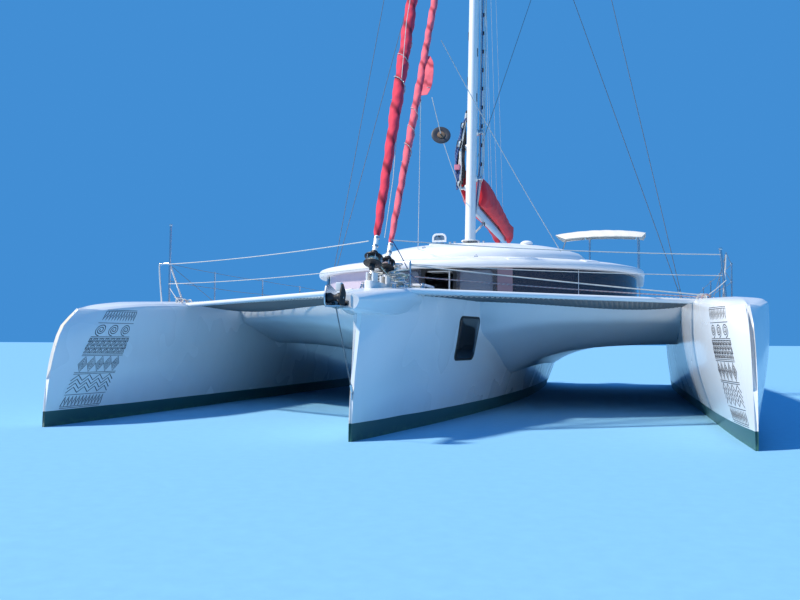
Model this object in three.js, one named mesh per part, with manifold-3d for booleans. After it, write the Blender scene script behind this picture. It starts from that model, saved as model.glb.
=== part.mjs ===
// A 45-foot cruising sailing trimaran at rest: one centre hull with a shallow keel, two floats,
// a bridge deck with nets forward of it, a glazed deckhouse, an aft cockpit and a masthead rig
// with both headsails furled and the mainsail stowed in its bag on the boom.
// Millimetres. +Z is up and z = 0 is the waterline. +Y points aft and +X to port.
// Lengths along the boat are given as distances aft of the centre hull's stem at the waterline.

import * as THREE from 'three';
import { mergeVertices } from 'three/addons/utils/BufferGeometryUtils.js';
import Module from 'manifold-3d';

const wasm = await Module();
wasm.setup();

// Driving dimensions
const STEM_Y = -6700;
const GAP = 0.3;
const FLOAT_X = 3720;
const DECK_Z = 1500;
const FLOOR_Z = 620;
const COCKPIT_Z = 950;
const EAVE_Z = 2050;
const FASCIA_Z = 2160;
const HOUSE_CENTRE = 7200;
const HOUSE_R = 2660;
const HOUSE_WALL = 50;
const HOUSE_AFT = 9900;
const EAVE_R = 2800;
const CROWN_R = 1900;
const CROWN_Z = 2300;
const CROWN_TOP_Z = 2620;
const WING_INNER = 850;
const WING_OUTER = 3450;
const WING_AFT = 12500;
const TUNNEL_Z = 950;
const MAST_FOOT = { aft: 6320, z: 2632 };
const MAST_TOP_Z = 19300;
const MAST_RAKE = 0.0944;
const GOOSENECK = { aft: 6590, z: 3280 };
const BOOM_LENGTH = 5650;
const BOOM_RISE = 0.01;
const BOOM_YAW = THREE.MathUtils.degToRad(3);
const CHAINPLATE = { x: 3520, aft: 9060, z: 1600 };
const CAP_SHROUD_Z = 17550;
const LOWER_SHROUD_Z = 11800;
const SPREADER_Z = 12100;
const SHROUD_R = 6;
const KEEL_Z = -1200;

const finish = (color, roughness, metalness = 0, opacity = 1) => new THREE.MeshStandardMaterial({
  color,
  roughness,
  metalness,
  opacity,
  transparent: opacity < 1,
});
const FINISH = {
  gelcoat: finish(0xf2f4f5, 0.25),
  antifouling: finish(0x1f4f4c, 0.8),
  glass: finish(0x1d2126, 0.1, 0, 0.6),
  milky_glass: finish(0x8794a0, 0.25, 0, 0.8),
  black_plastic: finish(0x15171a, 0.5),
  spar: finish(0xdfe3e6, 0.35, 0.6),
  stainless: finish(0xc8ccd0, 0.25, 1),
  wire: finish(0x7f858b, 0.4, 1),
  bronze: finish(0x9a7440, 0.35, 1),
  red_canvas: finish(0xb5122c, 0.85),
  bimini_canvas: finish(0xe8e2d2, 0.85),
  net: finish(0x2c2e30, 0.9),
  upholstery: finish(0xcfc6b4, 0.9),
  teak: finish(0x9c6b3f, 0.6),
  engine: finish(0x3f7f6a, 0.5),
};

const part = new THREE.Group();

// A distance aft of the stem as a Y coordinate
const aft = (distance) => STEM_Y + distance;
const point = (x, distance, z) => new THREE.Vector3(x, aft(distance), z);

// A closed geometry as a solid whose faces point out
function solid(geometry) {
  const plain = geometry.clone();
  plain.deleteAttribute('normal');
  plain.deleteAttribute('uv');
  const merged = mergeVertices(plain, 1e-3);
  const vertProperties = new Float32Array(merged.attributes.position.array);
  const triVerts = new Uint32Array(merged.index.array);
  return new wasm.Manifold(new wasm.Mesh({ numProp: 3, vertProperties, triVerts }));
}

function addNode(name, body, material, parent = part) {
  const result = body.getMesh();
  const geometry = new THREE.BufferGeometry();
  geometry.setAttribute('position', new THREE.BufferAttribute(new Float32Array(result.vertProperties), 3));
  geometry.setIndex(new THREE.BufferAttribute(new Uint32Array(result.triVerts), 1));
  geometry.computeVertexNormals();
  const mesh = new THREE.Mesh(geometry, material);
  mesh.name = name;
  parent.add(mesh);
  return mesh;
}

const union = (bodies) => bodies.reduce((whole, body) => whole.add(body));
const mirrored = (points) => points.map((p) => new THREE.Vector3(-p.x, p.y, p.z));

// The signed volume tells which way a skin faces
function signedVolume(points, faces) {
  let volume = 0;
  for (const [a, b, c] of faces) {
    volume += points[a].dot(new THREE.Vector3().crossVectors(points[b], points[c]));
  }
  return volume / 6;
}

// A solid through a row of closed rings of equal point count, capped flat at both ends.
// flat names the two coordinates in which the end rings are seen as outlines.
function loft(rings, flat) {
  const count = rings[0].length;
  const points = rings.flat();
  const faces = [];
  for (let ring = 0; ring < rings.length - 1; ring += 1) {
    for (let i = 0; i < count; i += 1) {
      const next = (i + 1) % count;
      const a = ring * count + i;
      const b = ring * count + next;
      faces.push([a, b, b + count], [a, b + count, a + count]);
    }
  }
  const outline = (ring) => ring.map((p) => new THREE.Vector2(p[flat[0]], p[flat[1]]));
  const cap = (ring, start, reverse) => {
    for (const face of THREE.ShapeUtils.triangulateShape(outline(ring), [])) {
      const [a, b, c] = face.map((i) => i + start);
      faces.push(reverse ? [a, c, b] : [a, b, c]);
    }
  };
  const last = rings.at(-1);
  cap(rings[0], 0, !THREE.ShapeUtils.isClockWise(outline(rings[0])));
  cap(last, points.length - count, THREE.ShapeUtils.isClockWise(outline(last)));
  if (signedVolume(points, faces) < 0) {
    faces.forEach((face) => face.reverse());
  }
  const geometry = new THREE.BufferGeometry().setFromPoints(points);
  geometry.setIndex(faces.flat());
  return solid(geometry);
}

function box(x0, x1, aft0, aft1, z0, z1) {
  const geometry = new THREE.BoxGeometry(x1 - x0, aft1 - aft0, z1 - z0);
  geometry.translate((x0 + x1) / 2, aft((aft0 + aft1) / 2), (z0 + z1) / 2);
  return solid(geometry);
}

// The radius of a bore whose flats clear the corners of a round bar that turns in it
const boreRadius = (radius, sides) => (radius + 0.2) / Math.cos(Math.PI / sides);

// An outline in the plan, as [x, aft] points, drawn up from z0 to z1
function prism(outline, z0, z1) {
  const shape = new THREE.Shape(outline.map(([x, distance]) => new THREE.Vector2(x, aft(distance))));
  const geometry = new THREE.ExtrudeGeometry(shape, { depth: z1 - z0, bevelEnabled: false });
  geometry.translate(0, 0, z0);
  return solid(geometry);
}

// A round bar from one point to another, tapered where two radii are given
function bar(start, end, radius, sides = 8, endRadius = radius) {
  const along = new THREE.Vector3().subVectors(end, start);
  const geometry = new THREE.CylinderGeometry(endRadius, radius, along.length(), sides);
  geometry.translate(0, along.length() / 2, 0);
  geometry.applyQuaternion(new THREE.Quaternion().setFromUnitVectors(
    new THREE.Vector3(0, 1, 0),
    along.clone().normalize(),
  ));
  geometry.translate(start.x, start.y, start.z);
  return solid(geometry);
}

// A round solid about a vertical line, from a profile of [radius, z] points that starts and ends on it
function turned(x, distance, profile, segments = 16) {
  const geometry = new THREE.LatheGeometry(profile.map(([r, z]) => new THREE.Vector2(r, z)), segments);
  geometry.rotateX(Math.PI / 2);
  geometry.translate(x, aft(distance), 0);
  return solid(geometry);
}

// Hull forms
// Each station gives its distance aft of the stem, half-beam at deck and at waterline,
// deck height and bottom depth.
const CENTRE_STATIONS = [
  { at: 0, beam: 24, water: 14, deckZ: 1470, bottomZ: -90 },
  { at: 450, beam: 190, water: 92, deckZ: 1492, bottomZ: -330 },
  { at: 1200, beam: 400, water: 210, deckZ: 1550, bottomZ: -450 },
  { at: 2000, beam: 620, water: 335, deckZ: 1562, bottomZ: -510 },
  { at: 3000, beam: 820, water: 460, deckZ: 1560, bottomZ: -545 },
  { at: 4000, beam: 950, water: 572, deckZ: 1550, bottomZ: -560 },
  { at: 5200, beam: 1040, water: 675, deckZ: 1550, bottomZ: -565 },
  { at: 6800, beam: 1110, water: 760, deckZ: 1550, bottomZ: -560 },
  { at: 8500, beam: 1120, water: 780, deckZ: 1550, bottomZ: -510 },
  { at: 10200, beam: 1080, water: 745, deckZ: 1550, bottomZ: -400 },
  { at: 11800, beam: 1010, water: 670, deckZ: 1250, bottomZ: -255 },
  { at: 13250, beam: 920, water: 560, deckZ: 1250, bottomZ: -110 },
];
const FLOAT_STATIONS = [
  { at: 380, beam: 22, water: 12, deckZ: 1330, bottomZ: -60 },
  { at: 900, beam: 165, water: 40, deckZ: 1385, bottomZ: -190 },
  { at: 1600, beam: 280, water: 75, deckZ: 1430, bottomZ: -250 },
  { at: 2500, beam: 370, water: 108, deckZ: 1475, bottomZ: -300 },
  { at: 3700, beam: 432, water: 140, deckZ: 1525, bottomZ: -340 },
  { at: 5300, beam: 478, water: 185, deckZ: 1570, bottomZ: -370 },
  { at: 7500, beam: 500, water: 255, deckZ: 1580, bottomZ: -380 },
  { at: 9500, beam: 498, water: 310, deckZ: 1575, bottomZ: -360 },
  { at: 11400, beam: 470, water: 345, deckZ: 1550, bottomZ: -290 },
  { at: 13000, beam: 420, water: 320, deckZ: 1500, bottomZ: -130 },
];
// How far aft of its waterline point each stem stands at a height
const CENTRE_STEM = [
  { z: -330, back: 330 },
  { z: 0, back: 0 },
  { z: 500, back: 60 },
  { z: 1290, back: 300 },
  { z: 1650, back: 420 },
];
const FLOAT_STEM = [
  { z: -250, back: 240 },
  { z: 0, back: 0 },
  { z: 580, back: 70 },
  { z: 1090, back: 260 },
  { z: 1350, back: 600 },
];
const CENTRE_FORM = { x: 0, stem: CENTRE_STEM, rakeFade: 1900, edge: 60, camber: 25, bulge: 0.45 };
const FLOAT_FORM = { stem: FLOAT_STEM, rakeFade: 1500, edge: 100, camber: 18, bulge: 1 };
const SIDE_LEVELS = [0.14, 0.4, 0.7, 1];

function stemBack(stem, z) {
  const above = stem.findIndex((row) => row.z >= z);
  if (above === 0) {
    return stem[0].back;
  }
  if (above < 0) {
    return stem.at(-1).back;
  }
  const low = stem[above - 1];
  const high = stem[above];
  return THREE.MathUtils.mapLinear(z, low.z, high.z, low.back, high.back);
}

// One closed ring of a hull, out from its keel line to the deck and back on the other side
function hullRing(row, form, grow) {
  const edge = Math.min(form.edge, row.beam * 0.6);
  const sideTop = row.deckZ - edge;
  const flare = (t) => (1 - form.bulge) * t + form.bulge * Math.sin((Math.min(1, t / 0.8) * Math.PI) / 2);
  const half = [
    [row.water * 0.55, row.bottomZ * 0.88],
    [row.water * 0.88, row.bottomZ * 0.5],
    [row.water, 0],
    ...SIDE_LEVELS.map((t) => [row.water + (row.beam - row.water) * flare(t), t * sideTop]),
    [row.beam - edge * 0.3, row.deckZ - edge * 0.3],
    [row.beam - edge, row.deckZ],
  ].map(([b, z]) => [b + grow, z]);
  const fade = Math.max(0, 1 - (row.at - (form.first ?? 0)) / form.rakeFade);
  const place = ([b, z]) => point(form.x + b, row.at + stemBack(form.stem, z) * fade, z);
  const keel = place([0, row.bottomZ - grow]);
  const crown = place([0, row.deckZ + form.camber + grow]);
  const otherSide = half.map(([b, z]) => place([-b, z])).reverse();
  return [keel, ...half.map(place), crown, ...otherSide];
}

const hull = (stations, form, grow = 0) => loft(
  stations.map((row) => hullRing(row, form, grow)),
  ['x', 'z'],
);

// Bridge deck: a wing across all three hulls with a scooped leading face
const WING_X = [0, WING_INNER, 1150, 1500, 1900, 2400, 2900, WING_OUTER];
const SCOOP = [
  { along: 0, drop: 0 },
  { along: 0.03, drop: 0.2 },
  { along: 0.09, drop: 0.38 },
  { along: 0.3, drop: 0.54 },
  { along: 0.55, drop: 0.72 },
  { along: 0.8, drop: 0.9 },
  { along: 1, drop: 1 },
];

function wingLeading(x) {
  const outward = Math.max(0, x - WING_INNER) / (WING_OUTER - WING_INNER);
  return 2800 + 1800 * outward ** 1.4;
}

function tunnelZ(x) {
  return TUNNEL_Z - 450 * Math.exp(-Math.max(0, x - WING_INNER) / 600);
}

function wingRing(x, grow, top) {
  const outward = Math.max(0, x - WING_INNER) / (WING_OUTER - WING_INNER);
  const leading = wingLeading(x);
  const scoopLength = THREE.MathUtils.lerp(2300, 1500, outward);
  const low = tunnelZ(x);
  const ring = SCOOP.map(({ along, drop }) => point(
    x,
    leading + scoopLength * along - grow,
    DECK_Z - 30 - (DECK_Z - 30 - low) * drop - grow,
  ));
  ring.push(point(x, WING_AFT - 500, low - grow));
  ring.push(point(x, WING_AFT + grow, low + 150 - grow));
  ring.push(point(x, WING_AFT + grow, top));
  ring.push(point(x, leading + 30 - grow, top));
  return ring;
}

function wing(grow = 0, top = DECK_Z) {
  const port = WING_X.map((x) => wingRing(x, grow, top));
  const starboard = port.slice(1).reverse().map(mirrored);
  return loft([...starboard, ...port], ['y', 'z']);
}

// A deckhouse outline at a radius: a half circle forward and straight sides aft
function houseOutline(radius, end, steps = 24) {
  const arc = [];
  for (let i = 0; i <= steps; i += 1) {
    const angle = -Math.PI / 2 + (Math.PI * i) / steps;
    arc.push([radius * Math.sin(angle), HOUSE_CENTRE - radius * Math.cos(angle)]);
  }
  return [...arc, [radius, end], [-radius, end]];
}

const outlineRing = (outline, z) => outline.map(([x, distance]) => point(x, distance, z));
// Rows of the radius, the height and the after end of a domed roof
const dome = (rows) => loft(rows.map(({ r, z, end }) => outlineRing(houseOutline(r, end), z)), ['x', 'y']);

// The inner sail's clew hangs as a folded flap on the port side of its roll
const CLEW = [
  { z: 4100, reach: 150, half: 12 },
  { z: 4420, reach: 165, half: 16 },
  { z: 4730, reach: 110, half: 12 },
];

// Hulls
const FLOATS = [
  { side: 'port', sign: 1 },
  { side: 'starboard', sign: -1 },
];
const floatForm = (sign) => ({ ...FLOAT_FORM, x: sign * FLOAT_X, first: FLOAT_STATIONS[0].at });
const grownFloats = FLOATS.map(({ sign }) => hull(FLOAT_STATIONS, floatForm(sign), GAP));

for (const { side, sign } of FLOATS) {
  addNode(`float_${side}`, hull(FLOAT_STATIONS, floatForm(sign)), FINISH.gelcoat);
}

// The chin over the stem that carries the anchor roller
const CHIN = [
  { at: -75, half: 110, lowZ: 1292, deckZ: 1430 },
  { at: 250, half: 210, lowZ: 1268, deckZ: 1470 },
  { at: 700, half: 320, lowZ: 1250, deckZ: 1516 },
  { at: 1250, half: 428, lowZ: 1290, deckZ: 1552 },
];
const CHIN_EDGE = 45;
const chin = (grow = 0) => loft(CHIN.map(({ at, half, lowZ, deckZ }) => [
  [0, lowZ - 25 - grow],
  [half * 0.75, lowZ - grow],
  [half + grow, deckZ - CHIN_EDGE],
  [half - CHIN_EDGE, deckZ + grow],
  [0, deckZ + 20 + grow],
  [CHIN_EDGE - half, deckZ + grow],
  [-half - grow, deckZ - CHIN_EDGE],
  [-half * 0.75, lowZ - grow],
].map(([x, z]) => point(x, at, z))), ['x', 'z']);
const centreSkin = (grow = 0) => union([hull(CENTRE_STATIONS, CENTRE_FORM, grow), chin(grow)]);

const ENGINE_BAY = { x: 420, from: 8000, to: 9500, low: -330 };
const engineBay = box(-ENGINE_BAY.x, ENGINE_BAY.x, ENGINE_BAY.from, ENGINE_BAY.to, ENGINE_BAY.low, 600);
const STOCK = { aft: 12150, r: 32, top: 300 };
const stockBore = bar(
  point(0, STOCK.aft, -600),
  point(0, STOCK.aft, STOCK.top),
  boreRadius(STOCK.r, 16),
  16,
);
// The steps that climb from the stern to the cockpit
const STEPS = [
  { from: 12500, z: 780 },
  { from: 12760, z: 560 },
  { from: 13010, z: 340 },
];
const stepCuts = STEPS.map(({ from, z }) => box(-1200, 1200, from, 13400, z, 1700));
// A chain locker in the foredeck, with a raised rim for its lid
const LOCKER = { x: 240, from: 1900, to: 2400, low: 1150, rim: 1612 };
const lockerWell = box(-LOCKER.x, LOCKER.x, LOCKER.from, LOCKER.to, LOCKER.low, LOCKER.rim + 10);
const lockerRim = box(-LOCKER.x - 25, LOCKER.x + 25, LOCKER.from - 25, LOCKER.to + 25, 1500, LOCKER.rim);
const LADDER = { x: 180, aft: 13290, z: 360, r: 12.5, length: 820, hinge: 215.5 };
const ladderLugs = [1, -1].map((sign) => box(
  Math.min(sign * 216, sign * 240),
  Math.max(sign * 216, sign * 240),
  13150,
  LADDER.aft + 18,
  300,
  LADDER.z + 15,
));

const centreHull = union([centreSkin(), lockerRim])
  .subtract(wing(GAP, 2200))
  .subtract(engineBay)
  .subtract(stockBore)
  .subtract(union(stepCuts))
  .subtract(lockerWell)
  .add(union(ladderLugs));
addNode('centre_hull', centreHull, FINISH.gelcoat);

addNode('engine', box(-260, 260, 8150, 9150, ENGINE_BAY.low + GAP, 350), FINISH.engine);

// The locker lid lies on its rim and swings about a barrel along its forward edge
const LID = { hinge: LOCKER.from - 45, z: LOCKER.rim + 14, thick: 28, r: 12, half: 150 };
const lidPlate = box(
  -LOCKER.x - 25,
  LOCKER.x + 25,
  LID.hinge + 5,
  LOCKER.to + 25,
  LOCKER.rim + GAP,
  LOCKER.rim + GAP + LID.thick,
);
const lidBarrel = bar(point(-LID.half, LID.hinge, LID.z), point(LID.half, LID.hinge, LID.z), LID.r, 12);
addNode('locker_lid', union([lidPlate, lidBarrel]), FINISH.gelcoat);

// The swim ladder stands folded up behind the last step
const ladderRails = [1, -1].map((sign) => bar(
  point(sign * LADDER.x, LADDER.aft, LADDER.z),
  point(sign * LADDER.x, LADDER.aft, LADDER.z + LADDER.length),
  LADDER.r,
));
const ladderRungs = [0.3, 0.62, 0.94].map((share) => bar(
  point(-LADDER.x, LADDER.aft, LADDER.z + share * LADDER.length),
  point(LADDER.x, LADDER.aft, LADDER.z + share * LADDER.length),
  LADDER.r,
));
const ladderHinge = bar(
  point(-LADDER.hinge, LADDER.aft, LADDER.z),
  point(LADDER.hinge, LADDER.aft, LADDER.z),
  LADDER.r,
  12,
);
addNode('swim_ladder', union([...ladderRails, ...ladderRungs, ladderHinge]), FINISH.stainless);

// Shallow keel with a rounded nose and a fine after edge
const KEEL_ROWS = [
  { z: -559, nose: 4300, chord: 3900, thick: 230 },
  { z: -900, nose: 4500, chord: 3500, thick: 220 },
  { z: KEEL_Z, nose: 4800, chord: 3000, thick: 200 },
];
const FOIL = [[0, 0], [0.03, 0.28], [0.12, 0.45], [0.32, 0.5], [0.6, 0.36], [0.85, 0.14], [1, 0.02]];
const foilRing = (z, nose, chord, thick) => [
  ...FOIL.map(([a, w]) => point(w * thick, nose + a * chord, z)),
  ...FOIL.slice(1).reverse().map(([a, w]) => point(-w * thick, nose + a * chord, z)),
];
const keelRings = KEEL_ROWS.map(({ z, nose, chord, thick }) => foilRing(z, nose, chord, thick));
const keel = loft(keelRings, ['x', 'y']).subtract(hull(CENTRE_STATIONS, CENTRE_FORM, GAP));
addNode('keel', keel, FINISH.antifouling);

// Bridge deck with the saloon well, the engine hatch way and the cockpit well
const saloonWell = prism(houseOutline(HOUSE_R - 300, HOUSE_AFT - 260), 1060, 1700);
const saloonSole = box(-840, 840, 5700, HOUSE_AFT - 400, FLOOR_Z, 1700);
const COCKPIT = { x0: -2350, x1: 1350, from: HOUSE_AFT, to: 12200 };
const cockpitWell = box(COCKPIT.x0, COCKPIT.x1, COCKPIT.from, COCKPIT.to, COCKPIT_Z, 1700);
// A landing inside the door, a step up from the sole
const landing = box(-840, 840, HOUSE_AFT - 500, HOUSE_AFT - 260, COCKPIT_Z, 1700);
const DOORWAY = { half: 400, head: 1980 };
const doorWay = box(-DOORWAY.half, DOORWAY.half, HOUSE_AFT - 500, COCKPIT.from + 10, COCKPIT_Z, 1700);
const sternGate = box(-450, 450, COCKPIT.to - 10, WING_AFT + 10, COCKPIT_Z, 1700);
// The helm well lies to port of the cockpit, a step above its sole
const HELM = { x0: 1500, x1: 2750, from: 10050, to: 11600, z: 1150 };
const helmWell = box(HELM.x0, HELM.x1, HELM.from, HELM.to, HELM.z, 1700);
const helmPassage = box(COCKPIT.x1 - 10, HELM.x0 + 10, 10950, HELM.to, HELM.z, 1700);
const DOOR = { half: 440, low: COCKPIT_Z + 6, high: 2040, from: HOUSE_AFT + 6, thick: 32, travel: 900 };
const doorTrack = box(
  -DOOR.half - DOOR.travel,
  DOOR.half,
  DOOR.from + 6,
  DOOR.from + 26,
  COCKPIT_Z - 10,
  DOOR.low - 0.5,
);
const platform = wing()
  .subtract(union(grownFloats))
  .subtract(saloonWell)
  .subtract(saloonSole)
  .subtract(landing)
  .subtract(cockpitWell)
  .subtract(doorWay)
  .subtract(sternGate)
  .subtract(helmWell)
  .subtract(helmPassage);
// It is moulded in two, which meet under the after bulkhead
const MOULD_JOINT = HOUSE_AFT - 25;
const forwardOfJoint = box(-5000, 5000, -1000, MOULD_JOINT + GAP, -1000, 4000);
const aftOfJoint = box(-5000, 5000, MOULD_JOINT, 15000, -1000, 4000);
addNode('bridge_deck', platform.subtract(aftOfJoint), FINISH.gelcoat);
addNode('cockpit_moulding', platform.subtract(forwardOfJoint).add(doorTrack), FINISH.gelcoat);

// Deckhouse walls: one curved wall round the front and sides, one bulkhead aft
const SILL_Z = 1535;
const HEAD_Z = 2028;
const WALL_Z = { low: DECK_Z + GAP, high: EAVE_Z - GAP };
// Window openings in the curved wall, as angles from dead ahead, positive to port
const WINDOWS = [
  { name: 'pane_quarter_starboard', from: -88, to: -60, glass: 'glass' },
  { name: 'pane_front_starboard', from: -57, to: -28, glass: 'glass' },
  { name: 'pane_centre_starboard', from: -26, to: -9.5, glass: 'milky_glass' },
  { name: null, from: -8, to: 2, glass: null },
  { name: 'pane_centre_port', from: 3.5, to: 14.5, glass: 'milky_glass' },
  { name: 'pane_front_port', from: 16.5, to: 42.5, glass: 'glass' },
  { name: 'pane_quarter_port', from: 44.5, to: 69, glass: 'glass' },
];
const SIDE_WINDOW = { from: 7420, to: 9640 };

function arcSector(inner, outer, fromDegrees, toDegrees, z0, z1) {
  const steps = Math.max(3, Math.round((toDegrees - fromDegrees) / 5));
  const at = (radius, i) => {
    const angle = THREE.MathUtils.degToRad(fromDegrees + ((toDegrees - fromDegrees) * i) / steps);
    return [radius * Math.sin(angle), HOUSE_CENTRE - radius * Math.cos(angle)];
  };
  const outline = [];
  for (let i = 0; i <= steps; i += 1) {
    outline.push(at(outer, i));
  }
  for (let i = steps; i >= 0; i -= 1) {
    outline.push(at(inner, i));
  }
  return prism(outline, z0, z1);
}

const houseInner = prism(houseOutline(HOUSE_R - HOUSE_WALL, HOUSE_AFT + 10), 1400, 2200);
const CUT = { inner: HOUSE_R - 120, outer: HOUSE_R + 60 };
const windowCuts = WINDOWS.map(({ from, to }) => arcSector(CUT.inner, CUT.outer, from, to, SILL_Z, HEAD_Z));
const sideCuts = [1, -1].map((sign) => box(
  Math.min(sign * CUT.inner, sign * CUT.outer),
  Math.max(sign * CUT.inner, sign * CUT.outer),
  SIDE_WINDOW.from,
  SIDE_WINDOW.to,
  SILL_Z,
  HEAD_Z,
));
const cabinWall = prism(houseOutline(HOUSE_R, HOUSE_AFT - HOUSE_WALL - GAP), WALL_Z.low, WALL_Z.high)
  .subtract(houseInner)
  .subtract(union(windowCuts))
  .subtract(union(sideCuts));
addNode('cabin_wall', cabinWall, FINISH.gelcoat);

const PANE = { inner: HOUSE_R - 38, outer: HOUSE_R - 28, low: SILL_Z + GAP, high: HEAD_Z - GAP };
const PANE_SLACK = THREE.MathUtils.radToDeg(GAP / HOUSE_R);
for (const { name, from, to, glass } of WINDOWS.filter((row) => row.name)) {
  const span = [from + PANE_SLACK, to - PANE_SLACK];
  addNode(name, arcSector(PANE.inner, PANE.outer, ...span, PANE.low, PANE.high), FINISH[glass]);
}
for (const { side, sign } of FLOATS) {
  addNode(`pane_side_${side}`, box(
    Math.min(sign * PANE.inner, sign * PANE.outer),
    Math.max(sign * PANE.inner, sign * PANE.outer),
    SIDE_WINDOW.from + GAP,
    SIDE_WINDOW.to - GAP,
    PANE.low,
    PANE.high,
  ), FINISH.glass);
}

// After bulkhead with the companionway and a fixed pane to starboard of it
const BULKHEAD = { from: HOUSE_AFT - HOUSE_WALL, to: HOUSE_AFT };
const AFT_PANE = { x0: -2100, x1: -520 };
const bulkhead = box(-HOUSE_R, HOUSE_R, BULKHEAD.from, BULKHEAD.to, WALL_Z.low, WALL_Z.high)
  .subtract(box(-DOORWAY.half, DOORWAY.half, BULKHEAD.from - 10, BULKHEAD.to + 10, 1400, DOORWAY.head))
  .subtract(box(AFT_PANE.x0, AFT_PANE.x1, BULKHEAD.from - 10, BULKHEAD.to + 10, SILL_Z, DOORWAY.head));
addNode('cabin_bulkhead', bulkhead, FINISH.gelcoat);
addNode('pane_aft', box(
  AFT_PANE.x0 + GAP,
  AFT_PANE.x1 - GAP,
  BULKHEAD.from + 20,
  BULKHEAD.from + 30,
  SILL_Z + GAP,
  DOORWAY.head - GAP,
), FINISH.glass);
const saloonDoor = box(-DOOR.half, DOOR.half, DOOR.from, DOOR.from + DOOR.thick, DOOR.low, DOOR.high);
addNode('saloon_door', saloonDoor, FINISH.glass);

// Roof: a lower tier with its fascia, and a raised crown that carries the mast
const ROOF_AFT = 9950;
const ROOF_ROWS = [
  { r: EAVE_R - 20, z: EAVE_Z, end: ROOF_AFT },
  { r: EAVE_R, z: EAVE_Z + 50, end: ROOF_AFT },
  { r: EAVE_R - 20, z: FASCIA_Z, end: ROOF_AFT },
  { r: EAVE_R - 220, z: FASCIA_Z + 45, end: ROOF_AFT },
  { r: EAVE_R - 800, z: CROWN_Z - 30, end: ROOF_AFT },
  { r: CROWN_R - 40, z: CROWN_Z - 10, end: ROOF_AFT },
];
const roofSkin = dome(ROOF_ROWS);
const ceiling = dome([
  { r: HOUSE_R - 150, z: EAVE_Z - 10, end: ROOF_AFT - 250 },
  { r: HOUSE_R - 150, z: EAVE_Z + 60, end: ROOF_AFT - 250 },
  { r: CROWN_R - 60, z: CROWN_Z - 70, end: ROOF_AFT - 300 },
]);
const crownWay = prism(houseOutline(CROWN_R - 250, ROOF_AFT - 500), EAVE_Z - 10, CROWN_Z + 50);
addNode('coachroof', roofSkin.subtract(ceiling).subtract(crownWay), FINISH.gelcoat);

const CROWN_ROWS = [
  { r: CROWN_R - 60, z: CROWN_Z - 10 + GAP, end: 9700 },
  { r: CROWN_R - 70, z: CROWN_Z + 70, end: 9690 },
  { r: CROWN_R - 150, z: 2450, end: 9600 },
  { r: 1500, z: 2525, end: 9400 },
  { r: 1210, z: 2575, end: 9200 },
  { r: 900, z: 2608, end: 8900 },
  { r: 650, z: CROWN_TOP_Z, end: 8500 },
];
const crownSkin = dome(CROWN_ROWS);
const CEILING_Z = 2530;
const crownCeiling = dome([
  { r: CROWN_R - 255, z: CROWN_Z - 20, end: 9450 },
  { r: 1560, z: 2390, end: 9350 },
  { r: 1300, z: 2480, end: 9100 },
  { r: 950, z: CEILING_Z, end: 8800 },
]);
const MAST = { wide: 85, deep: 135 };
const mastPad = box(-140, 140, MAST_FOOT.aft - 190, MAST_FOOT.aft + 190, CEILING_Z + 20, MAST_FOOT.z);
// A small roof hatch to starboard of the mast: its rim is on the crown and its lid stands open
const HATCH = { x: -500, half: 120, aft: 6200, deep: 150, rim: 2585, lidHeight: 145 };
const hatchRim = box(
  HATCH.x - HATCH.half,
  HATCH.x + HATCH.half,
  HATCH.aft - HATCH.deep,
  HATCH.aft - 5,
  CEILING_Z - 60,
  HATCH.rim,
);
const hatchWell = box(
  HATCH.x - HATCH.half + 30,
  HATCH.x + HATCH.half - 30,
  HATCH.aft - HATCH.deep + 30,
  HATCH.aft - 35,
  HATCH.rim - 45,
  HATCH.rim + 10,
);
const HINGE = { aft: HATCH.aft + 12, z: HATCH.rim + 19, r: 9, half: 60.6 };
const hatchLugs = [-1, 1].map((sign) => box(
  HATCH.x + sign * 71 - 10,
  HATCH.x + sign * 71 + 10,
  HINGE.aft - 12,
  HINGE.aft + 12,
  CEILING_Z - 60,
  HINGE.z + 10,
));
const crown = union([crownSkin, mastPad, hatchRim, ...hatchLugs])
  .subtract(crownCeiling)
  .subtract(hatchWell);
addNode('roof_crown', crown, FINISH.gelcoat);
const lidArch = new THREE.Shape();
lidArch.moveTo(-HATCH.half, 20);
lidArch.lineTo(HATCH.half, 20);
lidArch.absarc(0, HATCH.lidHeight - HATCH.half, HATCH.half, 0, Math.PI, false);
const archGeometry = new THREE.ExtrudeGeometry(lidArch, {
  depth: 26,
  bevelEnabled: false,
  curveSegments: 8,
});
archGeometry.rotateX(Math.PI / 2);
archGeometry.translate(HATCH.x, aft(HINGE.aft + 13), HINGE.z);
const hatchBarrel = bar(
  point(HATCH.x - HINGE.half, HINGE.aft, HINGE.z),
  point(HATCH.x + HINGE.half, HINGE.aft, HINGE.z),
  HINGE.r,
  12,
);
const hatchTongue = box(HATCH.x - 50, HATCH.x + 50, HINGE.aft - 8, HINGE.aft + 8, HINGE.z, HINGE.z + 30);
addNode('roof_hatch', union([solid(archGeometry), hatchBarrel, hatchTongue]), FINISH.gelcoat);

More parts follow.
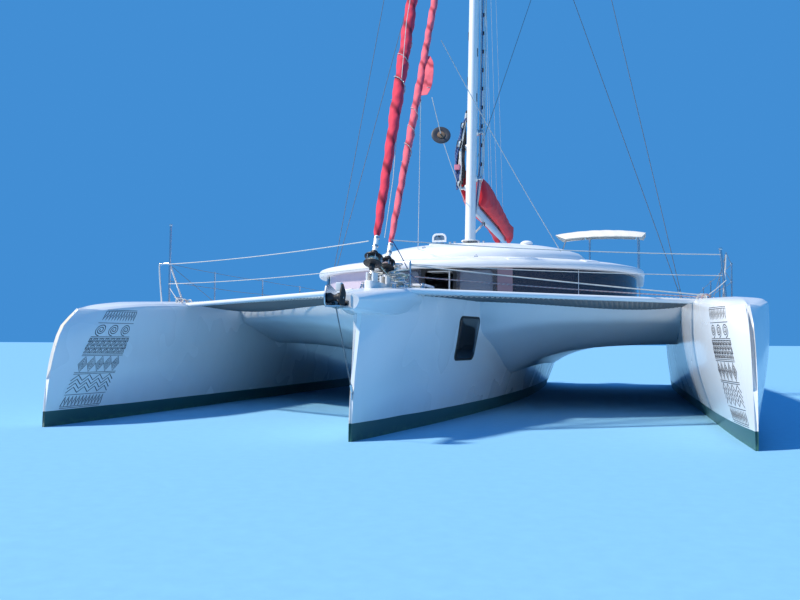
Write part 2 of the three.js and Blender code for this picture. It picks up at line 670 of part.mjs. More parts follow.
// Cockpit hardtop on the starboard side and two posts at its after edge
const HARDTOP = { x0: -2780, x1: 1470, from: ROOF_AFT + GAP, to: 12050, z0: 2110, z1: 2190 };
const hardtopOutline = [
  [HARDTOP.x0, HARDTOP.from],
  [HARDTOP.x1, HARDTOP.from],
  [HARDTOP.x1, HARDTOP.to - 250],
  [HARDTOP.x1 - 250, HARDTOP.to],
  [HARDTOP.x0 + 500, HARDTOP.to],
  [HARDTOP.x0 + 130, HARDTOP.to - 220],
];
addNode('cockpit_hardtop', prism(hardtopOutline, HARDTOP.z0, HARDTOP.z1), FINISH.gelcoat);
const POST = { port: 1425, starboard: -2450, aft: 11880, half: 25, beam: 40 };
const hardtopPost = (x) => box(
  x - POST.half,
  x + POST.half,
  POST.aft - POST.half,
  POST.aft + POST.half,
  DECK_Z + GAP,
  HARDTOP.z0 - GAP,
);
const hardtopBeam = box(
  POST.starboard,
  POST.port,
  POST.aft - POST.half,
  POST.aft + POST.half,
  HARDTOP.z0 - GAP - POST.beam,
  HARDTOP.z0 - GAP,
);
const hardtopFrame = union([hardtopPost(POST.port), hardtopPost(POST.starboard), hardtopBeam]);
addNode('hardtop_frame', hardtopFrame, FINISH.stainless);

// Standing rig
const mastAft = (z) => MAST_FOOT.aft + MAST_RAKE * (z - MAST_FOOT.z);
const mastRing = (z, scale) => Array.from({ length: 14 }, (_, i) => {
  const angle = (Math.PI * 2 * i) / 14;
  return point(MAST.wide * scale * Math.cos(angle), mastAft(z) + MAST.deep * scale * Math.sin(angle), z);
});
const mastTube = (grow = 0) => {
  const scale = (base) => base + grow / MAST.wide;
  const foot = mastRing(MAST_FOOT.z + GAP - grow, scale(1));
  return loft([foot, mastRing(15500, scale(1)), mastRing(MAST_TOP_Z, scale(0.78))], ['x', 'y']);
};
// Lugs for the two forestays on the mast's forward face
const STAYS = [
  { name: 'outer', tack: { aft: 690, z: 1700 }, headZ: 15660, drum: 60, furled: [48, 62, 85, 80, 50] },
  { name: 'inner', tack: { aft: 1200, z: 1700 }, headZ: 11100, drum: 50, furled: [36, 46, 57, 54, 38] },
];
const LUG = { reach: MAST.deep + 70, r: 14 };
const headLugs = STAYS.map(({ headZ }) => bar(
  point(0, mastAft(headZ), headZ),
  point(0, mastAft(headZ) - LUG.reach, headZ),
  LUG.r,
));
// The gooseneck: two plates behind the mast with the boom's pin between them
const PIN = { r: 20, half: 62 };
const gooseneckPlates = [1, -1].map((sign) => box(
  -26,
  26,
  GOOSENECK.aft - 120,
  GOOSENECK.aft + 26,
  GOOSENECK.z + (sign > 0 ? 50 : -62),
  GOOSENECK.z + (sign > 0 ? 62 : -50),
));
const gooseneckPin = bar(
  point(0, GOOSENECK.aft, GOOSENECK.z - PIN.half),
  point(0, GOOSENECK.aft, GOOSENECK.z + PIN.half),
  PIN.r,
  12,
);
addNode('mast', union([mastTube(), ...headLugs, ...gooseneckPlates, gooseneckPin]), FINISH.spar);

const SHROUDS = [
  { name: 'cap_shroud', topZ: CAP_SHROUD_Z, spread: 30 },
  { name: 'lower_shroud', topZ: LOWER_SHROUD_Z, spread: -30 },
];
const shroud = (sign, topZ, spread, grow = 0) => bar(
  point(sign * CHAINPLATE.x, CHAINPLATE.aft + spread, CHAINPLATE.z),
  point(sign * 20, mastAft(topZ), topZ),
  SHROUD_R + grow,
);
for (const { side, sign } of FLOATS) {
  for (const { name, topZ, spread } of SHROUDS) {
    const wire = shroud(sign, topZ, spread).subtract(mastTube(GAP)).subtract(union(grownFloats));
    addNode(`${name}_${side}`, wire, FINISH.wire);
  }
}

// One pair of swept spreaders on a collar, out to the cap shrouds
const capShare = (SPREADER_Z - CHAINPLATE.z) / (CAP_SHROUD_Z - CHAINPLATE.z);
const spreaderTip = {
  x: THREE.MathUtils.lerp(CHAINPLATE.x, 20, capShare),
  aft: THREE.MathUtils.lerp(CHAINPLATE.aft + SHROUDS[0].spread, mastAft(CAP_SHROUD_Z), capShare),
};
const spreaderCollar = loft([mastRing(SPREADER_Z - 45, 1.2), mastRing(SPREADER_Z + 45, 1.2)], ['x', 'y']);
const spreaders = union([spreaderCollar, ...FLOATS.map(({ sign }) => bar(
  point(sign * 40, mastAft(SPREADER_Z) + 30, SPREADER_Z),
  point(sign * spreaderTip.x, spreaderTip.aft, SPREADER_Z),
  32,
  8,
  20,
))]);
const capShrouds = FLOATS.map(({ sign }) => shroud(sign, CAP_SHROUD_Z, SHROUDS[0].spread, GAP));
addNode('spreaders', spreaders.subtract(mastTube(GAP)).subtract(union(capShrouds)), FINISH.spar);

// Boom and the mainsail in its bag, built along +Y from the gooseneck and then turned
const boomGroup = new THREE.Group();
boomGroup.position.copy(point(0, GOOSENECK.aft, GOOSENECK.z));
boomGroup.rotation.z = BOOM_YAW;
part.add(boomGroup);
const local = (x, y, z) => new THREE.Vector3(x, y, z);
const boomRing = (y, scale) => Array.from({ length: 12 }, (_, i) => {
  const angle = (Math.PI * 2 * i) / 12;
  return local(70 * scale * Math.cos(angle), y, BOOM_RISE * y + 115 * scale * Math.sin(angle));
});
// The tongue at the boom's fore end turns on the gooseneck pin
const tongueGeometry = new THREE.BoxGeometry(60, 120, 76);
tongueGeometry.translate(0, 25, 0);
const boomTongue = solid(tongueGeometry)
  .subtract(bar(local(0, 0, -100), local(0, 0, 100), boreRadius(PIN.r, 12), 12));
const boomTube = loft([boomRing(60, 1), boomRing(BOOM_LENGTH, 0.9)], ['x', 'z']);
addNode('boom', boomTube.add(boomTongue), FINISH.spar, boomGroup);
// The bag sits over the boom like a saddle: its half-width and its height over the boom's axis
const BAG = { side: 78, top: 115.15, hem: -60 };
const BAG_ROWS = [
  { y: 150, half: 160, high: 530 },
  { y: 900, half: 270, high: 575 },
  { y: 2300, half: 320, high: 520 },
  { y: 4300, half: 280, high: 400 },
  { y: 5450, half: 180, high: 290 },
];
const bagRing = ({ y, half, high }) => {
  const axis = BOOM_RISE * y;
  const right = [
    [BAG.side, BAG.top],
    [BAG.side, BAG.hem],
    [half * 0.85, BAG.hem],
    [half, BAG.top],
    [half * 0.85, high * 0.65],
    [half * 0.3, high],
  ];
  const left = right.map(([x, z]) => [-x, z]).reverse();
  return [...right, ...left].map(([x, z]) => local(x, y, axis + z));
};
addNode('sail_bag', loft(BAG_ROWS.map(bagRing), ['x', 'z']), FINISH.red_canvas, boomGroup);

// Furled headsails on their stays. Each turns with its drum between a deck lug and a mast lug.
const deckLugs = [];
for (const { name, tack, headZ, drum, furled } of STAYS) {
  const low = point(0, tack.aft, tack.z);
  const high = point(0, mastAft(headZ) - LUG.reach, headZ);
  const along = high.clone().sub(low).normalize();
  const at = (distance) => low.clone().addScaledVector(along, distance);
  const total = high.distanceTo(low);
  const drumLow = 90;
  const sailLow = 440;
  const sailHigh = total - 700;
  deckLugs.push(bar(at(-320), at(20), 16));
  addNode(`furler_${name}`, union([
    bar(at(20.5), at(sailLow), 22),
    bar(at(drumLow), at(drumLow + 18), drum + 40, 16),
    bar(at(drumLow + 10), at(drumLow + 90), drum, 16),
    bar(at(drumLow + 82), at(drumLow + 100), drum + 40, 16),
  ]), FINISH.black_plastic);
  const shares = [0, 0.04, 0.18, 0.75, 1];
  const sideways = new THREE.Vector3(1, 0, 0);
  const across = new THREE.Vector3().crossVectors(along, sideways);
  const sailRings = shares.map((share, row) => Array.from({ length: 12 }, (_, i) => {
    const angle = (Math.PI * 2 * i) / 12;
    return at(THREE.MathUtils.lerp(sailLow + GAP, sailHigh, share))
      .addScaledVector(sideways, furled[row] * Math.cos(angle))
      .addScaledVector(across, furled[row] * Math.sin(angle));
  }));
  const stayWire = bar(at(sailHigh - 10), at(total - LUG.r - 2), 9);
  const pieces = [loft(sailRings, ['x', 'y']), stayWire];
  if (name === 'inner') {
    pieces.push(loft(CLEW.map(({ z, reach, half }) => {
      const centre = at((total * (z - tack.z)) / (headZ - tack.z));
      return [[reach, half], [10, half], [10, -half], [reach, -half]]
        .map(([x, y]) => centre.clone().add(new THREE.Vector3(x, y, 0)));
    }), ['x', 'y']));
  }
  addNode(`furled_sail_${name}`, union(pieces), FINISH.red_canvas);
}
addNode('stay_fittings', union([
  ...deckLugs,
  box(-40, 40, 560, 1330, 1440, 1688),
]).subtract(centreSkin(GAP)), FINISH.stainless);

// Nets between the bows, each hung from a white edge tube that runs from the bow to the float
for (const { side, sign } of FLOATS) {
  const outline = [
    [sign * 300, 1080],
    [sign * 3380, 2960],
    [sign * 3380, 4900],
    [sign * 200, 3200],
  ];
  const edge = bar(point(sign * 300, 980, 1515), point(sign * 3400, 2985, 1462), 25);
  const net = union([prism(outline, 1470, 1488), edge])
    .subtract(wing(GAP))
    .subtract(union(grownFloats))
    .subtract(centreSkin(GAP));
  addNode(`net_${side}`, net, FINISH.net);
}

// Bow roller: two cheeks on a back plate with the roller between, and a bobstay down to the stem
const ROLLER = { aft: -395, z: 1375, r: 48 };
const cheek = (x, outline) => {
  const shape = new THREE.Shape(outline.map(([distance, z]) => new THREE.Vector2(aft(distance), z)));
  const geometry = new THREE.ExtrudeGeometry(shape, { depth: 12, bevelEnabled: false });
  geometry.rotateX(Math.PI / 2);
  geometry.rotateZ(Math.PI / 2);
  geometry.translate(x, 0, 0);
  return solid(geometry);
};
const TALL_CHEEK = [[-470, 1310], [-80, 1275], [-80, 1430], [-330, 1560], [-430, 1560], [-475, 1400]];
const LOW_CHEEK = [[-470, 1310], [-80, 1275], [-80, 1430], [-250, 1500], [-475, 1380]];
const bowRoller = union([
  cheek(-104, TALL_CHEEK),
  cheek(92, LOW_CHEEK),
  box(-104, 104, -87, -75.5, 1275, 1428),
  box(-100, 100, -470, -80, 1290, 1302),
  bar(point(-98, ROLLER.aft, ROLLER.z), point(98, ROLLER.aft, ROLLER.z), ROLLER.r, 14),
  bar(point(0, 120, 430), point(0, -440, 1300), 6),
]).subtract(centreSkin(GAP));
addNode('anchor_roller', bowRoller, FINISH.stainless);

const windlass = turned(0, 1640, [
  [0, 1560],
  [110, 1560],
  [110, 1690],
  [72, 1705],
  [58, 1760],
  [66, 1830],
  [88, 1850],
  [88, 1865],
  [0, 1872],
]);
addNode('windlass', windlass.subtract(centreSkin(GAP)), FINISH.stainless);

// Pulpits, stanchions and guard wires on each float
const RAIL_X = 3960;
const STANCHIONS = [
  { aft: 4950, foot: 1440, top: 2080 },
  { aft: 6850, foot: 1440, top: 2080 },
  { aft: 8700, foot: 1440, top: 2080 },
  { aft: 10600, foot: 1440, top: 2070 },
  { aft: 12450, foot: 1400, top: 2040 },
];
const PULPITS = [
  { sign: 1, post: 2100 },
  { sign: -1, post: 2610 },
];
for (const { sign, post } of PULPITS) {
  const bow = (distance, z) => point(sign * FLOAT_X, distance, z);
  const side = (distance, z) => point(sign * RAIL_X, distance, z);
  const posts = STANCHIONS.map((row) => bar(side(row.aft, row.foot), side(row.aft, row.top), 14));
  const wires = [0, 250].map((drop) => STANCHIONS.slice(1).map((row, i) => bar(
    side(STANCHIONS[i].aft, STANCHIONS[i].top - 12 - drop),
    side(row.aft, row.top - 12 - drop),
    4,
    6,
  ))).flat();
  const pulpit = [
    bar(bow(3080, 1420), bow(3100, post), 16),
    bar(bow(3560, 1430), bow(3105, 2040), 13),
    bar(side(STANCHIONS[0].aft, 2068), bow(3100, 2060), 4, 6),
    bar(side(STANCHIONS[0].aft, 1818), bow(3100, 1810), 4, 6),
  ];
  const rail = union([...posts, ...wires, ...pulpit]).subtract(union(grownFloats));
  addNode(`guard_rail_${sign > 0 ? 'port' : 'starboard'}`, rail, FINISH.stainless);
}

// Cockpit furniture
const BENCH = {
  x0: COCKPIT.x0 + 5,
  x1: -1800,
  from: 10150,
  to: COCKPIT.to - 5,
  wingTo: -500,
  wingFrom: 11650,
  z: 1370,
};
const benchOutline = (inset) => [
  [BENCH.x0 + inset, BENCH.from + inset],
  [BENCH.x1 - inset, BENCH.from + inset],
  [BENCH.x1 - inset, BENCH.wingFrom + inset],
  [BENCH.wingTo - inset, BENCH.wingFrom + inset],
  [BENCH.wingTo - inset, BENCH.to - inset],
  [BENCH.x0 + inset, BENCH.to - inset],
];
addNode('cockpit_bench', prism(benchOutline(0), COCKPIT_Z + GAP, BENCH.z), FINISH.gelcoat);
addNode('cockpit_cushion', prism(benchOutline(20), BENCH.z + GAP, BENCH.z + 90), FINISH.upholstery);
const cockpitTable = union([
  box(-1620, -860, 10480, 11380, 1640, 1675),
  turned(-1240, 10930, [
    [0, COCKPIT_Z + GAP],
    [170, COCKPIT_Z + GAP],
    [170, COCKPIT_Z + 15],
    [48, COCKPIT_Z + 40],
    [48, 1650],
    [0, 1650],
  ]),
]);
addNode('cockpit_table', cockpitTable, FINISH.teak);

// Saloon: a curved settee on the ledge under the windows and a table on its post
const settee = arcSector(1250, HOUSE_R - 310, -78, 78, 1060 + GAP, 1175);
addNode('saloon_settee', settee.subtract(box(-850, 850, 5690, 9000, 600, 1400)), FINISH.upholstery);
const saloonTable = union([
  box(-520, 520, 6150, 7400, 1335, 1368),
  turned(0, MAST_FOOT.aft, [
    [0, FLOOR_Z + GAP],
    [90, FLOOR_Z + GAP],
    [90, FLOOR_Z + 20],
    [45, FLOOR_Z + 25],
    [45, CEILING_Z - GAP],
    [0, CEILING_Z - GAP],
  ]),
]);
addNode('saloon_table', saloonTable, FINISH.teak);

// Helm: a console with the wheel on its after face, a seat and the bimini over them
const WHEEL = { x: 2100, aft: 10420, z: 1830, r: 380, rim: 15 };
const CONSOLE = { x0: 1700, x1: 2500, from: 10065, to: 10340, axle: 14 };
const consoleShape = [
  [CONSOLE.from, HELM.z + GAP],
  [CONSOLE.to, HELM.z + GAP],
  [CONSOLE.to, 1990],
  [CONSOLE.from + 90, 2120],
  [CONSOLE.from, 2120],
];
const consoleRing = (x) => consoleShape.map(([distance, z]) => point(x, distance, z));
const helmConsole = union([
  loft([consoleRing(CONSOLE.x0), consoleRing(CONSOLE.x1)], ['y', 'z']),
  bar(
    point(WHEEL.x, CONSOLE.to - 10, WHEEL.z),
    point(WHEEL.x, WHEEL.aft + 35, WHEEL.z),
    CONSOLE.axle,
    16,
  ),
]);
addNode('helm_console', helmConsole, FINISH.gelcoat);
const wheelRim = new THREE.TorusGeometry(WHEEL.r, WHEEL.rim, 8, 36);
wheelRim.rotateX(Math.PI / 2);
wheelRim.translate(WHEEL.x, aft(WHEEL.aft), WHEEL.z);
const wheelCentre = point(WHEEL.x, WHEEL.aft, WHEEL.z);
const spokes = Array.from({ length: 5 }, (_, i) => {
  const angle = (Math.PI * 2 * i) / 5 + Math.PI / 2;
  const outward = new THREE.Vector3(Math.cos(angle), 0, Math.sin(angle));
  return bar(wheelCentre, wheelCentre.clone().addScaledVector(outward, WHEEL.r), 10);
});
const onWheelAxis = (distance) => point(WHEEL.x, WHEEL.aft + distance, WHEEL.z);
const wheelHub = bar(onWheelAxis(-25), onWheelAxis(25), 48, 16);
const wheelBore = bar(onWheelAxis(-60), onWheelAxis(60), boreRadius(CONSOLE.axle, 16), 16);
const wheel = union([solid(wheelRim), wheelHub, ...spokes]).subtract(wheelBore);
addNode('steering_wheel', wheel, FINISH.stainless);
const helmSeat = union([
  box(1650, 2550, 11080, 11590, HELM.z + GAP, 1690),
  box(1650, 2550, 11500, 11590, 1680, 2120),
]);
addNode('helm_seat', helmSeat, FINISH.upholstery);

const BIMINI = { thick: 14, rise: 400 };
// Sections of the arched canvas from fore to aft: its two sides, their height and the crown's height
const BIMINI_ROWS = [
  { at: 9000, x0: 1360, x1: 2760, edge: 2950, crown: 2990 },
  { at: 9350, x0: 1170, x1: 2830, edge: 3010, crown: 3120 },
  { at: 9950, x0: 1100, x1: 2840, edge: 3070, crown: 3185 },
  { at: 10550, x0: 1100, x1: 2840, edge: 3090, crown: 3185 },
  { at: 10950, x0: 1160, x1: 2800, edge: 3100, crown: 3150 },
];
const BIMINI_SHARES = [0, 0.12, 0.3, 0.5, 0.7, 0.88, 1];
function biminiBody(up, down) {
  const rib = ({ at, x0, x1, edge, crown }, offset) => BIMINI_SHARES.map((share) => {
    const lift = (crown - edge) * Math.sin(Math.PI * share) ** 0.7;
    return point(THREE.MathUtils.lerp(x0, x1, share), at, edge + lift + offset);
  });
  return loft(BIMINI_ROWS.map((row) => [...rib(row, up), ...rib(row, -down).reverse()]), ['x', 'z']);
}
addNode('bimini_top', biminiBody(BIMINI.thick, BIMINI.thick), FINISH.bimini_canvas);
const BIMINI_BARS = [
  { aft: 9320, z: 2960, x0: 1260, x1: 2740 },
  { aft: 10820, z: 3045, x0: 1220, x1: 2740 },
];
const BIMINI_POSTS = [
  { x: 1760, row: BIMINI_BARS[0], foot: CROWN_Z + 10 },
  { x: 2560, row: BIMINI_BARS[0], foot: 2120 },
  { x: 1760, row: BIMINI_BARS[1], foot: HELM.z + GAP },
  { x: 2640, row: BIMINI_BARS[1], foot: HELM.z + GAP },
];
const biminiBars = BIMINI_BARS.map(({ aft: distance, z, x0, x1 }) => bar(
  point(x0, distance, z),
  point(x1, distance, z),
  14,
));
const biminiPosts = BIMINI_POSTS.map(({ x, row, foot }) => bar(
  point(x, row.aft, foot),
  point(x, row.aft, BIMINI_ROWS[2].crown),
  16,
));
const biminiSides = [BIMINI_POSTS[0].x, BIMINI_POSTS[1].x].map((x) => bar(
  point(x, BIMINI_BARS[0].aft, BIMINI_BARS[0].z),
  point(x, BIMINI_BARS[1].aft, BIMINI_BARS[1].z),
  14,
));
const raised = (rows) => dome(rows.map((row) => ({ ...row, z: row.z + GAP })));
const biminiFrame = union([...biminiBars, ...biminiPosts, ...biminiSides])
  .subtract(biminiBody(BIMINI.rise, BIMINI.thick + GAP))
  .subtract(raised(ROOF_ROWS))
  .subtract(raised(CROWN_ROWS));
addNode('bimini_frame', biminiFrame, FINISH.stainless);

// Rudder and propeller
const rudder = union([
  loft([
    foilRing(-330, STOCK.aft - 190, 620, 90),
    foilRing(-1080, STOCK.aft - 130, 470, 60),
  ], ['x', 'y']),
  bar(point(0, STOCK.aft, -400), point(0, STOCK.aft, STOCK.top - 20), STOCK.r, 16),
]);
addNode('rudder', rudder, FINISH.antifouling);

// Drive leg with its gear housing, and a three-bladed propeller behind it
const DRIVE = { aft: 9650, z: -740, r: 55, length: 420 };
const driveLeg = loft([
  foilRing(-330, DRIVE.aft - 190, 360, 90),
  foilRing(DRIVE.z, DRIVE.aft - 150, 300, 70),
], ['x', 'y']);
const housingProfile = [
  [0, 0],
  [28, 10],
  [DRIVE.r, 90],
  [DRIVE.r, 330],
  [46, DRIVE.length],
  [0, DRIVE.length],
].map(([r, y]) => new THREE.Vector2(r, y));
const housingGeometry = new THREE.LatheGeometry(housingProfile, 16);
housingGeometry.translate(0, aft(DRIVE.aft - 220), DRIVE.z);
const drive = union([driveLeg, solid(housingGeometry)]).subtract(centreSkin(GAP));
addNode('sail_drive', drive, FINISH.spar);

const PROP = { hubR: 44, hubLength: 110, tip: 225 };
const propAft = DRIVE.aft - 220 + DRIVE.length + 0.5;
const hub = bar(point(0, propAft, DRIVE.z), point(0, propAft + PROP.hubLength, DRIVE.z), PROP.hubR, 16, 26);
const BLADE = [
  { r: 25, chord: 60, pitch: 58, thick: 16 },
  { r: 90, chord: 100, pitch: 42, thick: 12 },
  { r: 165, chord: 110, pitch: 28, thick: 8 },
  { r: PROP.tip, chord: 55, pitch: 22, thick: 4 },
];
const bladeOutline = [[-0.5, 0], [-0.2, 0.45], [0.2, 0.45], [0.5, 0], [0.2, -0.35], [-0.2, -0.35]];
const blades = Array.from({ length: 3 }, (_, i) => {
  const spin = (Math.PI * 2 * i) / 3;
  const outward = new THREE.Vector3(Math.cos(spin), 0, Math.sin(spin));
  const around = new THREE.Vector3(-Math.sin(spin), 0, Math.cos(spin));
  const centre = point(0, propAft + PROP.hubLength * 0.45, DRIVE.z);
  const rings = BLADE.map(({ r, chord, pitch, thick }) => bladeOutline.map(([c, t]) => {
    const angle = THREE.MathUtils.degToRad(pitch);
    const round = c * chord * Math.cos(angle) - t * thick * Math.sin(angle);
    const axial = c * chord * Math.sin(angle) + t * thick * Math.cos(angle);
    return centre.clone()
      .addScaledVector(outward, r)
      .addScaledVector(around, round)
      .add(new THREE.Vector3(0, axial, 0));
  }));
  return loft(rings, i === 0 ? ['z', 'y'] : ['x', 'y']);
});
addNode('propeller', union([hub, ...blades]), FINISH.bronze);

export default part;
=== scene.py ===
"""Dresses a 45-foot cruising trimaran: smooth hulls, deckhouse, rig, canvas, ropes and deck gear.

Metres, in the model's own frame: +Z is up from the waterline, +Y runs aft and +X to port.
Places along the boat are given as distances aft of the centre hull's stem at the waterline.
"""
import logging
import math
from collections.abc import Callable, Sequence
from dataclasses import dataclass, field
from enum import Enum
from functools import partial

import bmesh
import bpy
from mathutils import Matrix, Vector


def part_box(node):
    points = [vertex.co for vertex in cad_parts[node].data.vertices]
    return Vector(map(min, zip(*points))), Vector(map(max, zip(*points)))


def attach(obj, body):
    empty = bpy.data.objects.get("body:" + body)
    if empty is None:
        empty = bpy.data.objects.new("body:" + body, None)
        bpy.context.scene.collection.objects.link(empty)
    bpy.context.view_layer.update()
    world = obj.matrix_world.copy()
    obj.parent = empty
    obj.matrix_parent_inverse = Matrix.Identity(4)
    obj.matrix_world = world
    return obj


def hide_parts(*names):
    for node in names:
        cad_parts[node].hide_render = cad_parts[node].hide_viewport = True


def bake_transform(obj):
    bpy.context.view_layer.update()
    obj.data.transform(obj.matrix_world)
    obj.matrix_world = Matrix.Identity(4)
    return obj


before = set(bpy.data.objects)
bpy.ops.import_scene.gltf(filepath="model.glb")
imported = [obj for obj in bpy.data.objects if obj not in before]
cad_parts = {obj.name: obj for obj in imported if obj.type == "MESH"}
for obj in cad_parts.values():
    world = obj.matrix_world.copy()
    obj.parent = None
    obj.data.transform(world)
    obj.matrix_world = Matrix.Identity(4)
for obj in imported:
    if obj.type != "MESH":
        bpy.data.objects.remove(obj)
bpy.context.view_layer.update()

logging.basicConfig(level=logging.INFO, format="%(message)s")
LOG = logging.getLogger("trimaran")

# Driving sizes, the same as the model's
STEM_Y = -6.7
FLOAT_X = 3.72
DECK_Z = 1.5
FLOOR_Z = 0.62
COCKPIT_Z = 0.95
EAVE_Z = 2.05
HOUSE_CENTRE = 7.2
HOUSE_R = 2.66
HOUSE_AFT = 9.9
CEILING_Z = 2.53
WING_INNER = 0.85
WING_OUTER = 3.45
WING_AFT = 12.5
TUNNEL_Z = 0.95
MAST_FOOT = (6.32, 2.632)
MAST_X = 0.0
MAST_RAKE = 0.0944
GOOSENECK = (6.59, 3.28)
BOOM_RISE = 0.01
BOOM_YAW = math.radians(3)
CHAINPLATE = (3.52, 9.06, 1.6)
TACK_Z = 1.7
STAY_AHEAD = 0.205
BODY = "boat"
TAU = math.tau

# Each forestay's tack, as its distance aft of the stem, and the height of its head
FORESTAYS = {"outer": (0.69, 15.66), "inner": (1.2, 11.1)}

# Directions of the model's own frame
UP = Vector((0, 0, 1))
AFT = Vector((0, 1, 0))
PORT = Vector((1, 0, 0))


def at(x: float, distance: float, z: float) -> Vector:
    """Returns the point at x, a distance aft of the stem, and a height."""
    return Vector((x, distance + STEM_Y, z))


def lerp(a: float, b: float, share: float) -> float:
    """Returns the value a share of the way from a to b."""
    return a + (b - a) * share


def clamp(value: float, low: float = 0.0, high: float = 1.0) -> float:
    """Returns the value kept between low and high."""
    return max(low, min(high, value))


def smoothstep(low: float, high: float, value: float) -> float:
    """Returns 0 below low and 1 above high, with a soft change between."""
    share = clamp((value - low) / (high - low))
    return share * share * (3 - 2 * share)


def angles(count: int) -> list[float]:
    """Returns the angles of one turn in equal steps."""
    return [TAU * k / count for k in range(count)]


def hoop(centre: Vector, wide: float, tall: float, count: int) -> list[Vector]:
    """Returns the points of an upright ring across the boat."""
    return [centre + Vector((wide * math.cos(a), 0, tall * math.sin(a))) for a in angles(count)]


class Wave:
    """A smooth curve through rows of numbers that never overshoots them."""

    def __init__(self, keys: Sequence[float], values: Sequence[float]) -> None:
        """Fits the slopes.

        Args:
            keys: The rising places of the rows.
            values: The number at each place.
        """
        self.keys = list(keys)
        self.values = list(values)
        steps = [
            (v1 - v0) / (k1 - k0)
            for k0, k1, v0, v1 in zip(self.keys, self.keys[1:], self.values, self.values[1:])
        ]
        inner = [0.0 if a * b <= 0 else 2 * a * b / (a + b) for a, b in zip(steps, steps[1:])]
        self.slopes = [steps[0], *inner, steps[-1]]

    def __call__(self, key: float) -> float:
        """Returns the curve's value at a place."""
        if key <= self.keys[0]:
            return self.values[0]
        if key >= self.keys[-1]:
            return self.values[-1]
        i = max(n for n, k in enumerate(self.keys) if k <= key)
        width = self.keys[i + 1] - self.keys[i]
        t = (key - self.keys[i]) / width
        h00, h10 = (1 + 2 * t) * (1 - t) ** 2, t * (1 - t) ** 2
        h01, h11 = t * t * (3 - 2 * t), t * t * (t - 1)
        ends = h00 * self.values[i] + h01 * self.values[i + 1]
        return ends + width * (h10 * self.slopes[i] + h11 * self.slopes[i + 1])


def column_lines(rows: Sequence[Sequence[float]]) -> list[Wave]:
    """Returns a smooth line through each later column of some rows, keyed by their first column."""
    columns = list(zip(*rows))
    return [Wave(columns[0], column) for column in columns[1:]]


def flowing(points: Sequence[Vector], per_span: int, closed: bool = False) -> list[Vector]:
    """Returns a smooth curve through the points.

    Args:
        points: The points that the curve passes.
        per_span: How many steps each span takes.
        closed: Whether the curve joins its own start.
    """
    count = len(points)
    made: list[Vector] = []
    for i in range(count if closed else count - 1):
        near = [
            points[(i + k) % count] if closed else points[max(0, min(count - 1, i + k))]
            for k in (-1, 0, 1, 2)
        ]
        p0, p1, p2, p3 = near
        bend, twist = 2 * p0 - 5 * p1 + 4 * p2 - p3, 3 * p1 - p0 - 3 * p2 + p3
        for step in range(per_span):
            t = step / per_span
            made.append(0.5 * (2 * p1 + (p2 - p0) * t + bend * t * t + twist * t**3))
    return made if closed else [*made, points[-1].copy()]


def slack(start: Vector, end: Vector, sag: float, steps: int = 24) -> list[Vector]:
    """Returns the points of a line that hangs a little between two ends.

    Args:
        start: Its first end.
        end: Its other end.
        sag: How far its middle drops.
        steps: How many spans it is made of.
    """
    shares = [i / steps for i in range(steps + 1)]
    return [start.lerp(end, t) - Vector((0, 0, 4 * sag * t * (1 - t))) for t in shares]


class Value:
    """A socket whose arithmetic adds Math nodes."""

    def __init__(self, shade: "Shade", socket: bpy.types.NodeSocket) -> None:
        """Wraps a socket of a material's tree."""
        self.shade = shade
        self.socket = socket

    def maths(
        self, operation: str, *others: "Value | float", first: "Value | float | None" = None
    ) -> "Value":
        """Returns the result of a Math node.

        Args:
            operation: The Math node's operation.
            others: The operands after the first.
            first: The first operand, or None for this value.
        """
        operands = [self if first is None else first, *others]
        node = self.shade.node("ShaderNodeMath", {"operation": operation}, dict(enumerate(operands)))
        return Value(self.shade, node.outputs[0])

    def __add__(self, other: "Value | float") -> "Value":
        """Returns this plus other."""
        return self.maths("ADD", other)

    __radd__ = __add__

    def __sub__(self, other: "Value | float") -> "Value":
        """Returns this less other."""
        return self.maths("SUBTRACT", other)

    def __rsub__(self, other: float) -> "Value":
        """Returns other less this."""
        return self.maths("SUBTRACT", self, first=other)

    def __mul__(self, other: "Value | float") -> "Value":
        """Returns this times other."""
        return self.maths("MULTIPLY", other)

    __rmul__ = __mul__

    def __truediv__(self, other: "Value | float") -> "Value":
        """Returns this over other."""
        return self.maths("DIVIDE", other)

    def __gt__(self, other: "Value | float") -> "Value":
        """Returns 1 where this is greater than other."""
        return self.maths("GREATER_THAN", other)

    def __lt__(self, other: "Value | float") -> "Value":
        """Returns 1 where this is less than other."""
        return self.maths("LESS_THAN", other)

    def step(self, low: float, high: float) -> "Value":
        """Returns a soft change from 0 at low to 1 at high."""
        settings = {"interpolation_type": "SMOOTHSTEP"}
        node = self.shade.node(
            "ShaderNodeMapRange", settings, {"Value": self, "From Min": low, "From Max": high}
        )
        return Value(self.shade, node.outputs[0])


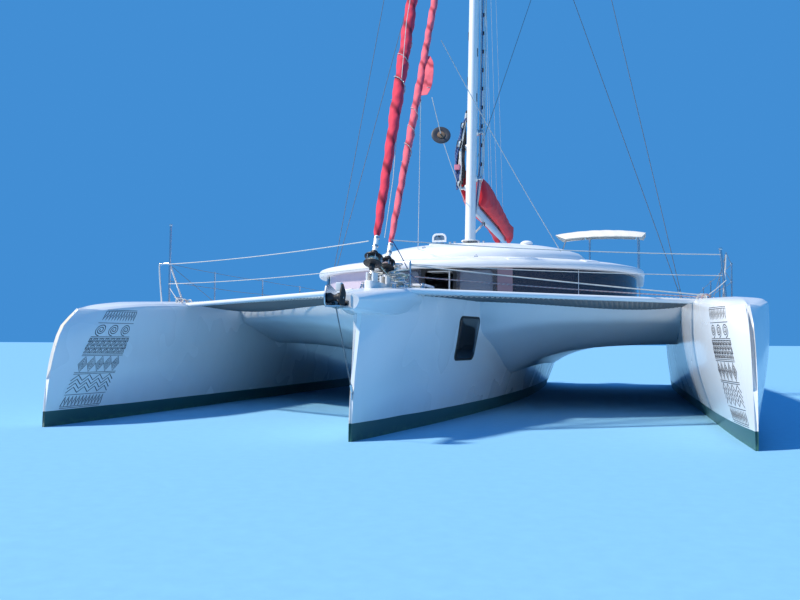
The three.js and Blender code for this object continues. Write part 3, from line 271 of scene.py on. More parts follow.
class Shade:
    """The node tree of one material."""

    def __init__(self, name: str) -> None:
        """Makes an empty material with a Principled shader."""
        self.material = bpy.data.materials.new(name)
        self.material.use_nodes = True
        self.tree = self.material.node_tree
        self.tree.nodes.clear()
        self.output = self.tree.nodes.new("ShaderNodeOutputMaterial")
        self.shader = self.tree.nodes.new("ShaderNodeBsdfPrincipled")
        self.tree.links.new(self.shader.outputs[0], self.output.inputs[0])
        self.coordinates = self.tree.nodes.new("ShaderNodeTexCoord")

    def node(self, kind: str, settings: dict[str, object], sockets: dict[object, object]) -> bpy.types.Node:
        """Adds a node.

        Args:
            kind: The node's type.
            settings: Its own properties; stops holds the stops of a ramp.
            sockets: A value or a link for each input, by its name or number.

        Returns:
            The node.
        """
        node = self.tree.nodes.new(kind)
        for key, value in settings.items():
            if key == "stops":
                ramp = node.color_ramp
                while len(ramp.elements) < len(value):
                    ramp.elements.new(1.0)
                for element, (place, colour) in zip(ramp.elements, value):
                    element.position = place
                    element.color = colour
            else:
                setattr(node, key, value)
        for key, value in sockets.items():
            self.put(node.inputs[key], value)
        return node

    def put(self, socket: bpy.types.NodeSocket, value: object) -> None:
        """Links or sets one input."""
        if isinstance(value, Value):
            self.tree.links.new(value.socket, socket)
        elif isinstance(value, bpy.types.NodeSocket):
            self.tree.links.new(value, socket)
        else:
            socket.default_value = value

    def place(
        self, stretch: tuple[float, float, float] = (1, 1, 1), uv: bool = False
    ) -> bpy.types.NodeSocket:
        """Returns the object's coordinates, or its UV map, stretched."""
        source = self.coordinates.outputs["UV" if uv else "Object"]
        node = self.node(
            "ShaderNodeMapping", {"vector_type": "POINT"}, {"Vector": source, "Scale": stretch}
        )
        return node.outputs[0]

    def axis(self, letter: str, uv: bool = False) -> Value:
        """Returns one of the coordinates."""
        source = self.coordinates.outputs["UV" if uv else "Object"]
        node = self.node("ShaderNodeSeparateXYZ", {}, {0: source})
        return Value(self, node.outputs["XYZ".index(letter)])

    def facing_up(self) -> Value:
        """Returns how far the surface's normal points up."""
        geometry = self.node("ShaderNodeNewGeometry", {}, {})
        node = self.node("ShaderNodeSeparateXYZ", {}, {0: geometry.outputs["Normal"]})
        return Value(self, node.outputs[2])

    def noise(
        self,
        scale: float,
        stretch: tuple[float, float, float] = (1, 1, 1),
        detail: float = 3.0,
        roughness: float = 0.5,
        uv: bool = False,
    ) -> Value:
        """Returns a noise from 0 to 1.

        Args:
            scale: The noise's cells a metre.
            stretch: How much the place is scaled along each axis first.
            detail: The noise's detail.
            roughness: The noise's roughness.
            uv: Whether it follows the UV map.
        """
        sockets = {
            "Vector": self.place(stretch, uv), "Scale": scale, "Detail": detail, "Roughness": roughness
        }
        return Value(self, self.node("ShaderNodeTexNoise", {}, sockets).outputs[0])

    def wave(self, scale: float, direction: str, distortion: float = 0.0, uv: bool = False) -> Value:
        """Returns a sine wave from 0 to 1 along an axis."""
        settings = {"wave_type": "BANDS", "bands_direction": direction, "wave_profile": "SIN"}
        sockets = {"Vector": self.place(uv=uv), "Scale": scale, "Distortion": distortion}
        return Value(self, self.node("ShaderNodeTexWave", settings, sockets).outputs[1])

    def blend(self, share: "Value | float", a: object, b: object) -> bpy.types.NodeSocket:
        """Returns a colour between a and b."""
        node = self.node("ShaderNodeMix", {"data_type": "RGBA"}, {"Factor": share})
        self.put(node.inputs[6], a)
        self.put(node.inputs[7], b)
        return node.outputs[2]

    def bump(
        self, height: Value, depth: float, under: bpy.types.NodeSocket | None = None
    ) -> bpy.types.NodeSocket:
        """Returns a normal with the height's relief.

        Args:
            height: The relief from 0 to 1.
            depth: Its depth in metres.
            under: A normal that this relief lies on.
        """
        sockets: dict[object, object] = {"Height": height, "Distance": depth, "Strength": 1.0}
        if under is not None:
            sockets["Normal"] = under
        return self.node("ShaderNodeBump", {}, sockets).outputs[0]

    def finish(self, **sockets: object) -> bpy.types.Material:
        """Sets the shader's sockets by name, with _ for a space, and returns the material."""
        for key, value in sockets.items():
            self.put(self.shader.inputs[key.replace("_", " ")], value)
        return self.material


Colour = tuple[float, float, float, float]


def paint(r: float, g: float, b: float) -> Colour:
    """Returns an opaque linear colour."""
    return (r, g, b, 1.0)


def tint(colour: Colour, factor: float) -> Colour:
    """Returns a colour made lighter or darker."""
    return (colour[0] * factor, colour[1] * factor, colour[2] * factor, 1.0)


class Finish:
    """A surface finish that makes its material once."""

    made: dict[str, bpy.types.Material] = {}

    def build(self, shade: Shade) -> bpy.types.Material:
        """Sets up the material's nodes."""
        raise NotImplementedError

    def material(self) -> bpy.types.Material:
        """Returns the material, made the first time it is asked for."""
        name = getattr(self, "name")
        if name not in Finish.made:
            Finish.made[name] = self.build(Shade(name))
        return Finish.made[name]


class Texture(Enum):
    """The relief of a moulded deck surface."""

    PLAIN = "plain"
    NONSKID = "nonskid"


@dataclass(frozen=True)
class Gelcoat(Finish):
    """Polished white moulding with faint waviness, rain streaks and, on decks, a moulded nonskid."""

    name: str = "gelcoat"
    colour: Colour = paint(0.83, 0.84, 0.85)
    deck: Texture = Texture.PLAIN
    boot_top: float | None = None
    antifouling: Colour = paint(0.012, 0.085, 0.08)
    slime: Colour = paint(0.05, 0.17, 0.1)
    roughness: float = 0.22

    def build(self, shade: Shade) -> bpy.types.Material:
        """Sets up the material's nodes."""
        z = shade.axis("Z")
        patches = shade.noise(0.9, detail=2.0)
        streaks = shade.noise(5.0, (1.0, 1.0, 0.08), detail=3.0)
        grime = (streaks - 0.45).step(0.0, 0.35) * 0.35 + patches * 0.25
        white = shade.blend(grime * 0.22, self.colour, tint(self.colour, 0.8))
        waviness = shade.bump(shade.noise(1.6, detail=1.0), 0.006)
        peel = shade.bump(shade.noise(160.0, detail=2.0), 0.00012, waviness)
        rough = patches * 0.1 + self.roughness
        normal = peel
        if self.deck is Texture.NONSKID:
            top = shade.facing_up().step(0.96, 0.985)
            grains = shade.node(
                "ShaderNodeTexVoronoi", {"feature": "F1"}, {"Vector": shade.place(), "Scale": 130.0}
            )
            relief = Value(shade, grains.outputs["Distance"]) * top
            normal = shade.bump(relief, 0.0012, waviness)
            white = shade.blend(top * 0.55, white, tint(self.colour, 0.86))
            rough = rough + top * 0.35
        if self.boot_top is not None:
            ripple = shade.noise(1.2, (0.4, 1.0, 0.0), detail=2.0)
            edge = z - self.boot_top - (ripple - 0.5) * 0.012
            below = (edge * -1.0).step(-0.001, 0.001)
            band = (shade.noise(9.0, (1, 1, 2.5), detail=5.0, roughness=0.65) - 0.35).step(0.0, 0.4)
            wet = (edge * -1.0).step(0.07, 0.19)
            paintwork = shade.blend(band * wet, self.antifouling, self.slime)
            scum = ((edge * -1.0).step(-0.24, 0.0) * (streaks * 0.9)) * 0.28
            above = shade.blend(scum, white, paint(0.55, 0.55, 0.42))
            white = shade.blend(below, above, paintwork)
            rough = rough * (1.0 - below) + below * 0.5
        return shade.finish(
            Base_Color=white, Roughness=rough, Normal=normal, Coat_Weight=0.25, Coat_Roughness=0.06
        )


@dataclass(frozen=True)
class Glass(Finish):
    """Tinted acrylic with a patchy film of salt."""

    name: str
    colour: Colour
    alpha: float
    roughness: float = 0.05

    def build(self, shade: Shade) -> bpy.types.Material:
        """Sets up the material's nodes."""
        film = shade.noise(6.0, (1, 1, 0.5), detail=5.0)
        spots = shade.noise(60.0, detail=4.0, roughness=0.7).step(0.52, 0.72)
        salt = film * 0.55 + spots * 0.25
        colour = shade.blend(salt * 0.14, self.colour, paint(0.5, 0.53, 0.56))
        rough = salt * 0.16 + self.roughness
        clear = salt * 0.08 + self.alpha
        return shade.finish(Base_Color=colour, Roughness=rough, Alpha=clear, IOR=1.49, Coat_Weight=0.4)


@dataclass(frozen=True)
class Metal(Finish):
    """Metal with fine handling marks."""

    name: str
    colour: Colour
    roughness: float
    metallic: float = 1.0
    grain: tuple[float, float, float] = (1, 1, 1)
    stain: Colour = paint(0.36, 0.25, 0.15)
    staining: float = 0.06

    def build(self, shade: Shade) -> bpy.types.Material:
        """Sets up the material's nodes."""
        marks = shade.noise(90.0, self.grain, detail=4.0, roughness=0.65)
        blotches = shade.noise(7.0, detail=4.0)
        spots = (shade.noise(38.0, detail=5.0, roughness=0.7) - 0.58).step(0.0, 0.12)
        colour = shade.blend(blotches * 0.25, self.colour, tint(self.colour, 0.78))
        colour = shade.blend(spots * self.staining, colour, self.stain)
        rough = marks * 0.14 + blotches * 0.08 + self.roughness
        normal = shade.bump(marks, 0.00006)
        return shade.finish(Base_Color=colour, Roughness=rough, Metallic=self.metallic, Normal=normal)


@dataclass(frozen=True)
class Rope(Finish):
    """Braided rope whose UV map runs round it and along it in metres."""

    name: str
    colour: Colour
    fleck: Colour
    pitch: float = 0.022
    share: float = 0.5
    strands: int = 6

    def build(self, shade: Shade) -> bpy.types.Material:
        """Sets up the material's nodes."""
        turn, run = shade.axis("X", uv=True), shade.axis("Y", uv=True)
        along = run / self.pitch
        left = (turn * self.strands + along).maths("FRACT")
        right = (turn * self.strands - along).maths("FRACT")
        ridge_left = left.maths("PINGPONG", 0.5) * 2.0
        ridge_right = right.maths("PINGPONG", 0.5) * 2.0
        relief = ridge_left.maths("MAXIMUM", ridge_right)
        marker = (turn * 1.0 + run / (self.pitch * 2.5)).maths("FRACT")
        flecked = (marker < self.share) * ridge_left.step(0.35, 0.6)
        fuzz = shade.noise(400.0, detail=3.0)
        worn = shade.noise(2.5, detail=3.0)
        colour = shade.blend(flecked, self.colour, self.fleck)
        colour = shade.blend(fuzz * 0.3 + worn * 0.15, colour, tint(self.colour, 0.5))
        return shade.finish(
            Base_Color=colour, Roughness=0.85, Normal=shade.bump(relief, 0.0012), Sheen_Weight=0.2
        )


@dataclass(frozen=True)
class Canvas(Finish):
    """Woven canvas with faded patches, weave and soft creases."""

    name: str
    colour: Colour
    faded: Colour
    dirt: float = 0.25
    creases: float = 0.004
    weave: float = 900.0

    def build(self, shade: Shade) -> bpy.types.Material:
        """Sets up the material's nodes."""
        warp = shade.wave(self.weave, "X") * 0.5 + shade.wave(self.weave, "DIAGONAL") * 0.5
        sun = shade.noise(1.7, detail=4.0)
        folds = shade.noise(7.0, (1, 0.5, 1.4), detail=4.0, roughness=0.55)
        grime = shade.noise(24.0, detail=5.0, roughness=0.65)
        colour = shade.blend(sun.step(0.35, 0.7) * 0.55, self.colour, self.faded)
        colour = shade.blend(grime * self.dirt, colour, tint(self.colour, 0.45))
        relief = shade.bump(folds, self.creases)
        cloth = shade.bump(warp, 0.00025, relief)
        return shade.finish(
            Base_Color=colour, Roughness=0.82, Normal=cloth, Sheen_Weight=0.06, Sheen_Roughness=0.5
        )


@dataclass(frozen=True)
class FurledCloth(Finish):
    """Canvas wound on a stay, with painted shade in the spiral valleys between its turns and in its folds.
    """

    name: str
    colour: Colour
    valley_shade: Colour
    pitch: float = 0.42

    def build(self, shade: Shade) -> bpy.types.Material:
        """Sets up the material's nodes."""
        turn, run = shade.axis("X", uv=True), shade.axis("Y", uv=True)
        drift = shade.noise(3.0, detail=3.0) * 0.3
        ridge = (turn + run / self.pitch + drift).maths("FRACT").maths("PINGPONG", 0.5) * 2.0
        folds = shade.noise(9.0, (1, 1, 0.5), detail=4.0)
        fade = shade.noise(1.6, detail=3.0).step(0.35, 0.7)
        # painted shade: the dark second colour fills the spiral valleys between the turns
        colour = shade.blend(ridge.step(0.0, 0.42), self.valley_shade, self.colour)
        # painted shade: darker where the fold noise is high, in the hollows of the folds
        colour = shade.blend(folds.step(0.45, 0.75) * 0.5, colour, tint(self.colour, 0.5))
        colour = shade.blend(fade * 0.2, colour, tint(self.colour, 1.25))
        return shade.finish(Base_Color=colour, Roughness=0.85, Normal=shade.bump(folds, 0.012))


@dataclass(frozen=True)
class Vinyl(Finish):
    """Grained marine vinyl over foam."""

    name: str
    colour: Colour

    def build(self, shade: Shade) -> bpy.types.Material:
        """Sets up the material's nodes."""
        cells = shade.node(
            "ShaderNodeTexVoronoi", {"feature": "DISTANCE_TO_EDGE"},
            {"Vector": shade.place(), "Scale": 420.0},
        )
        grain = Value(shade, cells.outputs["Distance"]).step(0.0, 0.3)
        wear = shade.noise(3.0, detail=4.0)
        colour = shade.blend(wear * 0.3, self.colour, tint(self.colour, 0.72))
        colour = shade.blend((1.0 - grain) * 0.25, colour, tint(self.colour, 0.5))
        rough = wear * 0.15 + 0.42
        return shade.finish(Base_Color=colour, Roughness=rough, Normal=shade.bump(grain, 0.0003))


@dataclass(frozen=True)
class Teak(Finish):
    """Weathered teak in planks with dark seams."""

    name: str
    plank: float = 0.062
    colour: Colour = paint(0.33, 0.18, 0.08)
    silver: Colour = paint(0.45, 0.36, 0.27)

    def build(self, shade: Shade) -> bpy.types.Material:
        """Sets up the material's nodes."""
        across = shade.axis("X") / self.plank
        seam = across.maths("FRACT").maths("PINGPONG", 0.5).step(0.03, 0.06)
        grain = shade.noise(40.0, (3.0, 0.18, 3.0), detail=6.0, roughness=0.6)
        weather = shade.noise(2.2, detail=3.0)
        wood = shade.blend(grain, self.colour, tint(self.colour, 0.45))
        wood = shade.blend(weather * 0.5, wood, self.silver)
        colour = shade.blend(1.0 - seam, wood, paint(0.012, 0.011, 0.01))
        relief = seam * 0.7 + grain * 0.3
        return shade.finish(
            Base_Color=colour, Roughness=grain * 0.2 + 0.45, Normal=shade.bump(relief, 0.0008)
        )


@dataclass(frozen=True)
class Moulding(Finish):
    """Moulded plastic, rubber or painted metal with a fine grain."""

    name: str
    colour: Colour
    roughness: float = 0.45
    grain: float = 300.0

    def build(self, shade: Shade) -> bpy.types.Material:
        """Sets up the material's nodes."""
        fine = shade.noise(self.grain, detail=3.0)
        dust = shade.noise(9.0, detail=5.0, roughness=0.6)
        colour = shade.blend(dust * 0.3, self.colour, tint(self.colour, 1.7))
        rough = fine * 0.12 + dust * 0.12 + self.roughness
        return shade.finish(Base_Color=colour, Roughness=rough, Normal=shade.bump(fine, 0.00015))


@dataclass(frozen=True)
class Scrim(Finish):
    """Perforated sun screen behind a window: fine holes in a pale blue-grey cloth, with painted shade along
    its drape.
    """

    name: str
    colour: Colour

    def build(self, shade: Shade) -> bpy.types.Material:
        """Sets up the material's nodes."""
        threads = shade.wave(300.0, "Z") * 0.5 + shade.wave(300.0, "X") * 0.5
        drape_shade = shade.noise(1.6, (1, 1, 0.4), detail=2.0)
        # painted shade: the drape noise darkens the cloth along its folds; the thread pattern darkens the
        # holes
        colour = shade.blend(threads * 0.25 + drape_shade * 0.4, self.colour, tint(self.colour, 0.6))
        return shade.finish(Base_Color=colour, Roughness=0.7, Normal=shade.bump(threads, 0.0004))


HULL_WHITE = Gelcoat("hull_gelcoat", boot_top=0.175)
DECK_WHITE = Gelcoat("deck_gelcoat", deck=Texture.NONSKID, roughness=0.3)
HOUSE_WHITE = Gelcoat("house_gelcoat", colour=paint(0.84, 0.85, 0.86))
ANTIFOULING = Moulding("antifouling_paint", paint(0.012, 0.085, 0.08), 0.6, 60.0)
SMOKED = Glass("smoked_acrylic", paint(0.006, 0.007, 0.01), 0.72)
MILKY = Glass("screened_acrylic", paint(0.24, 0.28, 0.34), 0.75, 0.12)
PALE_GLASS = Glass("pale_acrylic", paint(0.5, 0.44, 0.5), 0.3, 0.08)
BONDED = Glass("bonded_acrylic", paint(0.03, 0.024, 0.036), 0.62, 0.04)
BONDED_PALE = Glass("pale_bonded_acrylic", paint(0.66, 0.56, 0.66), 0.88, 0.06)
BONDED_ROSY = Glass("rosy_bonded_acrylic", paint(0.3, 0.2, 0.23), 0.8, 0.06)
BONDED_CLEAR = Glass("clear_bonded_acrylic", paint(0.2, 0.2, 0.24), 0.12, 0.04)
CLEAR_GREY = Glass("grey_acrylic", paint(0.2, 0.23, 0.25), 0.5)
SPAR = Metal("white_spar", paint(0.93, 0.9, 0.86), 0.3, metallic=0.08, grain=(1, 1, 0.05), staining=0.02)
BOOM_METAL = Metal(
    "silver_spar", paint(0.6, 0.63, 0.67), 0.3, metallic=0.75, grain=(1, 0.05, 1), staining=0.02
)
STAINLESS = Metal("stainless", paint(0.62, 0.63, 0.65), 0.12)
WIRE = Rope("stay_wire", paint(0.16, 0.165, 0.17), paint(0.26, 0.27, 0.28), 0.05, 0.5, 7)
BRONZE = Metal("bronze", paint(0.45, 0.27, 0.1), 0.32, stain=paint(0.1, 0.3, 0.2), staining=0.4)
ALLOY = Metal("drive_paint", paint(0.5, 0.52, 0.53), 0.42, metallic=0.4)
BLACK = Moulding("black_moulding", paint(0.012, 0.012, 0.014), 0.38)
RUBBER = Moulding("window_rubber", paint(0.008, 0.008, 0.009), 0.55)
PALE_PLASTIC = Moulding("pale_moulding", paint(0.6, 0.62, 0.63), 0.4)
DIAL_FACE = Moulding("instrument_face", paint(0.006, 0.008, 0.01), 0.15)
ENGINE_GREEN = Moulding("engine_enamel", paint(0.06, 0.2, 0.14), 0.35)
CRIMSON = Canvas("crimson_canvas", paint(0.76, 0.011, 0.024), paint(0.8, 0.026, 0.045), 0.12)
# each furled cover's second colour is the painted shade of its spiral valleys
SAIL_RED = FurledCloth("crimson_sail_cover", paint(0.84, 0.05, 0.09), paint(0.24, 0.008, 0.025))
SAIL_PINK = FurledCloth("faded_sail_cover", paint(0.92, 0.15, 0.19), paint(0.38, 0.03, 0.05), 0.36)
SAIL_WHITE = Canvas("sail_cloth", paint(0.74, 0.73, 0.7), paint(0.8, 0.8, 0.78), 0.15, 0.004)
BIMINI_CLOTH = Canvas("bimini_canvas", paint(0.74, 0.7, 0.62), paint(0.82, 0.79, 0.72), 0.12, 0.003)
SUN_SCREEN = Scrim("window_screen", paint(0.5, 0.55, 0.64))
PALE_SCREEN = Scrim("pale_window_screen", paint(0.74, 0.62, 0.72))
UPHOLSTERY = Vinyl("cushion_vinyl", paint(0.5, 0.44, 0.36))
SALOON_VINYL = Vinyl("saloon_vinyl", paint(0.3, 0.24, 0.2))
TEAK = Teak("teak")
TABLE_TEAK = Teak("table_teak", 0.12)
NET_CORD = Moulding("net_cord", paint(0.13, 0.145, 0.155), 0.8, 500.0)
WEBBING = Canvas("net_webbing", paint(0.03, 0.031, 0.034), paint(0.07, 0.07, 0.075), 0.2, 0.001)
TUBE_WHITE = Metal("white_tube", paint(0.8, 0.82, 0.84), 0.3, metallic=0.1, staining=0.02)
BAND_INK = Moulding("band_paint", paint(0.035, 0.036, 0.042), 0.4, 80.0)
ROPE_WHITE = Rope("white_rope", paint(0.72, 0.71, 0.67), paint(0.6, 0.6, 0.58))
ROPE_RED = Rope("red_rope", paint(0.66, 0.6, 0.58), paint(0.45, 0.03, 0.05), share=0.7)
ROPE_BLUE = Rope("blue_rope", paint(0.03, 0.07, 0.22), paint(0.2, 0.28, 0.45), share=0.35)
ROPE_BLACK = Rope("black_rope", paint(0.015, 0.015, 0.018), paint(0.06, 0.06, 0.07))
ROPE_GREEN = Rope("green_rope", paint(0.68, 0.69, 0.62), paint(0.07, 0.3, 0.16), share=0.45)


class Form:
    """Vertices and faces with their finish and UV map, gathered into one mesh."""

    def __init__(self, name: str, finish: Finish) -> None:
        """Starts an empty form.

        Args:
            name: The name of the piece it becomes.
            finish: The finish of its first faces.
        """
        self.name = name
        self.points: list[Vector] = []
        self.faces: list[tuple[int, ...]] = []
        self.uvs: list[list[tuple[float, float]]] = []
        self.finishes: list[Finish] = []
        self.face_finish: list[int] = []
        self.current = 0
        self.use(finish)

    def use(self, finish: Finish) -> "Form":
        """Gives the faces that follow a finish."""
        if finish not in self.finishes:
            self.finishes.append(finish)
        self.current = self.finishes.index(finish)
        return self

    def face(self, corners: Sequence[int], uv: Sequence[tuple[float, float]] | None = None) -> None:
        """Adds a face between points."""
        self.faces.append(tuple(corners))
        self.uvs.append(list(uv) if uv else [(0.0, 0.0)] * len(corners))
        self.face_finish.append(self.current)

    def loft(self, rings: Sequence[Sequence[Vector]], looped: bool = False) -> "Form":
        """Adds a skin through closed rings of equal point count.

        Args:
            rings: The rings, in order.
            looped: Whether the last ring joins the first, instead of flat faces that close both ends.

        Returns:
            This form.
        """
        count = len(rings[0])
        base = len(self.points)
        centres = [sum(ring, Vector()) / count for ring in rings]
        runs = [0.0]
        for a, b in zip(centres, centres[1:]):
            runs.append(runs[-1] + (b - a).length)
        for ring in rings:
            self.points.extend(p.copy() for p in ring)
        first_face = len(self.faces)
        spans = len(rings) if looped else len(rings) - 1
        for row in range(spans):
            after = (row + 1) % len(rings)
            low, high = runs[row], runs[after] if after else runs[row] + (centres[0] - centres[-1]).length
            for i in range(count):
                j = (i + 1) % count
                corners = (
                    base + row * count + i, base + row * count + j, base + after * count + j,
                    base + after * count + i,
                )
                u0, u1 = i / count, (i + 1) / count
                self.face(corners, [(u0, low), (u1, low), (u1, high), (u0, high)])
        if not looped:
            self.face([base + i for i in reversed(range(count))])
            self.face([base + (len(rings) - 1) * count + i for i in range(count)])
        self.outward(first_face)
        return self

    def outward(self, first_face: int) -> None:
        """Turns the faces from first_face on so that they point out of the closed skin that they make."""
        volume = 0.0
        origin = self.points[self.faces[first_face][0]]
        for corners in self.faces[first_face:]:
            a = self.points[corners[0]] - origin
            for i, j in zip(corners[1:], corners[2:]):
                volume += a.dot((self.points[i] - origin).cross(self.points[j] - origin))
        if volume < 0:
            for i in range(first_face, len(self.faces)):
                self.faces[i] = tuple(reversed(self.faces[i]))
                self.uvs[i] = list(reversed(self.uvs[i]))

    def tube(
        self,
        path: Sequence[Vector],
        radius: float | Callable[[float], float],
        sides: int = 10,
        looped: bool = False,
        flat: float = 1.0,
    ) -> "Form":
        """Adds a round tube along a path.

        Args:
            path: The points of its centreline.
            radius: Its radius, or a function of the share of the path.
            sides: How many sides its section has.
            looped: Whether the path closes on itself.
            flat: The section's height over its width.

        Returns:
            This form.
        """
        count = len(path)
        tangents = []
        for i in range(count):
            before = path[(i - 1) % count] if looped else path[max(0, i - 1)]
            behind = path[(i + 1) % count] if looped else path[min(count - 1, i + 1)]
            tangents.append((behind - before).normalized())
        lead = UP if abs(tangents[0].z) < 0.9 else PORT
        side = tangents[0].cross(lead).normalized()
        rings = []
        for i, (centre, tangent) in enumerate(zip(path, tangents)):
            if i:
                side = (side - tangent * side.dot(tangent)).normalized()
            other = tangent.cross(side)
            size = radius(i / max(1, count - 1)) if callable(radius) else radius
            rings.append(
                [
                    centre + side * (size * math.cos(TAU * k / sides)) + other * (
                        size * flat * math.sin(TAU * k / sides)
                    )
                    for k in range(sides)
                ]
            )
        return self.loft(rings, looped)

    def rod(
        self, start: Vector, end: Vector, radius: float, sides: int = 12, end_radius: float | None = None
    ) -> "Form":
        """Adds a straight bar, tapered where end_radius is given."""
        last = radius if end_radius is None else end_radius
        return self.tube([start, end], lambda share: lerp(radius, last, share), sides)

    def turned(
        self, foot: Vector, axis: Vector, profile: Sequence[tuple[float, float]], sides: int = 24
    ) -> "Form":
        """Adds a round body.

        Args:
            foot: The point that heights are measured from.
            axis: The direction of its axis.
            profile: Its outline as (radius, height) rows, whose ends are closed by flat faces.
            sides: How many sides it has.

        Returns:
            This form.
        """
        up = axis.normalized()
        lead = PORT if abs(up.x) < 0.9 else AFT
        side = up.cross(lead).normalized()
        other = up.cross(side)
        rings = [
            [
                foot + up * height + (
                    side * math.cos(TAU * k / sides) + other * math.sin(TAU * k / sides)
                ) * max(radius, 1e-4)
                for k in range(sides)
            ]
            for radius, height in profile
        ]
        return self.loft(rings)

    def slab(self, outline: Sequence[Vector], thickness: Vector) -> "Form":
        """Adds a flat plate from its outline and the vector of its thickness."""
        return self.loft([list(outline), [p + thickness for p in outline]])

    def block(self, low: Vector, high: Vector, edge: float = 0.0, rise: float = 0.0) -> "Form":
        """Adds a box with its upright corners rounded by edge, and its top edge by rise."""
        outline = rounded_rectangle(low.x, low.y, high.x, high.y, edge)
        rings = [[Vector((x, y, low.z)) for x, y in outline]]
        steps = 4 if rise else 0
        for i in range(steps + 1):
            angle = math.pi / 2 * (i / steps if steps else 1)
            inset = rise * (1 - math.cos(angle)) if rise else 0.0
            inner = rounded_rectangle(
                low.x + inset, low.y + inset, high.x - inset, high.y - inset, max(edge - inset, 0.0)
            )
            rings.append(
                [
                    Vector((x, y, high.z - rise + rise * math.sin(angle) if rise else high.z))
                    for x, y in inner
                ]
            )
        return self.loft(rings)

    def object(self, sharp: float = 35.0) -> bpy.types.Object:
        """Makes the object.

        Args:
            sharp: Edges that turn more than this many degrees stay sharp.

        Returns:
            The object, with its finishes.
        """
        mesh = bpy.data.meshes.new(self.name)
        mesh.from_pydata([tuple(p) for p in self.points], [], self.faces)
        layer = mesh.uv_layers.new(name="UVMap")
        flat = [number for corners in self.uvs for uv in corners for number in uv]
        layer.data.foreach_set("uv", flat)
        for finish in self.finishes:
            mesh.materials.append(finish.material())
        mesh.polygons.foreach_set("material_index", self.face_finish)
        mesh.validate()
        mesh.shade_smooth()
        mesh.set_sharp_from_angle(angle=math.radians(sharp))
        made = bpy.data.objects.new(self.name, mesh)
        bpy.context.scene.collection.objects.link(made)
        return made


def rounded_rectangle(
    x0: float, y0: float, x1: float, y1: float, edge: float, steps: int = 5
) -> list[tuple[float, float]]:
    """Returns the outline of a rectangle with round corners, anticlockwise."""
    if edge <= 0:
        return [(x0, y0), (x1, y0), (x1, y1), (x0, y1)]
    corners = [
        (x1 - edge, y0 + edge, -90), (x1 - edge, y1 - edge, 0), (x0 + edge, y1 - edge, 90),
        (x0 + edge, y0 + edge, 180),
    ]
    return [
        (
            cx + edge * math.cos(math.radians(turn + 90 * i / steps)),
            cy + edge * math.sin(math.radians(turn + 90 * i / steps)),
        )
        for cx, cy, turn in corners
        for i in range(steps + 1)
    ]


def rounded_outline(
    corners: Sequence[tuple[float, float, float]], steps: int = 6
) -> list[tuple[float, float]]:
    """Returns an outline with round corners.

    Args:
        corners: Each corner's x, y and radius.
        steps: How many spans each round corner takes.
    """
    made: list[tuple[float, float]] = []
    count = len(corners)
    for i, (x, y, radius) in enumerate(corners):
        here = Vector((x, y))
        before, after = Vector(corners[i - 1][:2]) - here, Vector(corners[(i + 1) % count][:2]) - here
        reach = min(radius, before.length * 0.49, after.length * 0.49)
        if reach <= 0:
            made.append((x, y))
            continue
        start, end = here + before.normalized() * reach, here + after.normalized() * reach
        for k in range(steps + 1):
            t = k / steps
            p = start * (1 - t) ** 2 + here * (2 * t * (1 - t)) + end * t * t
            made.append((p.x, p.y))
    return made


def carve(body: bpy.types.Object, tool: bpy.types.Object, operation: str = "DIFFERENCE") -> None:
    """Cuts a tool's shape out of a body, or joins it on, and deletes the tool."""
    modifier = body.modifiers.new("carve", "BOOLEAN")
    modifier.operation = operation
    modifier.solver = "EXACT"
    modifier.object = tool
    apply_modifiers(body)
    mesh = tool.data
    bpy.data.objects.remove(tool)
    bpy.data.meshes.remove(mesh)


def apply_modifiers(body: bpy.types.Object) -> None:
    """Turns an object's modifiers into its plain mesh."""
    graph = bpy.context.evaluated_depsgraph_get()
    graph.update()
    made = bpy.data.meshes.new_from_object(body.evaluated_get(graph))
    old = body.data
    body.modifiers.clear()
    body.data = made
    bpy.data.meshes.remove(old)


def tidy_mesh(body: bpy.types.Object, sharp: float = 35.0) -> None:
    """Merges doubles and sets which edges stay sharp."""
    work = bmesh.new()
    work.from_mesh(body.data)
    bmesh.ops.remove_doubles(work, verts=work.verts, dist=1e-5)
    bmesh.ops.dissolve_degenerate(work, edges=work.edges, dist=1e-6)
    work.to_mesh(body.data)
    work.free()
    body.data.shade_smooth()
    body.data.set_sharp_from_angle(angle=math.radians(sharp))


def settle(piece: bpy.types.Object, slot: str, *nodes: str, body: str = BODY) -> bpy.types.Object:
    """Rides a piece on a body, hides the nodes that it stands for, and logs it."""
    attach(piece, body)
    if nodes:
        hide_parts(*nodes)
    LOG.info("%s: %d faces on %s", piece.name, len(piece.data.polygons), body)
    return piece


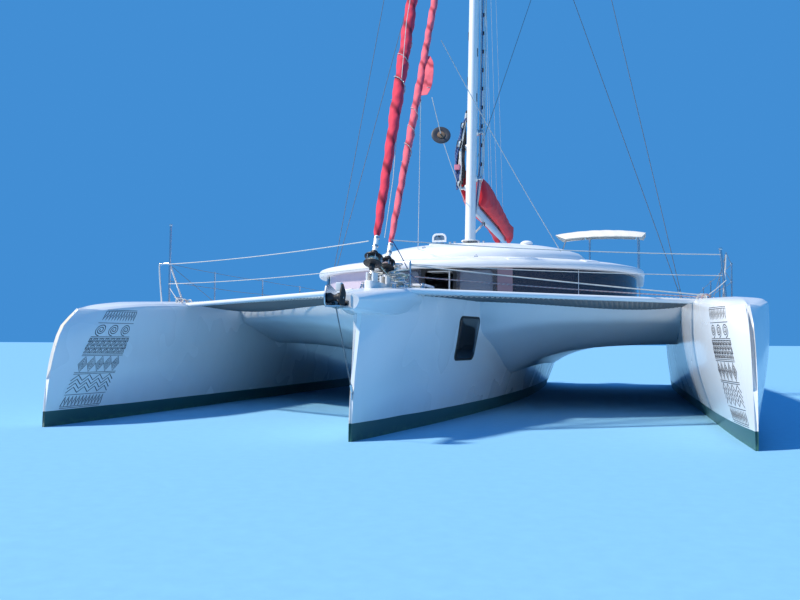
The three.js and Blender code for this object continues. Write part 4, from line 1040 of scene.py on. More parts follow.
@dataclass
class HullForm:
    """A hull's lines: rows of its stations and of its stem."""

    x: float
    places: tuple[float, ...]
    beams: tuple[float, ...]
    waters: tuple[float, ...]
    decks: tuple[float, ...]
    bottoms: tuple[float, ...]
    stem: tuple[tuple[float, float], ...]
    rake_fade: float
    edge: float
    camber: float
    bulge: float
    levels: tuple[float, ...] = (0.14, 0.4, 0.7, 1.0)
    lines: dict[str, Wave] = field(init=False)

    def __post_init__(self) -> None:
        """Fits smooth lines to the rows."""
        rows = {"beam": self.beams, "water": self.waters, "deck": self.decks, "bottom": self.bottoms}
        self.lines = {name: Wave(self.places, values) for name, values in rows.items()}
        self.lines["stem"] = Wave([z for z, _ in self.stem], [back for _, back in self.stem])

    def rake(self, distance: float, z: float) -> float:
        """Returns how far aft a point at a height stands of its station."""
        share = clamp(1 - (distance - self.places[0]) / self.rake_fade)
        return self.lines["stem"](z) * share

    def place(self, out: float, distance: float, z: float) -> Vector:
        """Returns a station's point, a distance out from the hull's middle and raked like the stem."""
        return at(self.x + out, distance + self.rake(distance, z), z)

    def flare(self, share: float) -> float:
        """Returns how far out the side stands at a share of its height."""
        return (1 - self.bulge) * share + self.bulge * math.sin(min(1, share / 0.8) * math.pi / 2)

    def half_section(self, distance: float) -> list[tuple[float, float]]:
        """Returns half a section as (half-beam, height) from the keel to the deck's crown."""
        beam, water = self.lines["beam"](distance), self.lines["water"](distance)
        deck, bottom = self.lines["deck"](distance), self.lines["bottom"](distance)
        edge = min(self.edge, beam * 0.6)
        top = deck - edge
        rows = [(water * 0.55, bottom * 0.88), (water * 0.88, bottom * 0.5), (water, 0.0)]
        rows += [(water + (beam - water) * self.flare(t), t * top) for t in self.levels]
        rows += [(beam - edge * 0.3, deck - edge * 0.3), (beam - edge, deck)]
        return [(0.0, bottom), *rows, (0.0, deck + self.camber)]

    def ring(self, distance: float, grow: float = 0.0) -> list[Vector]:
        """Returns one closed section of the hull."""
        rows = [Vector((b + grow * (b > 0), 0, z)) for b, z in self.half_section(distance)]
        rows[0].z -= grow
        rows[-1].z += grow
        fine = flowing(rows, 4)
        right = [self.place(p.x, distance, p.z) for p in fine]
        left = [self.place(-p.x, distance, p.z) for p in fine[1:-1]]
        return right + left[::-1]

    def side(self, distance: float, z: float, sign: int) -> Vector:
        """Returns the point of the skin at a height, on one side."""
        fine = flowing([Vector((b, 0, h)) for b, h in self.half_section(distance)], 8)
        low = max((p for p in fine if p.z <= z and p.x > 0), key=lambda p: p.z)
        high = min((p for p in fine if p.z > z and p.x > 0), key=lambda p: p.z)
        b = lerp(low.x, high.x, (z - low.z) / (high.z - low.z))
        return self.place(sign * b, distance, z)

    def skin(self, name: str, finish: Finish, grow: float = 0.0, steps: int = 64) -> Form:
        """Returns the closed smooth hull."""
        first, last = self.places[0], self.places[-1]
        shares = [(i / steps) ** 1.35 for i in range(steps + 1)]
        return Form(name, finish).loft([self.ring(lerp(first, last, share), grow) for share in shares])


CENTRE = HullForm(
    x=0.0,
    places=(0, 0.45, 1.2, 2.0, 3.0, 4.0, 5.2, 6.8, 8.5, 10.2, 11.8, 13.25),
    beams=(0.024, 0.19, 0.4, 0.62, 0.82, 0.95, 1.04, 1.11, 1.12, 1.08, 1.01, 0.92),
    waters=(0.014, 0.092, 0.21, 0.335, 0.46, 0.572, 0.675, 0.76, 0.78, 0.745, 0.67, 0.56),
    decks=(1.47, 1.492, 1.55, 1.562, 1.56, 1.55, 1.55, 1.55, 1.55, 1.55, 1.25, 1.25),
    bottoms=(-0.09, -0.33, -0.45, -0.51, -0.545, -0.56, -0.565, -0.56, -0.51, -0.4, -0.255, -0.11),
    stem=((-0.33, 0.33), (0, 0), (0.5, 0.06), (1.29, 0.3), (1.65, 0.42)),
    rake_fade=1.9,
    edge=0.06,
    camber=0.025,
    bulge=0.45,
)


def float_form(sign: int) -> HullForm:
    """Returns the lines of the float on one side."""
    return HullForm(
        x=sign * FLOAT_X,
        places=(0.38, 0.9, 1.6, 2.5, 3.7, 5.3, 7.5, 9.5, 11.4, 13.0),
        beams=(0.022, 0.165, 0.28, 0.37, 0.432, 0.478, 0.5, 0.498, 0.47, 0.42),
        waters=(0.012, 0.04, 0.075, 0.108, 0.14, 0.185, 0.255, 0.31, 0.345, 0.32),
        decks=(1.33, 1.385, 1.43, 1.475, 1.525, 1.57, 1.58, 1.575, 1.55, 1.5),
        bottoms=(-0.06, -0.19, -0.25, -0.3, -0.34, -0.37, -0.38, -0.36, -0.29, -0.13),
        stem=((-0.25, 0.24), (0, 0), (0.58, 0.07), (1.09, 0.26), (1.35, 0.6)),
        rake_fade=1.5,
        edge=0.1,
        camber=0.018,
        bulge=1.0,
    )


SIDES = {"port": 1, "starboard": -1}
FLOATS = {side: float_form(sign) for side, sign in SIDES.items()}


class Wing:
    """The bridge deck's wing across the three hulls, with its scooped leading face."""

    scoop = Wave((0, 0.03, 0.09, 0.3, 0.55, 0.8, 1), (0, 0.2, 0.38, 0.54, 0.72, 0.9, 1))

    @staticmethod
    def outward(x: float) -> float:
        """Returns the share of the way from the centre hull to the float."""
        return clamp((abs(x) - WING_INNER) / (WING_OUTER - WING_INNER))

    @classmethod
    def leading(cls, x: float) -> float:
        """Returns how far aft the leading edge stands."""
        return 2.8 + 1.8 * cls.outward(x) ** 1.4

    @staticmethod
    def tunnel(x: float) -> float:
        """Returns the height of the tunnel's roof."""
        return TUNNEL_Z - 0.45 * math.exp(-max(0.0, abs(x) - WING_INNER) / 0.6)

    @classmethod
    def ring(cls, x: float, grow: float, top: float, steps: int = 22) -> list[Vector]:
        """Returns one upright section of the wing along the boat."""
        leading, low = cls.leading(x), cls.tunnel(x)
        length = lerp(2.3, 1.5, cls.outward(x))
        high = DECK_Z - 0.03
        shares = [(i / steps) ** 1.8 for i in range(steps + 1)]
        ring = [
            at(x, leading + length * a - grow, high - (high - low) * cls.scoop(a) - grow) for a in shares
        ]
        ring += [at(x, lerp(leading + length, WING_AFT - 0.5, i / 6), low - grow) for i in range(1, 7)]
        ring += [
            at(x, WING_AFT + grow, low + 0.15 - grow), at(x, WING_AFT + grow, top),
            at(x, leading + 0.03 - grow, top),
        ]
        return ring

    @classmethod
    def skin(cls, name: str, finish: Finish, grow: float = 0.0, top: float = DECK_Z) -> Form:
        """Returns the closed wing."""
        half = [WING_OUTER * (i / 20) for i in range(21)]
        places = [-x for x in half[:0:-1]] + half
        return Form(name, finish).loft([cls.ring(x, grow, top) for x in places])


@dataclass
class Hulls:
    """The centre hull and two floats, with windows, hatches and cleats."""

    chin_rows: tuple[tuple[float, float, float, float], ...] = (
        (-0.075, 0.11, 1.292, 1.43),
        (0.25, 0.21, 1.268, 1.47),
        (0.7, 0.32, 1.25, 1.516),
        (1.25, 0.428, 1.29, 1.552),
    )
    chin_edge: float = 0.045
    steps: tuple[tuple[float, float], ...] = ((12.5, 0.78), (12.76, 0.56), (13.01, 0.34))
    locker: tuple[float, float, float, float, float] = (0.24, 1.9, 2.4, 1.15, 1.612)
    window: tuple[tuple[float, float], tuple[float, float]] = ((2.25, 0.77), (2.85, 1.25))

    def build(self) -> None:
        """Builds and dresses the three hulls."""
        self.centre()
        for side, sign in SIDES.items():
            skin = FLOATS[side].skin(f"float_{side}_skin", HULL_WHITE)
            settle(skin.object(50.0), "gelcoat", f"float_{side}")
            self.float_gear(side, sign)
        self.windows()

    def chin(self, name: str, finish: Finish) -> Form:
        """Returns the moulded chin over the stem."""
        lines = column_lines(self.chin_rows)
        rings = []
        for i in range(19):
            place = lerp(self.chin_rows[0][0], self.chin_rows[-1][0], i / 18)
            half, low, deck = (line(place) for line in lines)
            rows = [
                (0.0, low - 0.025, 0.1),
                (half * 0.75, low, 0.03),
                (half, low + (deck - low) * 0.5, 0.05),
                (half, deck - self.chin_edge, 0.03),
                (half - self.chin_edge, deck, 0.06),
                (0.0, deck + 0.02, 0.1),
                (self.chin_edge - half, deck, 0.06),
                (-half, deck - self.chin_edge, 0.03),
                (-half, low + (deck - low) * 0.5, 0.05),
                (-half * 0.75, low, 0.03),
            ]
            rings.append([at(x, place, z) for x, z in rounded_outline(rows, 4)])
        return Form(name, finish).loft(rings)

    def centre(self) -> None:
        """Builds the centre hull with its steps and its chain locker."""
        hull = CENTRE.skin("centre_hull_skin", HULL_WHITE, steps=80).object(45.0)
        carve(hull, self.chin("chin_tool", HULL_WHITE).object(), "UNION")
        x, start, end, low, rim = self.locker
        cuts = Form("hull_cuts", DECK_WHITE)
        cuts.block(at(-x, start, low), at(x, end, rim + 0.05), 0.03)
        for place, z in self.steps:
            cuts.block(at(-1.2, place, z), at(1.2, 13.6, 1.9))
            carve(hull, cuts.object())
            cuts = Form("hull_cuts", DECK_WHITE)
        carve(hull, Wing.skin("wing_tool", HULL_WHITE, 0.0, 2.2).object())
        tidy_mesh(hull, 40.0)
        settle(hull, "gelcoat", "centre_hull")

    def windows(self) -> None:
        """Lets a dark window in a raised frame into each side of the centre hull."""
        for side, sign in SIDES.items():
            for name, finish, grow, out in (("frame", RUBBER, 0.03, 0.006), ("pane", SMOKED, 0.0, 0.009)):
                (s0, z0), (s1, z1) = self.window
                outline = rounded_rectangle(s0 - grow, z0 - grow, s1 + grow, z1 + grow, 0.05 + grow)
                form = Form(f"hull_window_{name}_{side}", finish)
                middle = ((s0 + s1) / 2, (z0 + z1) / 2)
                rings = []
                for depth, shrink in (
                    (-0.02, 1.0), (out - 0.002, 1.0), (out, 0.985), (out, 0.6), (out, 0.25)
                ):
                    ring = []
                    for s, z in outline:
                        place, height = lerp(middle[0], s, shrink), lerp(middle[1], z, shrink)
                        ring.append(CENTRE.side(place, height, sign) + Vector((sign * depth, 0, 0)))
                    rings.append(ring)
                form.loft(rings)
                settle(form.object(), "smoked_glass" if name == "pane" else "black_plastic")

    def float_gear(self, side: str, sign: int) -> None:
        """Adds a float's hatch and cleats."""
        form = Form(f"float_fittings_{side}", STAINLESS)
        for place in (3.35, 6.1, 11.9):
            cleat(form, at(sign * FLOAT_X, place, FLOATS[side].lines["deck"](place) + 0.017), AFT, 0.24)
        settle(form.object(), "stainless")
        hatch = Form(f"float_hatch_{side}", PALE_PLASTIC)
        deck = FLOATS[side].lines["deck"](5.2) + 0.012
        hatch.block(
            at(sign * FLOAT_X - 0.2, 5.0, deck - 0.03), at(sign * FLOAT_X + 0.2, 5.4, deck + 0.018), 0.05,
            0.01,
        )
        hatch.use(SMOKED).block(
            at(sign * FLOAT_X - 0.17, 5.03, deck), at(sign * FLOAT_X + 0.17, 5.37, deck + 0.026), 0.04,
            0.004,
        )
        settle(hatch.object(), "gelcoat")


def cleat(form: Form, foot: Vector, along: Vector, length: float) -> None:
    """Adds a horn cleat on its foot.

    Args:
        form: The form that it joins.
        foot: The middle of its foot.
        along: The direction of its horns.
        length: The length over its horns.
    """
    size = length * 0.06
    for sign in (-1, 1):
        post = foot + along * (sign * length * 0.16)
        form.rod(post - UP * 0.01, post + UP * length * 0.22, size)
    rise = [(-0.5, 0.27), (-0.3, 0.24), (0.0, 0.22), (0.3, 0.24), (0.5, 0.27)]
    path = flowing([foot + along * (length * a) + UP * (length * b) for a, b in rise], 4)
    form.tube(path, lambda t: size * (0.55 + 0.6 * math.sin(math.pi * t)), 10)


def house_point(run: float, radius: float, z: float) -> Vector:
    """Returns a point of a deckhouse outline.

    Args:
        run: The distance along the wall from its foremost point, positive to port.
        radius: The outline's radius.
        z: The height.
    """
    quarter = HOUSE_R * math.pi / 2
    side = math.copysign(1.0, run)
    if abs(run) <= quarter:
        angle = run / HOUSE_R
        return at(radius * math.sin(angle), HOUSE_CENTRE - radius * math.cos(angle), z)
    return at(side * radius, HOUSE_CENTRE + abs(run) - quarter, z)


def house_ring(radius: float, end: float, z: float, steps: int = 64, corner: float = 0.0) -> list[Vector]:
    """Returns the deckhouse's closed outline at a height: a half circle and straight sides aft of it."""
    arc = [-math.pi / 2 + math.pi * i / steps for i in range(steps + 1)]
    ring = [at(radius * math.sin(a), HOUSE_CENTRE - radius * math.cos(a), z) for a in arc]
    span = end - corner - HOUSE_CENTRE
    sides = [i / 8 for i in range(1, 9)]
    ring += [at(radius, HOUSE_CENTRE + span * t, z) for t in sides]
    turns = [math.pi / 2 * i / 5 for i in range(1, 6)] if corner else []
    ring += [
        at(radius - corner + corner * math.cos(a), end - corner + corner * math.sin(a), z) for a in turns
    ]
    ring += [
        at(corner - radius - corner * math.sin(a), end - corner + corner * math.cos(a), z) for a in turns
    ]
    ring += [at(-radius, HOUSE_CENTRE + span * t, z) for t in sides[::-1]]
    return ring


class CordTree:
    """A Geometry Nodes tree that turns the edges of a mesh into cords with a knot at each crossing."""

    tree: bpy.types.NodeTree | None = None

    @classmethod
    def build(cls) -> bpy.types.NodeTree:
        """Returns the tree, made the first time it is asked for."""
        if cls.tree:
            return cls.tree
        tree = bpy.data.node_groups.new("corded_net", "GeometryNodeTree")
        sockets = {
            "Net": "NodeSocketGeometry", "Cord Radius": "NodeSocketFloat", "Knot Radius": "NodeSocketFloat"
        }
        sockets["Finish"] = "NodeSocketMaterial"
        for name, kind in sockets.items():
            tree.interface.new_socket(name, in_out="INPUT", socket_type=kind)
        tree.interface.new_socket("Cords", in_out="OUTPUT", socket_type="NodeSocketGeometry")
        given, result = tree.nodes.new("NodeGroupInput"), tree.nodes.new("NodeGroupOutput")
        made = {
            name: tree.nodes.new(kind)
            for name, kind in {
                "lines": "GeometryNodeMeshToCurve",
                "section": "GeometryNodeCurvePrimitiveCircle",
                "cords": "GeometryNodeCurveToMesh",
                "knot": "GeometryNodeMeshIcoSphere",
                "knots": "GeometryNodeInstanceOnPoints",
                "real": "GeometryNodeRealizeInstances",
                "join": "GeometryNodeJoinGeometry",
                "finish": "GeometryNodeSetMaterial",
            }.items()
        }
        made["section"].inputs["Resolution"].default_value = 4
        made["knot"].inputs["Subdivisions"].default_value = 1
        links = (
            (given.outputs["Net"], made["lines"].inputs["Mesh"]),
            (made["lines"].outputs["Curve"], made["cords"].inputs["Curve"]),
            (given.outputs["Cord Radius"], made["section"].inputs["Radius"]),
            (made["section"].outputs["Curve"], made["cords"].inputs["Profile Curve"]),
            (given.outputs["Knot Radius"], made["knot"].inputs["Radius"]),
            (given.outputs["Net"], made["knots"].inputs["Points"]),
            (made["knot"].outputs["Mesh"], made["knots"].inputs["Instance"]),
            (made["knots"].outputs["Instances"], made["join"].inputs[0]),
            (made["cords"].outputs["Mesh"], made["join"].inputs[0]),
            (made["join"].outputs[0], made["real"].inputs[0]),
            (made["real"].outputs[0], made["finish"].inputs["Geometry"]),
            (given.outputs["Finish"], made["finish"].inputs["Material"]),
            (made["finish"].outputs[0], result.inputs["Cords"]),
        )
        for start, end in links:
            tree.links.new(start, end)
        cls.tree = tree
        return tree

    @classmethod
    def apply(cls, body: bpy.types.Object, cord: float, knot: float, finish: Finish) -> None:
        """Turns a mesh of edges into cords.

        Args:
            body: The object whose edges become cords.
            cord: The cords' radius.
            knot: The knots' radius.
            finish: The finish of both.
        """
        modifier = body.modifiers.new("cords", "NODES")
        modifier.node_group = cls.build()
        values = {"Cord Radius": cord, "Knot Radius": knot, "Finish": finish.material()}
        for item in cls.tree.interface.items_tree:
            if item.item_type == "SOCKET" and item.in_out == "INPUT" and item.name in values:
                modifier[item.identifier] = values[item.name]
        apply_modifiers(body)


@dataclass
class Platform:
    """The bridge deck with its wells, and the nets that hang between the bows."""

    saloon_r: float = HOUSE_R - 0.3
    saloon_z: float = 1.06
    sole_half: float = 0.84
    sole_from: float = 5.7
    cockpit: tuple[float, float, float, float] = (-2.35, 1.35, 9.9, 12.2)
    helm: tuple[float, float, float, float, float] = (1.5, 2.75, 10.05, 11.6, 1.15)
    door_half: float = 0.4
    gate_half: float = 0.45
    net_corners: tuple[tuple[float, float], ...] = ((0.3, 1.08), (3.38, 2.96), (3.38, 4.9), (0.2, 3.2))
    net_z: float = 1.479
    net_sag: float = 0.085
    net_mesh: float = 0.058
    edge_tube: tuple[tuple[float, float, float], ...] = ((0.3, 0.98, 1.515), (3.4, 2.985, 1.462))

    def build(self) -> None:
        """Builds the bridge deck and both nets."""
        self.deck()
        for side, sign in SIDES.items():
            self.net(side, sign)

    def deck(self) -> None:
        """Builds the bridge deck and cuts its wells."""
        deck = Wing.skin("bridge_deck_skin", DECK_WHITE).object(45.0)
        high = 1.7
        saloon = Form("tool", DECK_WHITE)
        saloon.loft([house_ring(self.saloon_r, HOUSE_AFT - 0.26, z) for z in (self.saloon_z, high)])
        carve(deck, saloon.object())
        x0, x1, y0, y1 = self.cockpit
        h0, h1, g0, g1, helm_z = self.helm
        wells = (
            (-self.sole_half, self.sole_half, self.sole_from, HOUSE_AFT - 0.4, FLOOR_Z, 0.02),
            (-self.sole_half, self.sole_half, HOUSE_AFT - 0.5, HOUSE_AFT - 0.26, COCKPIT_Z, 0.0),
            (x0, x1, y0, y1, COCKPIT_Z, 0.08),
            (-self.door_half, self.door_half, HOUSE_AFT - 0.5, y0 + 0.1, COCKPIT_Z, 0.0),
            (-self.gate_half, self.gate_half, y1 - 0.1, WING_AFT + 0.05, COCKPIT_Z, 0.0),
            (h0, h1, g0, g1, helm_z, 0.06),
            (x1 - 0.1, h0 + 0.1, 10.95, g1, helm_z, 0.0),
        )
        for low_x, high_x, start, end, floor, edge in wells:
            tool = Form("tool", DECK_WHITE).block(at(low_x, start, floor), at(high_x, end, high), edge)
            carve(deck, tool.object())
        tidy_mesh(deck, 40.0)
        settle(deck, "gelcoat", "bridge_deck", "cockpit_moulding")

    def net_height(self, x: float, distance: float) -> float:
        """Returns the height of the sagging net."""
        (x0, _), (x1, _) = self.net_corners[:2]
        u = clamp((abs(x) - x0) / (x1 - x0))
        start, end = self.net_span(abs(x))
        v = clamp((distance - start) / (end - start))
        return self.net_z - self.net_sag * math.sin(math.pi * u**2.4) ** 0.8 * math.sin(math.pi * v) ** 0.7

    def net_span(self, x: float) -> tuple[float, float]:
        """Returns where the net starts and ends along the boat at a distance from the centreline."""
        a, b, c, d = self.net_corners
        share = (x - a[0]) / (b[0] - a[0])
        return lerp(a[1], b[1], share), lerp(d[1], c[1], share)

    def net(self, side: str, sign: int) -> None:
        """Builds one net: its cords, its webbing border, its edge tube and its lacing."""
        (x0, s0), (x1, _), (_, s3), _ = self.net_corners
        mesh = bpy.data.meshes.new(f"net_cords_{side}")
        points, edges, index = [], [], {}
        step = self.net_mesh
        columns, rows = int((x1 - x0) / step) + 2, int((s3 - s0) / step) + 2
        for i in range(columns):
            x = min(x0 + i * step, x1)
            start, end = self.net_span(x)
            for j in range(rows):
                s = s0 + j * step + (i % 2) * step * 0.5
                if start <= s <= end:
                    index[i, j] = len(points)
                    points.append(tuple(at(sign * x, s, self.net_height(x, s))))
        for (i, j), here in index.items():
            for other in ((i + 1, j), (i + 1, j + (1 if i % 2 else -1))):
                if other in index:
                    edges.append((here, index[other]))
        mesh.from_pydata(points, edges, [])
        cords = bpy.data.objects.new(f"net_cords_{side}", mesh)
        bpy.context.scene.collection.objects.link(cords)
        CordTree.apply(cords, 0.0042, 0.0085, NET_CORD)
        settle(cords, "net")

        border = Form(f"net_border_{side}", WEBBING)
        corners = [*self.net_corners, self.net_corners[0]]
        for (ax, ay), (bx, by) in zip(corners, corners[1:]):
            border.use(SAIL_WHITE if ax < bx else WEBBING)
            run = Vector((bx - ax, by - ay, 0)).normalized() * (0.045 if ax < bx else 0.03)
            inward = Vector((-run.y, run.x, 0)) * 1.4
            rings = []
            for i in range(13):
                t = i / 12
                x, s = lerp(ax, bx, t), lerp(ay, by, t)
                outer, inner = (x, s), (x + inward.x, s + inward.y)
                low, up = UP * -0.004, UP * 0.004
                ring = [
                    at(sign * p[0], p[1], self.net_z) + lift
                    for p, lift in ((outer, low), (inner, low), (inner, up), (outer, up))
                ]
                rings.append(ring)
            border.loft(rings)
        settle(border.object(), "net", f"net_{side}")

        start, end = (at(sign * x, s, z) for x, s, z in self.edge_tube)
        tube = Form(f"net_tube_{side}", TUBE_WHITE).tube(
            [start.lerp(end, i / 16) for i in range(17)], 0.03, 20
        )
        settle(tube.object(), "spar")
        lacing = Form(f"net_lacing_{side}", ROPE_WHITE)
        (ax, ay), (bx, by) = self.net_corners[:2]
        path = []
        turns = 58
        for i in range(turns * 8 + 1):
            t = i / (turns * 8)
            phase = TAU * t * turns
            tube_point = start.lerp(end, lerp(0.015, 0.985, t))
            net_point = at(sign * lerp(ax, bx, t), lerp(ay, by, t), self.net_z)
            middle = tube_point.lerp(net_point, 0.5)
            reach = (tube_point - net_point) * 0.5
            reach *= 1.0 + 0.02 / reach.length
            path.append(middle + reach * math.cos(phase) + UP * (0.027 * math.sin(phase)))
        lacing.tube(path, 0.003, 5)
        settle(lacing.object(), "rope")


@dataclass
class BowBands:
    """The patterned band on the inboard side of each float's bow: rows of plain geometric motifs."""

    low: tuple[float, float, float] = (0.59, 1.27, 0.19)
    high: tuple[float, float, float] = (0.97, 1.72, 1.34)
    proud: float = 0.0015

    def spot(self, sign: int, u: float, v: float, proud: float) -> Vector:
        """Returns the point of the skin at a share across the band and up it."""
        start, end = lerp(self.low[0], self.high[0], v), lerp(self.low[1], self.high[1], v)
        form = FLOATS["port" if sign > 0 else "starboard"]
        point = form.side(lerp(start, end, u), lerp(self.low[2], self.high[2], v), -sign)
        return point + Vector((-sign * proud, 0, 0))

    def stroke(
        self, form: Form, sign: int, line: Sequence[tuple[float, float]], width: float = 0.007
    ) -> None:
        """Lays one painted line on the skin.

        Args:
            form: The form that it joins.
            sign: 1 for the port float and -1 for the starboard one.
            line: Its corners as shares across and up the band.
            width: Its width in metres.
        """
        wide, tall = self.low[1] - self.low[0], self.high[2] - self.low[2]
        fine: list[tuple[float, float]] = []
        for (u0, v0), (u1, v1) in zip(line, line[1:]):
            steps = max(1, int(math.hypot((u1 - u0) * wide, (v1 - v0) * tall) / 0.04))
            fine += [(lerp(u0, u1, i / steps), lerp(v0, v1, i / steps)) for i in range(steps)]
        fine.append(line[-1])
        rings = []
        for i, (u, v) in enumerate(fine):
            before, after = fine[max(0, i - 1)], fine[min(len(fine) - 1, i + 1)]
            run = Vector(((after[0] - before[0]) * wide, (after[1] - before[1]) * tall)).normalized()
            du, dv = -run.y * width / 2 / wide, run.x * width / 2 / tall
            corners = ((du, dv, -0.003), (-du, -dv, -0.003), (-du, -dv, self.proud), (du, dv, self.proud))
            rings.append([self.spot(sign, u + a, v + b, out) for a, b, out in corners])
        form.loft(rings)

    def motifs(self) -> list[tuple[list[tuple[float, float]], float]]:
        """Returns every line of the band with its width."""
        lines: list[tuple[list[tuple[float, float]], float]] = []
        for v in (0.0, 0.015, 0.13, 0.335, 0.35, 0.52, 0.535, 0.7, 0.715, 0.86, 0.985, 1.0):
            lines.append(([(0.0, v), (1.0, v)], 0.006))
        teeth = [(i / 24, 0.02 if i % 2 == 0 else 0.115) for i in range(25)]
        lines.append((teeth, 0.011))
        lines.append(([(u, 1.005 - v) for u, v in teeth], 0.01))
        for row in range(4):
            base = 0.15 + row * 0.04
            lines.append(([(i / 8, base if i % 2 == 0 else base + 0.055) for i in range(9)], 0.009))
        for i in range(5):
            centre = (0.1 + 0.2 * i, 0.435)
            for size in (0.085, 0.06, 0.035, 0.012):
                diamond = [(-1, 0), (0, 0.9), (1, 0), (0, -0.9), (-1, 0)]
                lines.append(
                    ([(centre[0] + a * size * 1.1, centre[1] + b * size) for a, b in diamond], 0.006)
                )
        for row in range(4):
            for i in range(7 + row % 2):
                centre = (i + (0.5 if row % 2 == 0 else 0.0)) / 7
                for size in (0.066, 0.042, 0.02):
                    arc = [
                        (
                            centre + size * math.cos(math.pi * k / 8),
                            0.545 + row * 0.038 + size * 0.6 * math.sin(math.pi * k / 8),
                        )
                        for k in range(9)
                    ]
                    kept = [(clamp(u), v) for u, v in arc]
                    lines.append((kept, 0.006))
        for i in range(3):
            centre = (1 / 6 + i / 3, 0.787)
            spiral = [
                (
                    centre[0] + 0.135 * k / 44 * math.cos(TAU * k / 16),
                    centre[1] + 0.062 * k / 44 * math.sin(TAU * k / 16),
                )
                for k in range(6, 45)
            ]
            lines.append((spiral, 0.009))
        return lines

    def build(self) -> None:
        """Builds both bands."""
        for side, sign in SIDES.items():
            form = Form(f"bow_band_{side}", BAND_INK)
            for line, width in self.motifs():
                self.stroke(form, sign, line, width)
            settle(form.object(), "gelcoat")


def arc_run(degrees: float) -> float:
    """Returns the run along the wall of an angle from its foremost point."""
    return math.radians(degrees) * HOUSE_R


def straight(distance: float) -> float:
    """Returns the run along the wall of a place on its straight side."""
    return HOUSE_R * math.pi / 2 + distance - HOUSE_CENTRE


@dataclass
class Opening:
    """A window of the deckhouse: its span along the wall, its node and its glass."""

    name: str
    start: float
    end: float
    node: str | None
    glass: Finish | None

    @classmethod
    def arc(cls, name: str, start: float, end: float, node: str | None, glass: Finish | None) -> "Opening":
        """Returns a window given by two angles in degrees."""
        return cls(name, arc_run(start), arc_run(end), node, glass)


WINDOWS = (
    Opening.arc("quarter_starboard", -88, -60, "pane_quarter_starboard", SMOKED),
    Opening.arc("front_starboard", -57, -28, "pane_front_starboard", PALE_GLASS),
    Opening.arc("centre_starboard", -26, -9.5, "pane_centre_starboard", MILKY),
    Opening.arc("open_front", -8, 2, None, None),
    Opening.arc("centre_port", 3.5, 14.5, "pane_centre_port", MILKY),
    Opening.arc("front_port", 16.5, 42.5, "pane_front_port", SMOKED),
    Opening.arc("quarter_port", 44.5, 69, "pane_quarter_port", SMOKED),
    Opening("side_port", straight(7.42), straight(9.64), "pane_side_port", SMOKED),
    Opening("side_starboard", -straight(9.64), -straight(7.42), "pane_side_starboard", SMOKED),
)


